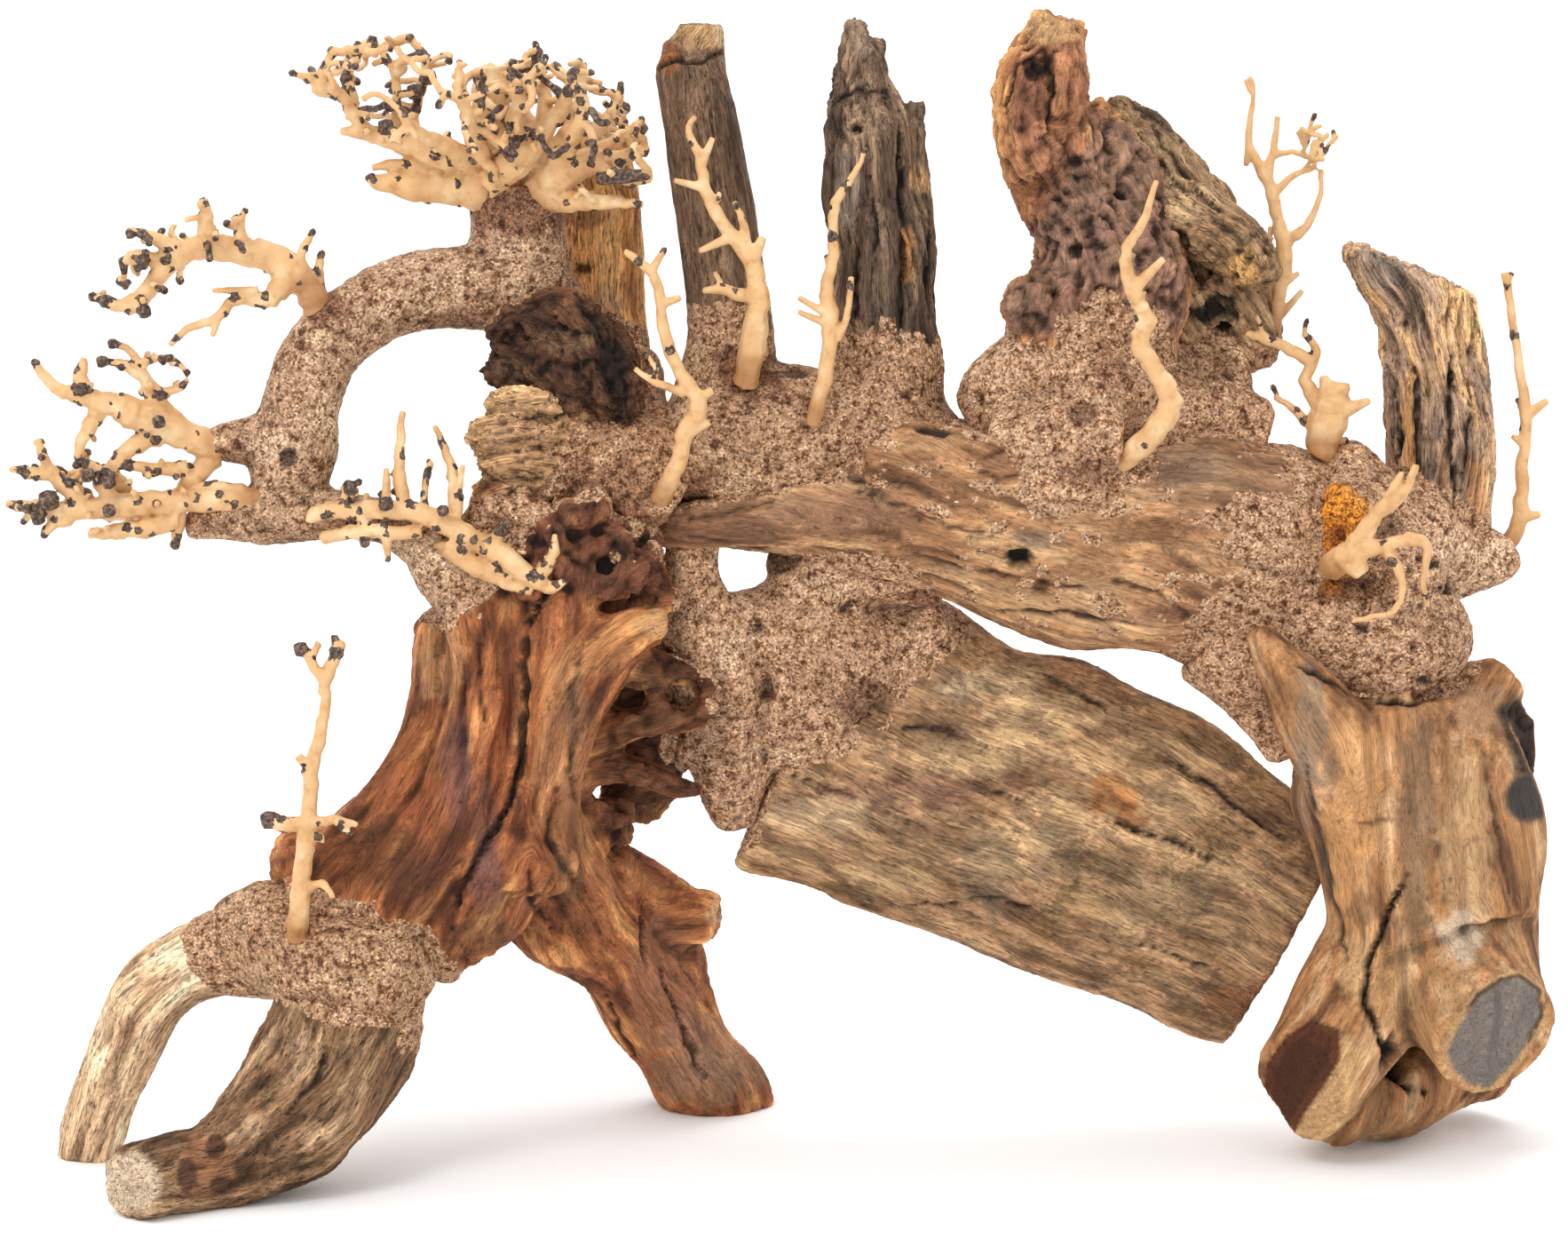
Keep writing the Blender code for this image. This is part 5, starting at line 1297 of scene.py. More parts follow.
# points that are compared with the twigs at a time, to save memory
BATCH = 4000


class Twigs:
    """Twigs of one spray or sapling: limbs, side twigs and dark broken ends, fused into one body."""

    def __init__(self, seed, slim=1.0):
        self.rng = random.Random(seed)
        self.slim = slim
        self.tubes = []
        self.limbs = []

    def any_way(self):
        way = np.array([self.rng.gauss(0, 1) for _ in range(3)])
        return way / (np.linalg.norm(way) + 1e-9)

    def limb(self, points):
        rows = placed(points)
        rows[:, 3] *= self.slim * np.linspace(1.0, 0.72, len(rows))
        rows[:, 3] = np.maximum(rows[:, 3], 0.8)
        self.curve(rows)

    def curve(self, rows, kind=CREAM):
        route = smooth_route(rows, 5)
        wobble = np.array([[self.rng.gauss(0, 0.12) for _ in range(3)] for _ in range(len(route))])
        wobble[0] = wobble[-1] = 0
        route[:, :3] += wobble * np.minimum(route[:, 3:4], 2.0)
        route[:, 3] *= np.clip([1 + 0.05 * self.rng.gauss(0, 1) for _ in range(len(route))], 0.88, 1.12)
        self.tubes.append((route, kind))
        self.limbs.append(route)
        return route

    def any_place(self, first=0.12):
        route = self.rng.choices(self.limbs, weights=[len(r) for r in self.limbs])[0]
        i = self.rng.randrange(int(first * len(route)), len(route))
        before, after = route[max(i - 1, 0)], route[min(i + 1, len(route) - 1)]
        along = (after - before)[:3]
        along /= np.linalg.norm(along) + 1e-9
        side = self.any_way()
        side -= along * (side @ along)
        side /= np.linalg.norm(side) + 1e-9
        return route[i], along, side

    def grow(self, start, way, half, reach, level, pull, bare):
        """A curving side twig, its own side twigs, and a dark end on most."""
        rows, place = [[*start, half]], np.array(start)
        turns = self.any_way() * 0.5
        for step in range(3):
            way = way + turns * 0.5 + self.any_way() * 0.3 + pull * 0.18
            way /= np.linalg.norm(way)
            place = place + way * reach / 3
            half = max(0.7, half * 0.93)
            rows.append([*place, half])
        route = self.curve(np.array(rows))
        if self.rng.random() < 0.35:
            self.tubes.append((route[-7:] + np.array([0, 0, 0, 0.08]), BARK))
        for _ in range(level):
            if self.rng.random() < 0.8:
                at = np.array(rows[self.rng.choice((1, 2))])
                side = way + self.any_way() * 0.9
                side /= np.linalg.norm(side)
                self.grow(at[:3], side, max(0.7, at[3] * 0.85), reach * 0.6, level - 1, pull, bare)
        if self.rng.random() > bare:
            self.knob(place, way, half * self.rng.uniform(1.0, 1.4))

    def sprout(self, count, reach, away_from, thick=(1.1, 1.9), bare=0.35, level=2):
        """Side twigs that curve away from a point."""
        heart = seen(*away_from)[0]
        for _ in range(count):
            at, along, side = self.any_place()
            away = at[:3] - heart
            away /= np.linalg.norm(away) + 1e-9
            pull = away + np.array([0, 0, 0.4])
            way = side * 0.9 + pull * 0.7 + along * 0.3
            half = min(self.rng.uniform(*thick), at[3] * 0.8)
            length = at[3] + reach * self.rng.uniform(0.5, 1.1)
            self.grow(at[:3], way / np.linalg.norm(way), half, length, level, pull, bare)

    def fill(self, outline, depths, count, bark):
        """Twigs that fork towards places scattered over an outline of the front view, between two depths."""
        # half width of the tips, share of bare ends, length of a step, and how near a place counts as reached
        tip, bare, stride, clear = 0.92, 0.66, 1.9, 3.2
        line = np.array(outline, float)
        low, high = line.min(axis=0), line.max(axis=0)
        goals = []
        while len(goals) < count:
            spot = np.array([self.rng.uniform(low[0], high[0]), self.rng.uniform(low[1], high[1])])
            if outline_depth(spot[None], line)[0] > 0.8:
                goals.append(seen(*spot, self.rng.uniform(*depths))[0])
        goals = np.array(goals)
        nodes = [row[:3] for route in self.limbs for row in route[::2]]
        first = len(nodes)
        parents = [-1] * first
        for _ in range(34):
            if not len(goals):
                break
            off = np.linalg.norm(goals[:, None] - np.array(nodes)[None], axis=2)
            nearest = off.argmin(axis=1)
            keep = off.min(axis=1) > clear
            goals, nearest = goals[keep], nearest[keep]
            grown = []
            for node in np.unique(nearest):
                pull = goals[nearest == node] - nodes[node]
                way = (pull / np.linalg.norm(pull, axis=1)[:, None]).mean(axis=0)
                way = way / (np.linalg.norm(way) + 1e-9) + self.any_way() * 0.38
                grown.append((nodes[node] + way / np.linalg.norm(way) * stride, node))
            for place, node in grown:
                if min(np.linalg.norm(np.array(nodes) - place, axis=1)) > stride * 0.62:
                    nodes.append(place)
                    parents.append(int(node))
        forks = {}
        for i in range(first, len(nodes)):
            forks.setdefault(parents[i], []).append(i)
        half = [0.0] * len(nodes)
        for i in reversed(range(first, len(nodes))):
            carried = sum(half[k] ** 2.5 for k in forks.get(i, []))
            half[i] = min(1.9, max(tip, carried**0.4 if carried else tip))
        for start in list(forks):
            if start >= first and len(forks[start]) < 2:
                continue
            for child in forks[start]:
                chain = [start, child]
                while len(forks.get(chain[-1], [])) == 1:
                    chain.append(forks[chain[-1]][0])
                rows = np.array([[*nodes[i], half[i] or half[child]] for i in chain])
                rows[0, 3] = half[child]
                route = self.curve(rows[::2] if len(rows) > 4 and len(rows) % 2 else rows)
                ends = chain[-1] not in forks
                if self.rng.random() < bark:
                    self.tubes.append((route[len(route) // 3 :] + np.array([0, 0, 0, 0.1]), BARK))
                if ends and self.rng.random() > bare:
                    way = route[-1, :3] - route[-2, :3]
                    self.knob(route[-1, :3], way / (np.linalg.norm(way) + 1e-9),
                              tip * self.rng.uniform(1.0, 1.35))

    def knob(self, end, towards, half):
        """A bark-covered, slightly swollen end."""
        long = half * self.rng.uniform(1.0, 2.2)
        start = end - towards * long * 0.6
        rows = np.array([
            [*start, half * 0.85], [*end, half * 1.08], [*(end + towards * long * 0.5), half * 0.7],
        ])
        self.tubes.append((rows, BARK))

    def lump(self, across, up, depth, half, stretch=(1.5, 0.5, 0.3)):
        """A lump of bark at a place of the front view."""
        at = seen(across, up, depth)[0]
        reach = np.array(stretch) * half * 0.5
        rows = np.array([[*(at - reach), half * 0.8], [*at, half], [*(at + reach), half * 0.7]])
        self.tubes.append((rows, BARK))

    def nubs(self, count, size=(0.9, 1.8), stand=0.8):
        """Stubs of lost side twigs: dark ovals that stand out a little."""
        for _ in range(count):
            at, along, side = self.any_place(0.05)
            if side[1] > 0.3 and self.rng.random() < 0.5:
                side = side * np.array([1, -1, 1])
            half = min(self.rng.uniform(*size), at[3] * 1.1 + 0.2)
            top = at[3] + stand * self.rng.uniform(0.2, 1.0) - half * 0.5
            foot = at[:3] + side * (top - 1.2)
            tip = at[:3] + side * top + along * half * self.rng.uniform(0.1, 0.9)
            self.tubes.append((np.array([[*foot, half * 0.9], [*tip, half * 0.9]]), BARK))

    def build(self, name, look, kept, root, stain):
        places, faces = [], []
        for i, (route, _) in enumerate(self.tubes):
            add_tube(places, faces, route, TWIG_SIDES, lump=0.06, seed=i)
        obj = mesh_of("twig_" + name, places, faces)
        refine(obj, TWIG_VOXEL, 1, kept)
        work = Work(obj)
        samples, kinds = [], []
        for route, kind in self.tubes:
            for k in range(len(route) - 1):
                span = np.linalg.norm(route[k + 1, :3] - route[k, :3])
                for step in np.linspace(0, 1, max(2, int(span / 0.8) + 1)):
                    samples.append(route[k] * (1 - step) + route[k + 1] * step)
                    kinds.append(kind)
        samples, kinds = np.array(samples, np.float32), np.array(kinds)
        nearest = np.empty(len(work.points), int)
        for start in range(0, len(work.points), BATCH):
            part = work.points[start : start + BATCH].astype(np.float32)
            power = (samples[:, :3] ** 2).sum(axis=1) - samples[:, 3] ** 2 - 2 * part @ samples[:, :3].T
            nearest[start : start + BATCH] = power.argmin(axis=1)
        place = work.points
        cloud = rough(place / 7.0, 3)
        tint = mix(np.tile(PALE[1], (len(place), 1)), PALE[2], ramp(cloud, 0.0, 0.5))
        tint = mix(tint, PALE[0], ramp(-cloud, 0.05, 0.6) * 0.8)
        tint = mix(tint, PALE[3], ramp(rough(place / 3.0 + 9.0, 2), 0.3, 0.55) * 0.35)
        # painted shade: crevices between the twigs take the orange-brown fifth colour of PALE
        hollow = hollowness(work.mesh, place, work.normals, 4)
        tint = mix(tint, PALE[4], ramp(hollow, 0.05, 0.5) * 0.75)
        for spot in root:
            off = np.linalg.norm(place - seen(*spot)[0], axis=1) + 3.0 * rough(place / 4.0, 2)
            tint = mix(tint, STAIN, (1 - ramp(off, stain * 0.5, stain * 1.5)) * 0.75)
        work.tint = tint
        work.sand = (kinds[nearest] == BARK).astype(float)
        work.close()
        settle(obj, name, look)


# Colours, from dark to light

BROWN = shades("#422213", "#975b37", "#d79960")
ROOT_TAN = shades("#8f6d4f", "#e6be94", "#ffe1ba")
ROOT_GREY = shades("#422c1a", "#8b684a", "#c29e79")
KHAKI = shades("#6f5236", "#a68261", "#b3936e")
LOG = shades("#63422b", "#a87b57", "#d0a77b")
STUMP_TAN = shades("#533725", "#aa794e", "#cba37a")
POST_GREY = shades("#453325", "#775c46", "#9d7e63")
POST_DARK = shades("#231a14", "#66503f", "#a7886a")
BURL_RED = shades("#3d2415", "#966242", "#c8925c")
SIDE_TAN = shades("#463322", "#967555", "#c7a57b")
RIB_TAN = shades("#4a382b", "#ae8e74", "#eab881")
REAR_TAN = shades("#9d683a", "#e5a667", "#efb979")
CHUNK_DARK = shades("#160b06", "#4b2f1d", "#8b5e3d")
KNOT_GREY = shades("#6d4f39", "#bb9064", "#deb07c")
SAND = shades("#7a5c45", "#ab8c71", "#c4a98d")
# the fifth of PALE is painted shade in the crevices between the twigs
PALE = shades("#b78753", "#d4aa79", "#e0c297", "#ab7845", "#935c2c")
NUB = shades("#1c1512", "#4d3b30", "#8f7562")
GLUE = linear("#5a3219")
STAIN = linear("#96602f")
# near black: painted shade deep in cracks, holes and pits
DEEP_SHADE = linear("#120b08")
RUST = linear("#9a5430")
PURPLE = linear("#6d4a44")


# The woods, each with the marks that only it has

# sand over the foot that the two left roots share
FOOT_SAND = [
    (-154, 92), (-147, 72), (-141, 62), (-128, 55), (-112, 54), (-100, 60), (-97, 72), (-108, 88),
    (-128, 100),
]


def trunk_marks(work):
    work.gnarl([(-92, 176), (-78, 176), (-62, 178), (-48, 172), (-38, 174), (-28, 176), (-27, 215),
                (-95, 218)], 3.4, 9.0, "#5f3a29", 0.9)
    # the hollow at the right, its side roots and the mass behind them, gnarled in near-black brown: painted
    # shade of the hollow
    work.gnarl([(-52, 108), (-54, 124), (-50, 138), (-45, 150), (-36, 160), (-18, 160), (-18, 116),
                (-38, 100)], 2.4, 7.0, "#4c2f20", 0.85)
    work.cracks([
        ([(-66, 178), (-71, 168), (-73, 158), (-73, 146), (-74, 132), (-76, 122), (-80, 112), (-86, 103),
          (-91, 92), (-94, 82)], 0.9, 3.0, DEEP_SHADE),
        ([(-40, 88), (-40, 80), (-38, 70)], 0.8, 2.4, DEEP_SHADE),
        ([(-35, 70), (-31, 62), (-28, 54), (-24, 44), (-22, 40)], 0.8, 2.6, DEEP_SHADE),
        ([(-57, 160), (-60, 150), (-59, 138), (-60, 126), (-58, 116)], 1.4, 1.2, DEEP_SHADE),
        ([(-90, 152), (-91, 140), (-90, 128), (-92, 116)], 1.4, 1.2, BROWN[0]),
        ([(-64, 122), (-66, 108), (-60, 97), (-52, 88)], 1.2, 1.2, BROWN[0]),
        ([(-72, 100), (-71, 90), (-66, 82)], 1.0, 1.2, BROWN[0]),
        ([(-85, 168), (-86, 150), (-84, 138)], 0.7, 0.7, BROWN[0]),
        ([(-50, 64), (-46, 52), (-40, 44)], 0.9, 1.2, BROWN[0]),
    ])
    work.patches([
        (-22, 41, 16, 9, "#8a6a50", 0.75), (-62, 140, 7, 24, "#a97f5b", 0.3),
        (-34, 66, 11, 22, "#9c6c50", 0.6), (-24, 48, 12, 12, "#977058", 0.6),
        (-72, 152, 9, 16, "#a5683e", 0.4), (-97, 158, 7, 14, "#b1835a", 0.6),
        (-60, 105, 5, 20, "#9c7650", 0.3), (-60, 124, 12, 26, "#875c40", 0.4),
        (-100, 96, 12, 12, "#53301f", 0.4), (-78, 150, 4, 22, "#5a2f22", 0.5), (-84, 98, 5, 12, PURPLE, 0.6),
        (-92, 128, 5, 16, PURPLE, 0.6), (-84, 112, 4, 16, PURPLE, 0.5), (-80, 134, 4, 20, RUST, 0.5),
        (-104, 118, 7, 12, RUST, 0.4), (-112, 104, 10, 12, "#5e3a24", 0.5), (-84, 80, 12, 5, "#4d3826", 0.5),
        # near-black spots pushed in: painted shade in holes
        (-29, 148, 4.5, 3.6, DEEP_SHADE, 0.95, 0.5, 3.0), (-50, 184, 2.6, 2.6, DEEP_SHADE, 0.9, 0.5, 2.0),
        (-46, 190, 4, 3, DEEP_SHADE, 0.8, 0.5, 2.0), (-36, 168, 6, 4, "#b08a64", 0.7),
        (-52, 160, 10, 7, "#a07048", 0.5), (-55, 82, 7, 10, "#b06e44", 0.4),
        (-18, 87, 3.4, 5, "#c09a74", 0.7), (-45, 96, 12, 8, "#8c4f35", 0.5),
    ])
    work.sanded([(-105, 182), (-103, 170), (-96, 166), (-86, 172), (-78, 182), (-66, 199), (-52, 205),
                 (-30, 208), (-30, 235), (-95, 235)], 5.0, 0.9)
    work.sanded([(-30, 200), (-26, 170), (-19, 155), (-17, 120), (-24, 126), (-20, 150), (-32, 172)], 4.0)
    work.scatter(7.0, 12.0, 0.2, 0.4, 0.8, where=ramp(work.spots[:, 1], 172, 186))


def rear_foot_marks(work):
    work.sanded(FOOT_SAND)


def front_marks(work):
    work.sanded(FOOT_SAND)
    work.patches([(-184, 11, 9, 9, "#d9bfa2", 0.95, 0.15), (-162, 15, 8, 10, "#9c6a49", 0.8, 0.3)])
    for spot in ((-168, 13, 3, 5), (-160, 21, 3, 4), (-158, 10, 4, 3)):
        work.patch(*spot, "#4a3326", 0.85, 0.2, 0.4)
    work.crack([(-140, 30), (-132, 40), (-128, 50)], 0.9, 1.2, ROOT_GREY[0])


def slab_marks(work):
    work.sanded([(-30, 106), (-15, 104), (-11, 118), (-8, 128), (10, 133), (28, 136), (33, 148), (36, 160),
                 (38, 168), (52, 173), (60, 180), (20, 200), (-30, 200)], 5.0)
    dark = "#3a2a1c"
    work.cracks([
        ([(0, 127), (8, 123), (16, 120), (26, 118)], 0.6, 1.2, dark),
        ([(22, 139), (34, 139), (45, 138), (54, 134), (62, 130)], 0.6, 1.2, dark),
        ([(40, 123), (50, 124), (60, 121), (70, 117)], 0.5, 1.2, dark),
        ([(90, 113), (96, 111), (102, 109), (110, 107), (121, 101)], 0.7, 2.0, DEEP_SHADE),
        ([(30, 89), (44, 89), (58, 91), (70, 88), (82, 86)], 0.6, 1.2, dark),
        ([(98, 136), (108, 130), (118, 124), (130, 115), (147, 104)], 0.8, 1.2, dark),
        ([(70, 156), (80, 150), (92, 143)], 0.4, 0.6, dark),
        ([(60, 145), (72, 140), (84, 133)], 0.4, 0.6, dark),
        ([(100, 78), (112, 74), (124, 70)], 0.4, 0.8, dark),
    ])
    work.patches([
        (92, 120, 8, 6, "#b06f35", 0.6), (98, 114, 6, 4, "#7c4a24", 0.7), (18, 119, 20, 6, "#7d5a49", 0.6),
        (45, 121, 12, 6, "#8a6553", 0.6), (40, 168, 10, 5, "#7a5440", 0.7), (36, 106, 16, 6, "#7b6248", 0.5),
        (58, 98, 8, 14, "#6f6250", 0.5), (76, 104, 8, 9, "#6a5e4c", 0.5), (50, 150, 8, 6, "#6f6558", 0.6),
        (60, 152, 14, 5, "#d0b48c", 0.6), (72, 142, 16, 7, "#cfae83", 0.55), (54, 131, 20, 6, "#c9aa80", 0.5),
        (90, 132, 12, 5, "#cba57a", 0.5), (6, 107, 12, 6, "#b3916c", 0.5), (110, 118, 10, 6, "#c5a57c", 0.5),
        (104, 92, 20, 8, "#7b6a52", 0.5), (124, 84, 14, 7, "#8d7354", 0.5), (118, 132, 26, 6, "#a08560", 0.6),
        (130, 62, 12, 5, "#8a5a3c", 0.6), (-12, 112, 3, 12, "#bb9a74", 0.8), (84, 88, 10, 6, "#a5855c", 0.5),
        (120, 108, 16, 5, "#6d5637", 0.5), (10, 114, 14, 5, "#cbb08c", 0.5), (30, 96, 14, 5, "#c8ab80", 0.4),
        (64, 110, 10, 5, "#c4a67c", 0.4), (46, 138, 8, 4, "#6c5040", 0.5), (88, 100, 12, 6, "#59492f", 0.5),
    ], ragged=0.9)
    work.knot((22, 146), 6, 12, 2.4, "#6f4f39")


def stump_marks(work):
    work.patches([
        (161, 120, 8, 24, "#cf9a66", 0.75), (158, 96, 6, 16, "#c8925e", 0.6),
        (148, 140, 5, 20, "#82705f", 0.6), (146, 118, 3, 18, "#8d7a68", 0.5),
        (178, 112, 6, 36, "#7c6148", 0.75), (176, 84, 5, 14, "#7f6449", 0.5),
        (192, 100, 8, 36, "#b6926a", 0.6), (190, 80, 6, 8, "#d3c2ad", 0.6), (196, 144, 9, 8, "#a98566", 0.6),
        (170, 66, 9, 16, "#b08a5e", 0.5), (182, 60, 8, 14, "#a58058", 0.4), (160, 72, 5, 9, "#d0a878", 0.6),
        (163, 88, 5, 5, "#6b4a35", 0.5), (176, 24, 16, 5, "#9c7a56", 0.5), (154, 128, 3, 6, "#6e5a4e", 0.6),
    ], ragged=0.7)
    work.cracks([
        # the first two are deep splits, their near-black colour painted shade
        ([(176, 98), (172, 92), (168, 82), (164, 72), (163, 62), (167, 54), (170, 46), (175, 39),
          (181, 36)], 0.8, 3.0, DEEP_SHADE),
        ([(171, 52), (172, 44), (176, 37)], 3.2, 4.5, "#1d120c"),
        ([(153, 113), (160, 112), (170, 113), (178, 115)], 0.4, 0.4, "#8f6844"),
        ([(141, 157), (150, 154), (160, 149), (168, 147)], 0.8, 1.4, "#3a2516"),
        ([(166, 146), (176, 146), (186, 148)], 0.8, 1.0, "#3a2516"),
        ([(146, 132), (149, 114), (154, 92), (159, 72)], 1.0, 0.8, "#55443a"),
        ([(198, 128), (201, 108), (205, 90)], 0.5, 0.5, STUMP_TAN[0]),
    ])
    face = [(186.5, 48), (190, 55.5), (195.5, 63.5), (202, 68), (207, 69), (212.5, 65), (213, 58), (207, 46),
            (198.5, 37), (192.5, 38.5), (188, 43)]
    work.band(face, -1.6, 0.3, "#b99468", 0.9)
    work.band(face, -0.8, 0.5, "#2c211a", 0.85, side=(0.5, 0.85))
    work.band(face, 0.4, DEEPEST, "#7a7068", 1.0)
    end = [(137, 27), (143, 19.5), (153, 22), (161, 31), (162, 47), (157, 53.5), (149, 55.5), (139, 46)]
    rings = 0.5 + 0.5 * np.sin(np.linalg.norm(work.spots - np.array([148, 44]), axis=1) * 2.6)
    work.band(end, -0.5, DEEPEST, "#c49e70", 1.0)
    inside = ramp(outline_depth(work.spots, end), -0.5, 0.5) * work.facing * (work.points[:, 1] < FRONT_ENDS)
    work.tint = mix(work.tint, linear("#9a6c40"), inside * rings * 0.5)
    heart = [(135, 34), (136, 44), (141, 52), (149, 56.5), (157, 53.5), (156, 45), (152, 38), (147, 31),
             (143, 24), (139, 23)]
    work.band(heart, -0.2, DEEPEST, "#4c2212", 0.95)
    work.band(heart, 2.5, DEEPEST, "#2f130b", 0.5)
    work.patch(209.5, 119, 7.2, 7.4, "#3c3632", 1.0, 0.05)
    work.gnarl([(201, 144), (206, 126), (214, 124), (214, 144), (206, 148)], 1.6, 5.0, "#2e2521", 0.95, 1.0)


def bridge_marks(work):
    work.sanded([(-30, 200), (-30, 240), (45, 240), (36, 226), (22, 222), (14, 214), (4, 208), (-4, 201)],
                4.0)
    work.sanded([(-2, 196), (2, 180), (30, 182), (45, 178), (28, 190), (12, 194)], 4.0)
    work.sanded([(113, 166), (118, 175), (128, 182), (122, 190), (130, 197), (118, 199), (128, 205),
                 (143, 205), (140, 215), (146, 222), (152, 232), (175, 222), (180, 165), (150, 150),
                 (125, 152)], 6.0)
    work.sanded([(46, 240), (52, 219), (70, 222), (70, 210), (64, 205), (80, 199), (92, 205), (100, 208),
                 (98, 216), (112, 224), (120, 232), (118, 250), (50, 250)], 5.0)
    work.scatter(np.array([12.0, 8.0, 6.0]), 31.0, 0.16, 0.36, 0.9)
    work.patches([
        (78, 172, 20, 4, "#cda479", 0.7), (96, 168, 16, 4, "#cfa67a", 0.7), (64, 176, 12, 4, "#c69c70", 0.6),
        (104, 170, 9, 3, "#7a5140", 0.6), (92, 171, 4, 2, "#6b4536", 0.7), (84, 171, 3, 1.6, "#6b4536", 0.7),
        (28, 200, 14, 5, "#8a5f49", 0.5), (-14, 196, 12, 3.6, "#6f4c36", 0.7),
        (10, 198, 10, 4, "#9b6a4a", 0.5), (112, 212, 12, 6, "#8a7668", 0.6),
        (126, 222, 16, 3.4, "#8c6a4e", 0.6), (124, 223, 4, 2.4, "#4c392c", 0.7),
        (126, 201, 5, 2.4, "#5a4234", 0.7), (122, 198, 4, 3, "#8c8076", 0.6),
        (62, 213, 7, 3.6, "#8d6549", 0.7), (38, 219, 14, 2.6, "#b98f66", 0.6),
        (72, 192, 8, 3, "#77685a", 0.6), (90, 186, 10, 3, "#8c5e40", 0.5),
    ], ragged=0.8)
    # near-black spots pushed in: painted shade in holes
    work.patches([
        (66.5, 186.5, 3.6, 3, DEEP_SHADE, 0.95, 0.7, 3.0), (72.5, 178.5, 2.6, 1.8, "#4a2c1a", 0.8, 0.4, 0.8),
        (42, 224, 6, 3, "#23150d", 0.85, 0.7, 2.0),
    ])
    work.crack([(56, 214), (62, 217.5), (67, 214), (66, 210), (60, 208.5), (55, 211)], 0.6, 0.8, "#5a3b28",
               1.0, False)
    work.patches([
        (-16, 197, 20, 8, "#7d5a43", 0.75, 0.4), (14, 200, 20, 8, "#8d6a52", 0.6, 0.6),
        (112, 210, 34, 10, "#8a6c55", 0.5, 0.7),
    ])
    for line in (
        [(-32, 196), (-18, 199), (-2, 203)], [(30, 190), (50, 184), (70, 180), (90, 178)],
        [(60, 172), (80, 171), (100, 168)], [(90, 181), (104, 177), (116, 170)],
        [(20, 206), (36, 200), (50, 194), (62, 192)], [(-28, 193), (-12, 190), (4, 190)],
        [(14, 211), (24, 207), (36, 209)], [(64, 203), (76, 199), (88, 203)],
    ):
        work.crack(line, 0.6, 0.8, "#5c412e")
    work.scatter(6.0, 33.0, 0.2, 0.36, 0.85)
    bare = [(-36, 190), (-36, 199), (-6, 204), (20, 205), (36, 198), (30, 188), (-6, 188)]
    work.sand = work.sand * (1 - work.facing * ramp(outline_depth(work.spots, bare), -1.5, 2.0))


def burl_marks(work):
    work.gnarl([(60, 252), (66, 280), (78, 292), (88, 312), (112, 306), (114, 250), (90, 244)], 2.2, 8.0,
               "#836656", 0.8)
    work.gnarl([(62, 296), (64, 316), (70, 332), (84, 336), (90, 312), (80, 296), (72, 284)], 1.6, 6.0,
               "#95684e", 0.6)
    work.patches([
        (80, 316, 6, 16, "#a97350", 0.7), (68, 286, 7, 8, "#946244", 0.6), (76, 336, 9, 5, "#b79268", 0.8),
        (69, 312, 5, 12, "#6d4636", 0.6), (98, 296, 8, 16, "#80644f", 0.6), (88, 256, 20, 8, "#6e4c38", 0.5),
        (95, 270, 6, 8, "#9b7c62", 0.4),
    ], ragged=0.9)
    # dark pits pushed in: painted shade in holes
    for pit in (
        (71, 325, 3.4, 4), (82, 298, 2.5, 2), (82, 273, 2, 2.4), (95, 289, 1.8, 1.8), (90, 262, 2, 1.6),
        (76, 262, 1.8, 1.4), (100, 270, 1.6, 2),
    ):
        work.patch(*pit, "#1f120d", 0.85, 0.5, 1.6)
    work.crack([(64, 300), (62, 314), (66, 326), (73, 330), (76, 320), (74, 306), (68, 300)], 0.8, 1.2,
               "#3c2118")


def side_marks(work):
    work.gnarl([(112, 262), (112, 282), (124, 286), (138, 276), (138, 262), (128, 258)], 1.8, 5.0, "#8b6b4c",
               0.6)
    work.patch(129, 268, 4.5, 6, "#cf9c5e", 0.8, 0.6)
    # near-black pits in the knob, and two dark patches pushed in below: painted shade in the cavities
    for spot in ((127, 266), (131, 271), (128, 273)):
        work.patch(*spot, 1.3, 1.2, DEEP_SHADE, 0.9, 0.2, 0.6)
    work.patches([
        (122, 256, 8, 5, "#20150f", 0.85, 0.7, 2.5), (110, 272, 4, 9, "#2a1c14", 0.7, 0.7, 1.5),
        (106, 298, 9, 10, "#a98a66", 0.6),
    ])
    work.cracks([
        ([(92, 314), (104, 300), (116, 286)], 0.7, 1.0, SIDE_TAN[0]),
        ([(100, 312), (112, 296), (124, 282)], 0.6, 0.9, SIDE_TAN[0]),
    ])


def ribbed_marks(work):
    work.patches([
        (176.5, 222, 2.2, 20, "#c08a4c", 0.75, 0.4), (195, 205, 3, 11, "#b98250", 0.7, 0.4),
        (186, 212, 2, 10, "#a97c4e", 0.5, 0.4),
    ])
    work.cracks([
        ([(178, 240), (178, 222), (179, 204)], 0.9, 1.6, DEEP_SHADE),
        ([(188, 246), (187, 226), (189, 200)], 1.0, 1.8, DEEP_SHADE),
        ([(172, 236), (173, 222), (173, 212)], 0.7, 1.2, DEEP_SHADE),
        ([(193, 240), (193, 222), (191, 205)], 0.7, 1.2, DEEP_SHADE),
    ])
    work.patch(165, 268, 12, 6, "#8f8072", 0.5)


def steps_marks(work):
    work.cracks([
        ([(-22, 322), (-20, 300), (-19, 280), (-18, 262)], 0.4, 0.7, POST_GREY[0]),
        ([(-14, 300), (-12, 280), (-10, 262)], 0.4, 0.6, POST_GREY[0]),
    ])
    work.patches([
        (-24, 334, 9, 4.5, "#b08a60", 0.85, 0.3), (-18, 334, 2, 4, "#d4b48a", 0.8, 0.3),
        (-33, 327, 4, 5, "#8a5531", 0.8, 0.4),
    ])
    work.crack([(-37, 324), (-30, 327), (-24, 326), (-16, 330)], 0.7, 1.2, "#3a2516", 1.0, False)


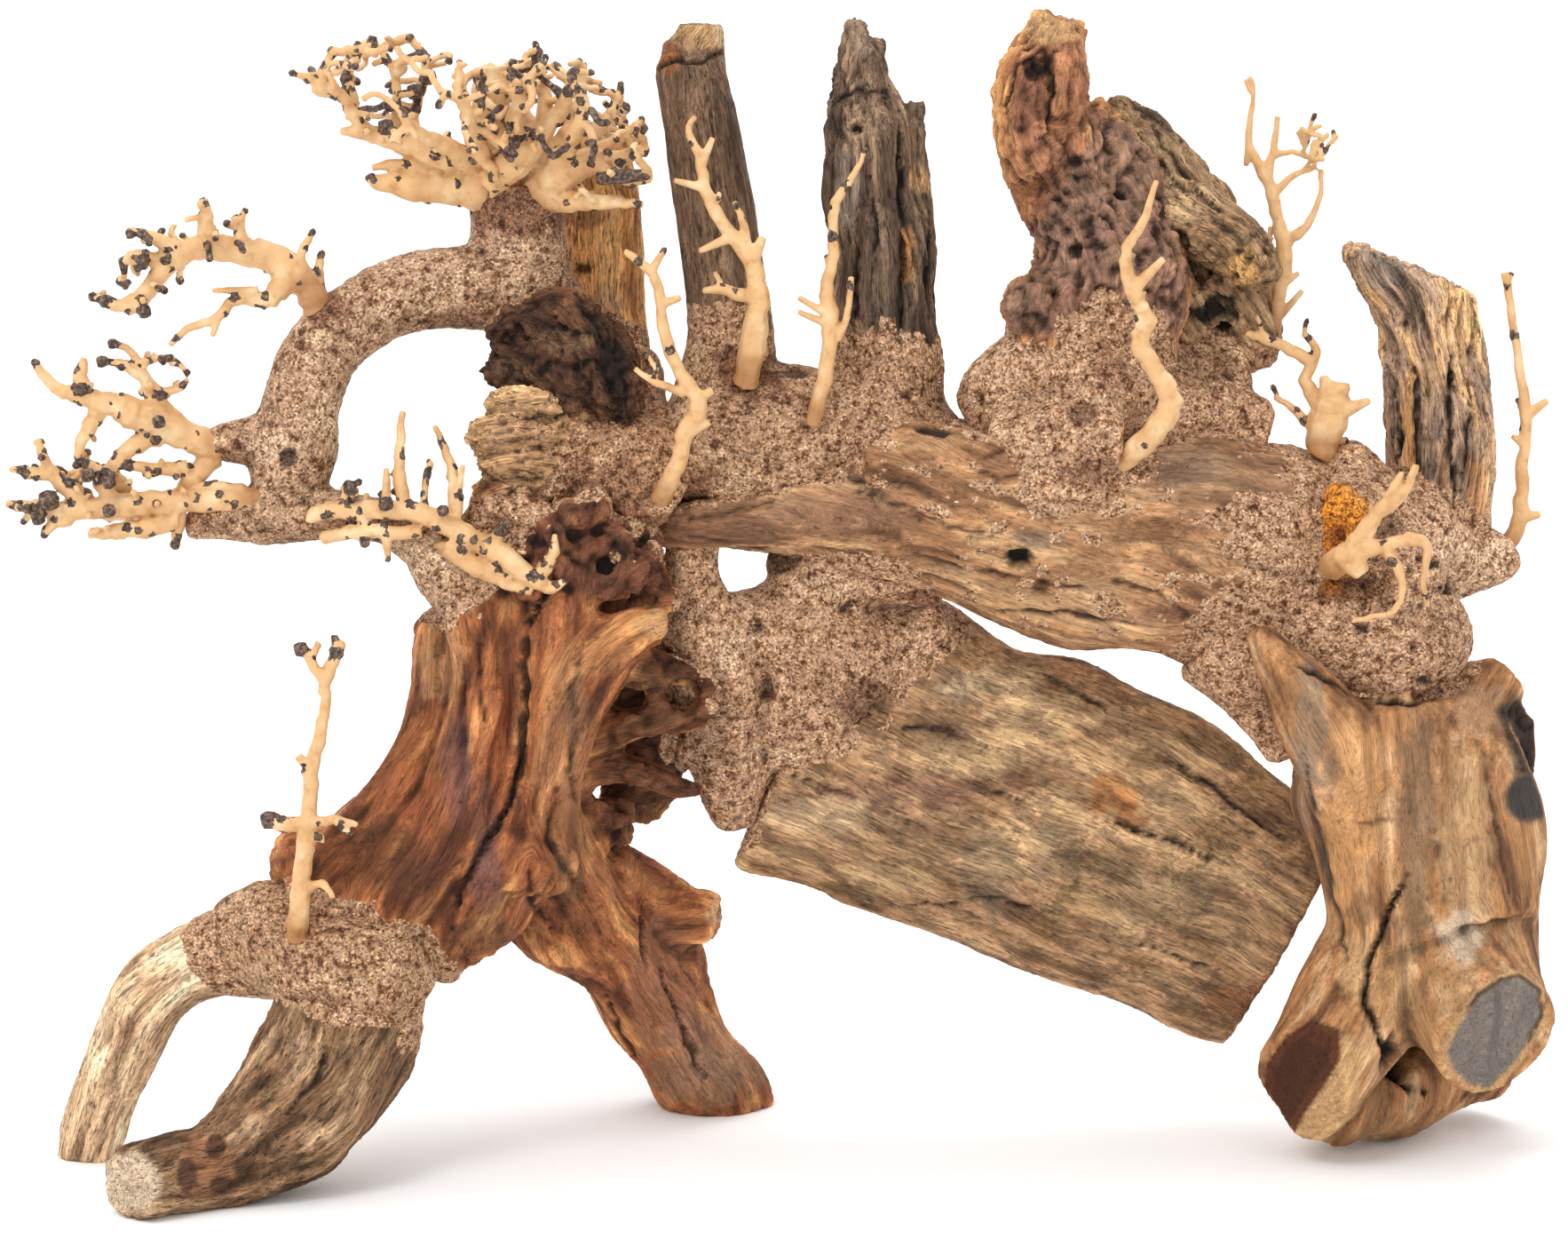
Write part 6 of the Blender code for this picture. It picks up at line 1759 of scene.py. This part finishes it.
def jagged_marks(work):
    work.cracks([
        ([(33, 312), (33, 290), (34, 270), (33, 250)], 1.0, 3.0, DEEP_SHADE),
        ([(24, 300), (26, 280), (24, 262), (26, 246)], 0.7, 1.6, DEEP_SHADE),
        ([(20, 282), (20, 266), (20, 250)], 0.8, 1.8, DEEP_SHADE),
        ([(41, 284), (41, 268), (41, 254)], 0.9, 2.0, DEEP_SHADE),
        ([(12, 314), (20, 318), (30, 318)], 0.6, 1.0, DEEP_SHADE),
    ])
    work.patches([
        # the near-black spot pushed in is painted shade in a hole
        (20, 307.5, 2.2, 1.6, DEEP_SHADE, 0.95, 0.1, 2.0), (38, 293, 3, 4, "#c49a68", 0.8),
        (35, 272, 2, 8, "#b07a45", 0.7, 0.3), (44, 262, 1.6, 10, "#a5764a", 0.7, 0.3),
        (22, 334, 4, 6, "#8a7462", 0.6), (18, 290, 4, 12, "#8f8172", 0.5), (26, 262, 4, 14, "#7d6854", 0.5),
    ])


def rear_marks(work):
    work.patches([
        (-60, 268, 5, 4, "#c39258", 0.7, 0.3), (-56.5, 268, 2.4, 1.8, "#4a2a16", 0.9, 0.2, 0.8),
        (-50, 255, 5, 10, "#b39a80", 0.5), (-56, 284, 8, 5, "#6b4a33", 0.6),
    ])


def chunk_marks(work):
    work.gnarl([(-90, 225), (-90, 260), (-38, 260), (-38, 220)], 2.6, 8.0, "#4a3022", 0.6)
    work.patches([
        (-48, 240, 5, 10, "#1c130e", 0.8), (-62, 248, 8, 4, "#8a6a4c", 0.5), (-76, 238, 6, 5, "#5c4534", 0.5),
    ])


def knot_marks(work):
    for line in (
        [(-90, 226), (-76, 227), (-60, 226)], [(-90, 217.5), (-76, 218.5), (-60, 218)],
        [(-90, 209.5), (-76, 210), (-60, 210)], [(-86, 223), (-72, 224), (-60, 222)],
        [(-84, 214), (-70, 215), (-60, 214)], [(-84, 205), (-72, 206), (-60, 205)],
    ):
        work.crack(line, 0.6, 0.8, "#6b4c38", 4.0)
    work.patches([
        (-80, 222, 12, 10, "#ab8362", 0.5, 0.9), (-72, 198, 10, 9, "#6a4030", 0.7),
        (-84, 206, 5, 3, "#7b4a2c", 0.5),
    ])
    work.scatter(7.0, 12.0, 0.15, 0.35, 0.8)


def make_woods(look, flaky, red, smooth):
    floor = [FLOOR_CUT]
    wood("trunk", TRUNK, "brown_wood", red, BROWN,
         [(1.2, 8.0, 110), (0.6, 3.6, 80), (0.3, 1.8, 40)], 1.0,
         voxel=1.14, cuts=floor, flow=TRUNK_FLOW, marks=trunk_marks)
    wood("root_rear", ROOT_REAR, "tan_wood", look, ROOT_TAN,
         [(0.7, 6.0, 60), (0.45, 2.6, 35), (0.25, 1.3, 20)], 2.0,
         lump=0.2, voxel=0.9, flat=0.85, cuts=floor, marks=rear_foot_marks)
    wood("root_front", ROOT_FRONT, "grey_wood", look, ROOT_GREY,
         [(1.1, 7.0, 26), (0.7, 3.0, 14), (0.35, 1.4, 7)], 3.0,
         lump=0.3, voxel=0.9, marks=front_marks,
         cuts=[(seen(-185, 9, 5)[0], (-0.62, -0.78, 0.05)), FLOOR_CUT])
    wood("slab_log", SLAB, "tan_wood", flaky, KHAKI,
         [(0.6, 8.0, 90), (0.45, 2.6, 22), (0.3, 1.3, 9)], 4.0,
         flat=0.4, lump=0.12, voxel=1.15, marks=slab_marks)
    wood("stump", STUMP, "tan_wood", smooth, STUMP_TAN,
         [(0.45, 10.0, 140), (0.25, 3.6, 90), (0.12, 1.5, 50)], 5.0,
         voxel=1.2, wander=1.0, flow=STUMP_FLOW, marks=stump_marks,
         cuts=[(seen(199, 52, 46)[0], (0.34, -0.9, -0.27)),
               (seen(147, 38, 52)[0], (-0.62, -0.78, -0.1)),
               FLOOR_CUT])
    wood("bridge_log", BRIDGE, "brown_wood", red, LOG,
         [(0.9, 8.0, 60), (0.55, 3.6, 34), (0.3, 1.6, 18)], 6.0,
         voxel=1.2, flat=0.85, lump=0.22, flow=BRIDGE_FLOW, marks=bridge_marks)
    wood("burl_post", BURL, "brown_wood", red, BURL_RED,
         [(2.2, 7.0, 15), (1.2, 3.4, 8), (0.5, 1.6, 4)], 7.0,
         lump=0.35, voxel=0.93, marks=burl_marks)
    wood("burl_side_root", BURL_SIDE, "grey_wood", look, SIDE_TAN,
         [(1.8, 5.0, 60), (0.8, 2.2, 40), (0.4, 1.1, 24)], 8.0,
         flat=0.7, lump=0.3, voxel=0.93, marks=side_marks)
    wood("post_ribbed", POST_RIBBED, "grey_wood", look, RIB_TAN,
         [(2.8, 4.6, 120), (1.1, 2.3, 60), (0.4, 1.1, 30)], 9.0,
         lump=0.2, voxel=0.85, marks=ribbed_marks, cuts=[(seen(176, 268, 96)[0], (0.4, 0.0, 0.92))])
    wood("post_two_steps", POST_TWO_STEPS, "grey_wood", look, POST_GREY,
         [(0.35, 4.0, 120), (0.3, 1.8, 70), (0.2, 1.0, 40)], 10.0,
         voxel=0.9, lump=0.08, blotch=0.25, marks=steps_marks)
    wood("post_jagged", POST_JAGGED, "grey_wood", look, POST_DARK,
         [(1.8, 4.6, 60), (0.9, 2.2, 40), (0.4, 1.1, 22)], 11.0,
         lump=0.3, voxel=0.88, marks=jagged_marks)
    wood("post_rear", POST_REAR, "brown_wood", look, REAR_TAN,
         [(0.5, 5.0, 90), (0.35, 2.2, 60), (0.2, 1.1, 30)], 12.0,
         flat=0.7, lump=0.1, voxel=0.9, marks=rear_marks)
    wood("dark_chunk", DARK_CHUNK, "dark_wood", look, CHUNK_DARK,
         [(2.2, 4.6, 12), (1.2, 2.2, 8), (0.5, 1.1, 4)], 13.0,
         voxel=0.8, lump=0.25, marks=chunk_marks)
    wood("knot_wood", KNOT_WOOD, "grey_wood", look, KNOT_GREY,
         [(1.8, 3.4, 26), (0.9, 1.9, 16), (0.4, 1.0, 8)], 14.0,
         lump=0.2, voxel=0.8, marks=knot_marks)


# The lumps of sand

def arch_marks(work):
    work.patches([
        (-76, 284, 16, 8, GLUE, 0.7, 0.9), (-130, 258, 8, 6, GLUE, 0.75, 0.8),
        (-95, 253, 9, 3, GLUE, 0.6, 0.8), (-156, 215, 8, 5, GLUE, 0.6, 0.9),
        # the near-black spot pushed in is painted shade in a hole
        (-165, 196, 10, 3, GLUE, 0.5, 0.9), (-140, 215, 3, 3, DEEP_SHADE, 0.8, 0.6, 1.2),
        (-84, 256, 8, 6, "#7c5a45", 0.6, 0.8),
    ])


def heart_marks(work):
    for spot in ((22, 137, 5, 3), (24, 133, 4, 2), (-4, 148, 3, 2), (40, 175, 7, 3)):
        work.patch(*spot, GLUE, 0.7, 0.9, 0.6)
    work.patches([
        (-2, 185, 6, 4, "#3a261a", 0.8, 0.6), (-20, 140, 6, 20, "#6a5140", 0.5, 0.8),
        (22, 146, 9, 8, "#8a6a54", 0.7, 0.5),
    ])
    work.knot((23, 145), 5, 10, 2.6, "#5e412f")


def shoulder_marks(work):
    work.patch(-60, 202, 30, 14, "#6f4d38", 0.65, 0.9)
    work.gnarl([(-90, 176), (-90, 206), (-62, 208), (-40, 200), (-30, 190), (-30, 176)], 2.4, 8.0, "#6b4330",
               0.7)


def posts_marks(work):
    work.patches([
        (-9, 240, 9, 9, GLUE, 0.75, 0.9), (8, 226, 5, 6, GLUE, 0.6, 0.9),
        # the near-black slit pushed in is painted shade
        (3, 239, 4, 1.4, DEEP_SHADE, 0.7, 0.5, 1.0), (-30, 206, 10, 7, GLUE, 0.55, 0.9),
    ])


def burl_sand_marks(work):
    work.patches([
        (84, 228, 5, 3, "#4a2c18", 0.7, 0.8, 1.0), (88, 210, 12, 5, GLUE, 0.5, 0.9),
        (92, 240, 6, 6, "#6e4632", 0.5, 0.8), (116, 240, 14, 6, "#6f533c", 0.5, 0.8),
    ])


def right_marks(work):
    for *resin, share in ((155, 192, 8, 15, 1.0), (154, 184, 6, 8, 1.0), (158, 200, 6, 5, 0.8)):
        work.patch(*resin, "#bd7c28", share, 0.6, -1.1)
    work.patches([(156, 194, 3, 4, "#7a4314", 0.7, 0.8, 0.8), (157, 178, 10, 4, GLUE, 0.7, 0.9)])
    # dark holes pushed in: painted shade
    for spot in ((163, 167), (186, 178), (183, 185), (140, 190), (180, 152)):
        work.patch(*spot, 2.2, 1.4, "#24140c", 0.9, 0.5, 1.2)
    work.patch(170, 196, 6, 4, "#3c2415", 0.6, 0.9)


def feet_marks(work):
    work.patch(-132, 60, 10, 5, GLUE, 0.5, 0.8)


def make_mortars(look):
    mortar("mortar_arch", ARCH_MORTAR, look, 21.0, lump=0.12, marks=arch_marks, tone=(0.92, 0.95, 0.97))
    mortar("mortar_heart", HEART_MORTAR, look, 22.0, marks=heart_marks)
    mortar("mortar_shoulder", SHOULDER_MORTAR, look, 23.0, lump=0.3, marks=shoulder_marks,
           tone=(0.85, 0.78, 0.7))
    mortar("mortar_posts", POSTS_MORTAR, look, 24.0, lump=0.12, marks=posts_marks, tone=(0.82, 0.8, 0.76))
    mortar("mortar_burl", BURL_MORTAR, look, 25.0, marks=burl_sand_marks)
    mortar("mortar_right", RIGHT_MORTAR, look, 26.0, lump=0.2, marks=right_marks)
    mortar("mortar_feet", FEET_MORTAR, look, 27.0, lump=0.3, marks=feet_marks, tone=(0.8, 0.76, 0.7))


# The twigs

def make_twigs(look):
    def tree(name, limbs, seed, kept, sprouts=0, reach=8.0, heart=None, nubs=0, root=(), slim=1.0, lumps=(),
             stain=7.0, outline=None, depths=(44, 60), goals=0, bark=0.2, **more):
        twigs = Twigs(seed, slim)
        for limb in limbs:
            twigs.limb(limb)
        if sprouts:
            twigs.sprout(sprouts, reach, heart, **more)
        twigs.nubs(nubs)
        if outline:
            twigs.fill(outline, depths, goals, bark)
            twigs.nubs(goals // 5, (0.8, 1.3), 0.5)
        for lump in lumps:
            twigs.lump(*lump)
        twigs.build(name, look, kept, root, stain)

    tree("crown_left", CROWN_LEFT, 31, 0.3, nubs=110, root=[(-78, 284, 72)], slim=0.72, depths=(46, 116),
         goals=330, bark=0.22,
         lumps=[
             (-117, 321, 66, 2.6), (-112, 308, 66, 2.4), (-102, 306, 64, 2.2), (-88, 308, 58, 2.4),
             (-84, 306, 58, 1.8), (-104, 318, 78, 2.4), (-100, 322, 80, 2.4), (-111, 314, 70, 2),
             (-116, 332, 76, 1.6, (0.5, 0, 2)), (-78, 299, 66, 1.8, (0.5, 0, 1)), (-86, 318, 84, 1.8),
             (-98, 300, 66, 1.6),
         ],
         outline=[
             (-138, 322), (-132, 326), (-129, 330), (-126, 326), (-122, 331), (-117, 334), (-106, 335),
             (-98, 331), (-91, 333), (-88, 325), (-74, 328), (-72, 300), (-78, 292), (-90, 290), (-108, 296),
             (-112, 300), (-124, 306), (-122, 312), (-132, 318),
         ])
    tree("crown_right", CROWN_RIGHT, 32, 0.3, nubs=120, root=[(-72, 284, 72)], slim=0.72, depths=(46, 112),
         goals=400, bark=0.16,
         lumps=[
             (-46, 294, 54, 2.2, (6, 0, 0.5)), (-76, 304, 62, 2, (0.4, 0, 1.5)), (-70, 306, 62, 1.8),
             (-60, 300, 62, 1.6),
         ],
         outline=[
             (-90, 316), (-89, 323), (-78, 327), (-70, 332), (-66, 330), (-62, 326), (-56, 328), (-50, 322),
             (-44, 316), (-37, 309), (-37, 300), (-40, 292), (-50, 287), (-62, 285), (-72, 290), (-80, 298),
             (-90, 306),
         ])
    tree("spray_upper", SPRAY_UPPER, 33, 0.34, nubs=40, root=[(-133, 260, 56)], slim=0.8, depths=(40, 66),
         goals=90, bark=0.25,
         lumps=[
             (-184, 278, 49, 1.6), (-186, 270, 48, 1.6), (-180, 256, 46, 2), (-191, 259, 45, 2),
         ],
         outline=[
             (-186, 254), (-196, 262), (-188, 268), (-186, 279), (-176, 280), (-166, 288), (-160, 287),
             (-150, 284), (-148, 272), (-160, 270), (-170, 264), (-174, 254),
         ])
    tree("spray_left", SPRAY_LEFT, 34, 0.34, nubs=60, root=[(-156, 219, 56)], slim=0.74, depths=(42, 72),
         goals=110, bark=0.15,
         lumps=[
             (-181, 226, 43, 2), (-189, 247, 49, 1.6), (-192, 242, 48, 1.8), (-176, 225, 44, 2),
             (-196, 240, 43, 1.8), (-192, 221, 44, 1.8), (-198, 234, 44, 1.8), (-173, 213, 46, 1.8),
         ],
         outline=[
             (-203, 230), (-198, 245), (-190, 249), (-182, 247), (-167, 240), (-167, 234), (-174, 226),
             (-162, 214), (-166, 206), (-178, 206), (-192, 206), (-200, 214), (-202, 224),
         ])
    tree("spray_low", SPRAY_LOW, 35, 0.34, nubs=70, root=[(-146, 204, 55)], slim=0.78, depths=(40, 72),
         goals=130, bark=0.25,
         lumps=[
             (-207, 203, 43, 3), (-180, 198, 44, 2.6), (-203, 212, 43, 2.4), (-190, 200, 43, 2),
             (-210, 198, 43, 2.2), (-196, 210, 43, 2.2), (-190, 208, 43, 2),
         ],
         outline=[
             (-218, 200), (-212, 206), (-217, 212), (-210, 221), (-200, 214), (-186, 214), (-180, 208),
             (-168, 208), (-164, 200), (-180, 194), (-196, 193), (-208, 195),
         ])
    tree("spray_front", SPRAY_FRONT, 36, 0.34, nubs=80, root=[(-100, 188, 50)], slim=0.78, depths=(42, 60),
         goals=120, bark=0.15,
         lumps=[
             (-112, 202, 42, 2.2), (-122, 206, 44, 1.8), (-96, 200, 42, 1.8), (-118, 191, 43, 1.6),
         ],
         outline=[
             (-134, 196), (-130, 205), (-120, 208), (-106, 205), (-98, 203), (-88, 196), (-76, 192),
             (-64, 193), (-63, 180), (-70, 177), (-86, 183), (-98, 189), (-112, 188), (-122, 190),
         ])
    tree("sapling_foot", SAPLING_FOOT, 37, 0.4, 5, 4.0, (-134, 120, 30), 12, [(-137, 79, 33)], slim=0.95,
         level=0,
         lumps=[
             (-136, 161, 28, 2.2), (-126, 160, 28, 2.2), (-145, 113, 27, 2.6), (-140, 112, 27, 2),
         ])
    tree("sapling_shoulder", SAPLING_SHOULDER, 38, 0.4, 3, 4.0, (-30, 230, 52), 6, [(-35, 203, 56)],
         slim=0.92, level=0)
    tree("sapling_post", SAPLING_POST, 39, 0.4, 4, 4.0, (-10, 260, 66), 6, [(-11, 236, 70)], slim=0.92,
         level=0, thick=(0.8, 1.0), stain=9.0)
    tree("sapling_middle", SAPLING_MIDDLE, 40, 0.4, 3, 4.0, (12, 250, 66), 4, [(8, 224, 68)], slim=0.95,
         level=0, thick=(0.7, 0.9), stain=9.0)
    tree("sapling_burl", SAPLING_BURL, 41, 0.4, 3, 4.0, (104, 240, 52), 3, slim=0.88, level=0,
         thick=(0.6, 1.0))
    tree("sapling_tall", SAPLING_TALL, 42, 0.4, 14, 7.0, (139, 280, 98), 0, [(137, 248, 97)],
         thick=(0.7, 0.8), bare=1.0, level=1)
    tree("sapling_antler", SAPLING_ANTLER, 43, 0.4, 6, 5.0, (150, 235, 84), 12, [(151, 216, 84)], slim=0.92,
         level=0)
    tree("sapling_front", SAPLING_FRONT, 44, 0.4, 2, 4.0, (165, 188, 54), 3, [(152, 180, 60)], slim=0.9,
         level=0, thick=(0.6, 0.9))
    tree("sapling_edge", SAPLING_EDGE, 45, 0.4, 2, 3.0, (208, 225, 94), 5, [(203, 190, 90)], slim=0.9,
         level=0, thick=(0.6, 0.9))


# The stage

def make_stage():
    camera = bpy.data.cameras.new("camera")
    camera.sensor_width = 36.0
    camera.lens = 36.0 * VIEW_DISTANCE / VIEW_WIDTH
    camera.clip_start, camera.clip_end = 0.05, 50.0
    eye = bpy.data.objects.new("camera", camera)
    eye.location = CAMERA * MM
    eye.rotation_euler = (math.pi / 2 - VIEW_PITCH, 0.0, 0.0)
    bpy.context.scene.collection.objects.link(eye)
    bpy.context.scene.camera = eye

    mesh = bpy.data.meshes.new("floor")
    mesh.from_pydata([(-8, -8, 0), (8, -8, 0), (8, 8, 0), (-8, 8, 0)], [], [(0, 1, 2, 3)])
    floor = bpy.data.objects.new("floor", mesh)
    bpy.context.scene.collection.objects.link(floor)
    paper = bpy.data.materials.new("paper")
    paper.use_nodes = True
    shader = paper.node_tree.nodes["Principled BSDF"]
    shader.inputs["Base Color"].default_value = (0.95, 0.95, 0.95, 1)
    shader.inputs["Roughness"].default_value = 0.9
    shader.inputs["Specular IOR Level"].default_value = 0.1
    mesh.materials.append(paper)

    world = bpy.data.worlds.new("studio")
    bpy.context.scene.world = world
    world.use_nodes = True
    world.node_tree.nodes["Background"].inputs["Color"].default_value = (1.0, 1.0, 1.0, 1)
    world.node_tree.nodes["Background"].inputs["Strength"].default_value = 1.2

    def lamp(name, place, target, size, power, tone=(1, 1, 1)):
        light = bpy.data.lights.new(name, "AREA")
        light.shape = "DISK"
        light.size = size
        light.energy = power
        light.color = tone
        obj = bpy.data.objects.new(name, light)
        obj.location = place
        aim = Vector(target) - Vector(place)
        obj.rotation_euler = aim.to_track_quat("-Z", "Y").to_euler()
        bpy.context.scene.collection.objects.link(obj)

    lamp("key", (-0.9, -1.3, 1.7), (0, 0, 0.15), 0.8, 16.0)
    lamp("top", (0.3, 0.4, 1.9), (0, 0, 0.1), 1.2, 8.0)
    bpy.context.scene.view_settings.view_transform = "Standard"


def main():
    make_woods(
        wood_look("weathered_wood"), wood_look("flaky_wood", 0.75, 1.0),
        wood_look("red_wood", 0.62, 0.45), wood_look("smooth_wood", 0.5, 0.25),
    )
    make_mortars(sand_look("glued_sand"))
    make_twigs(twig_look("debarked_twig"))
    make_stage()


main()
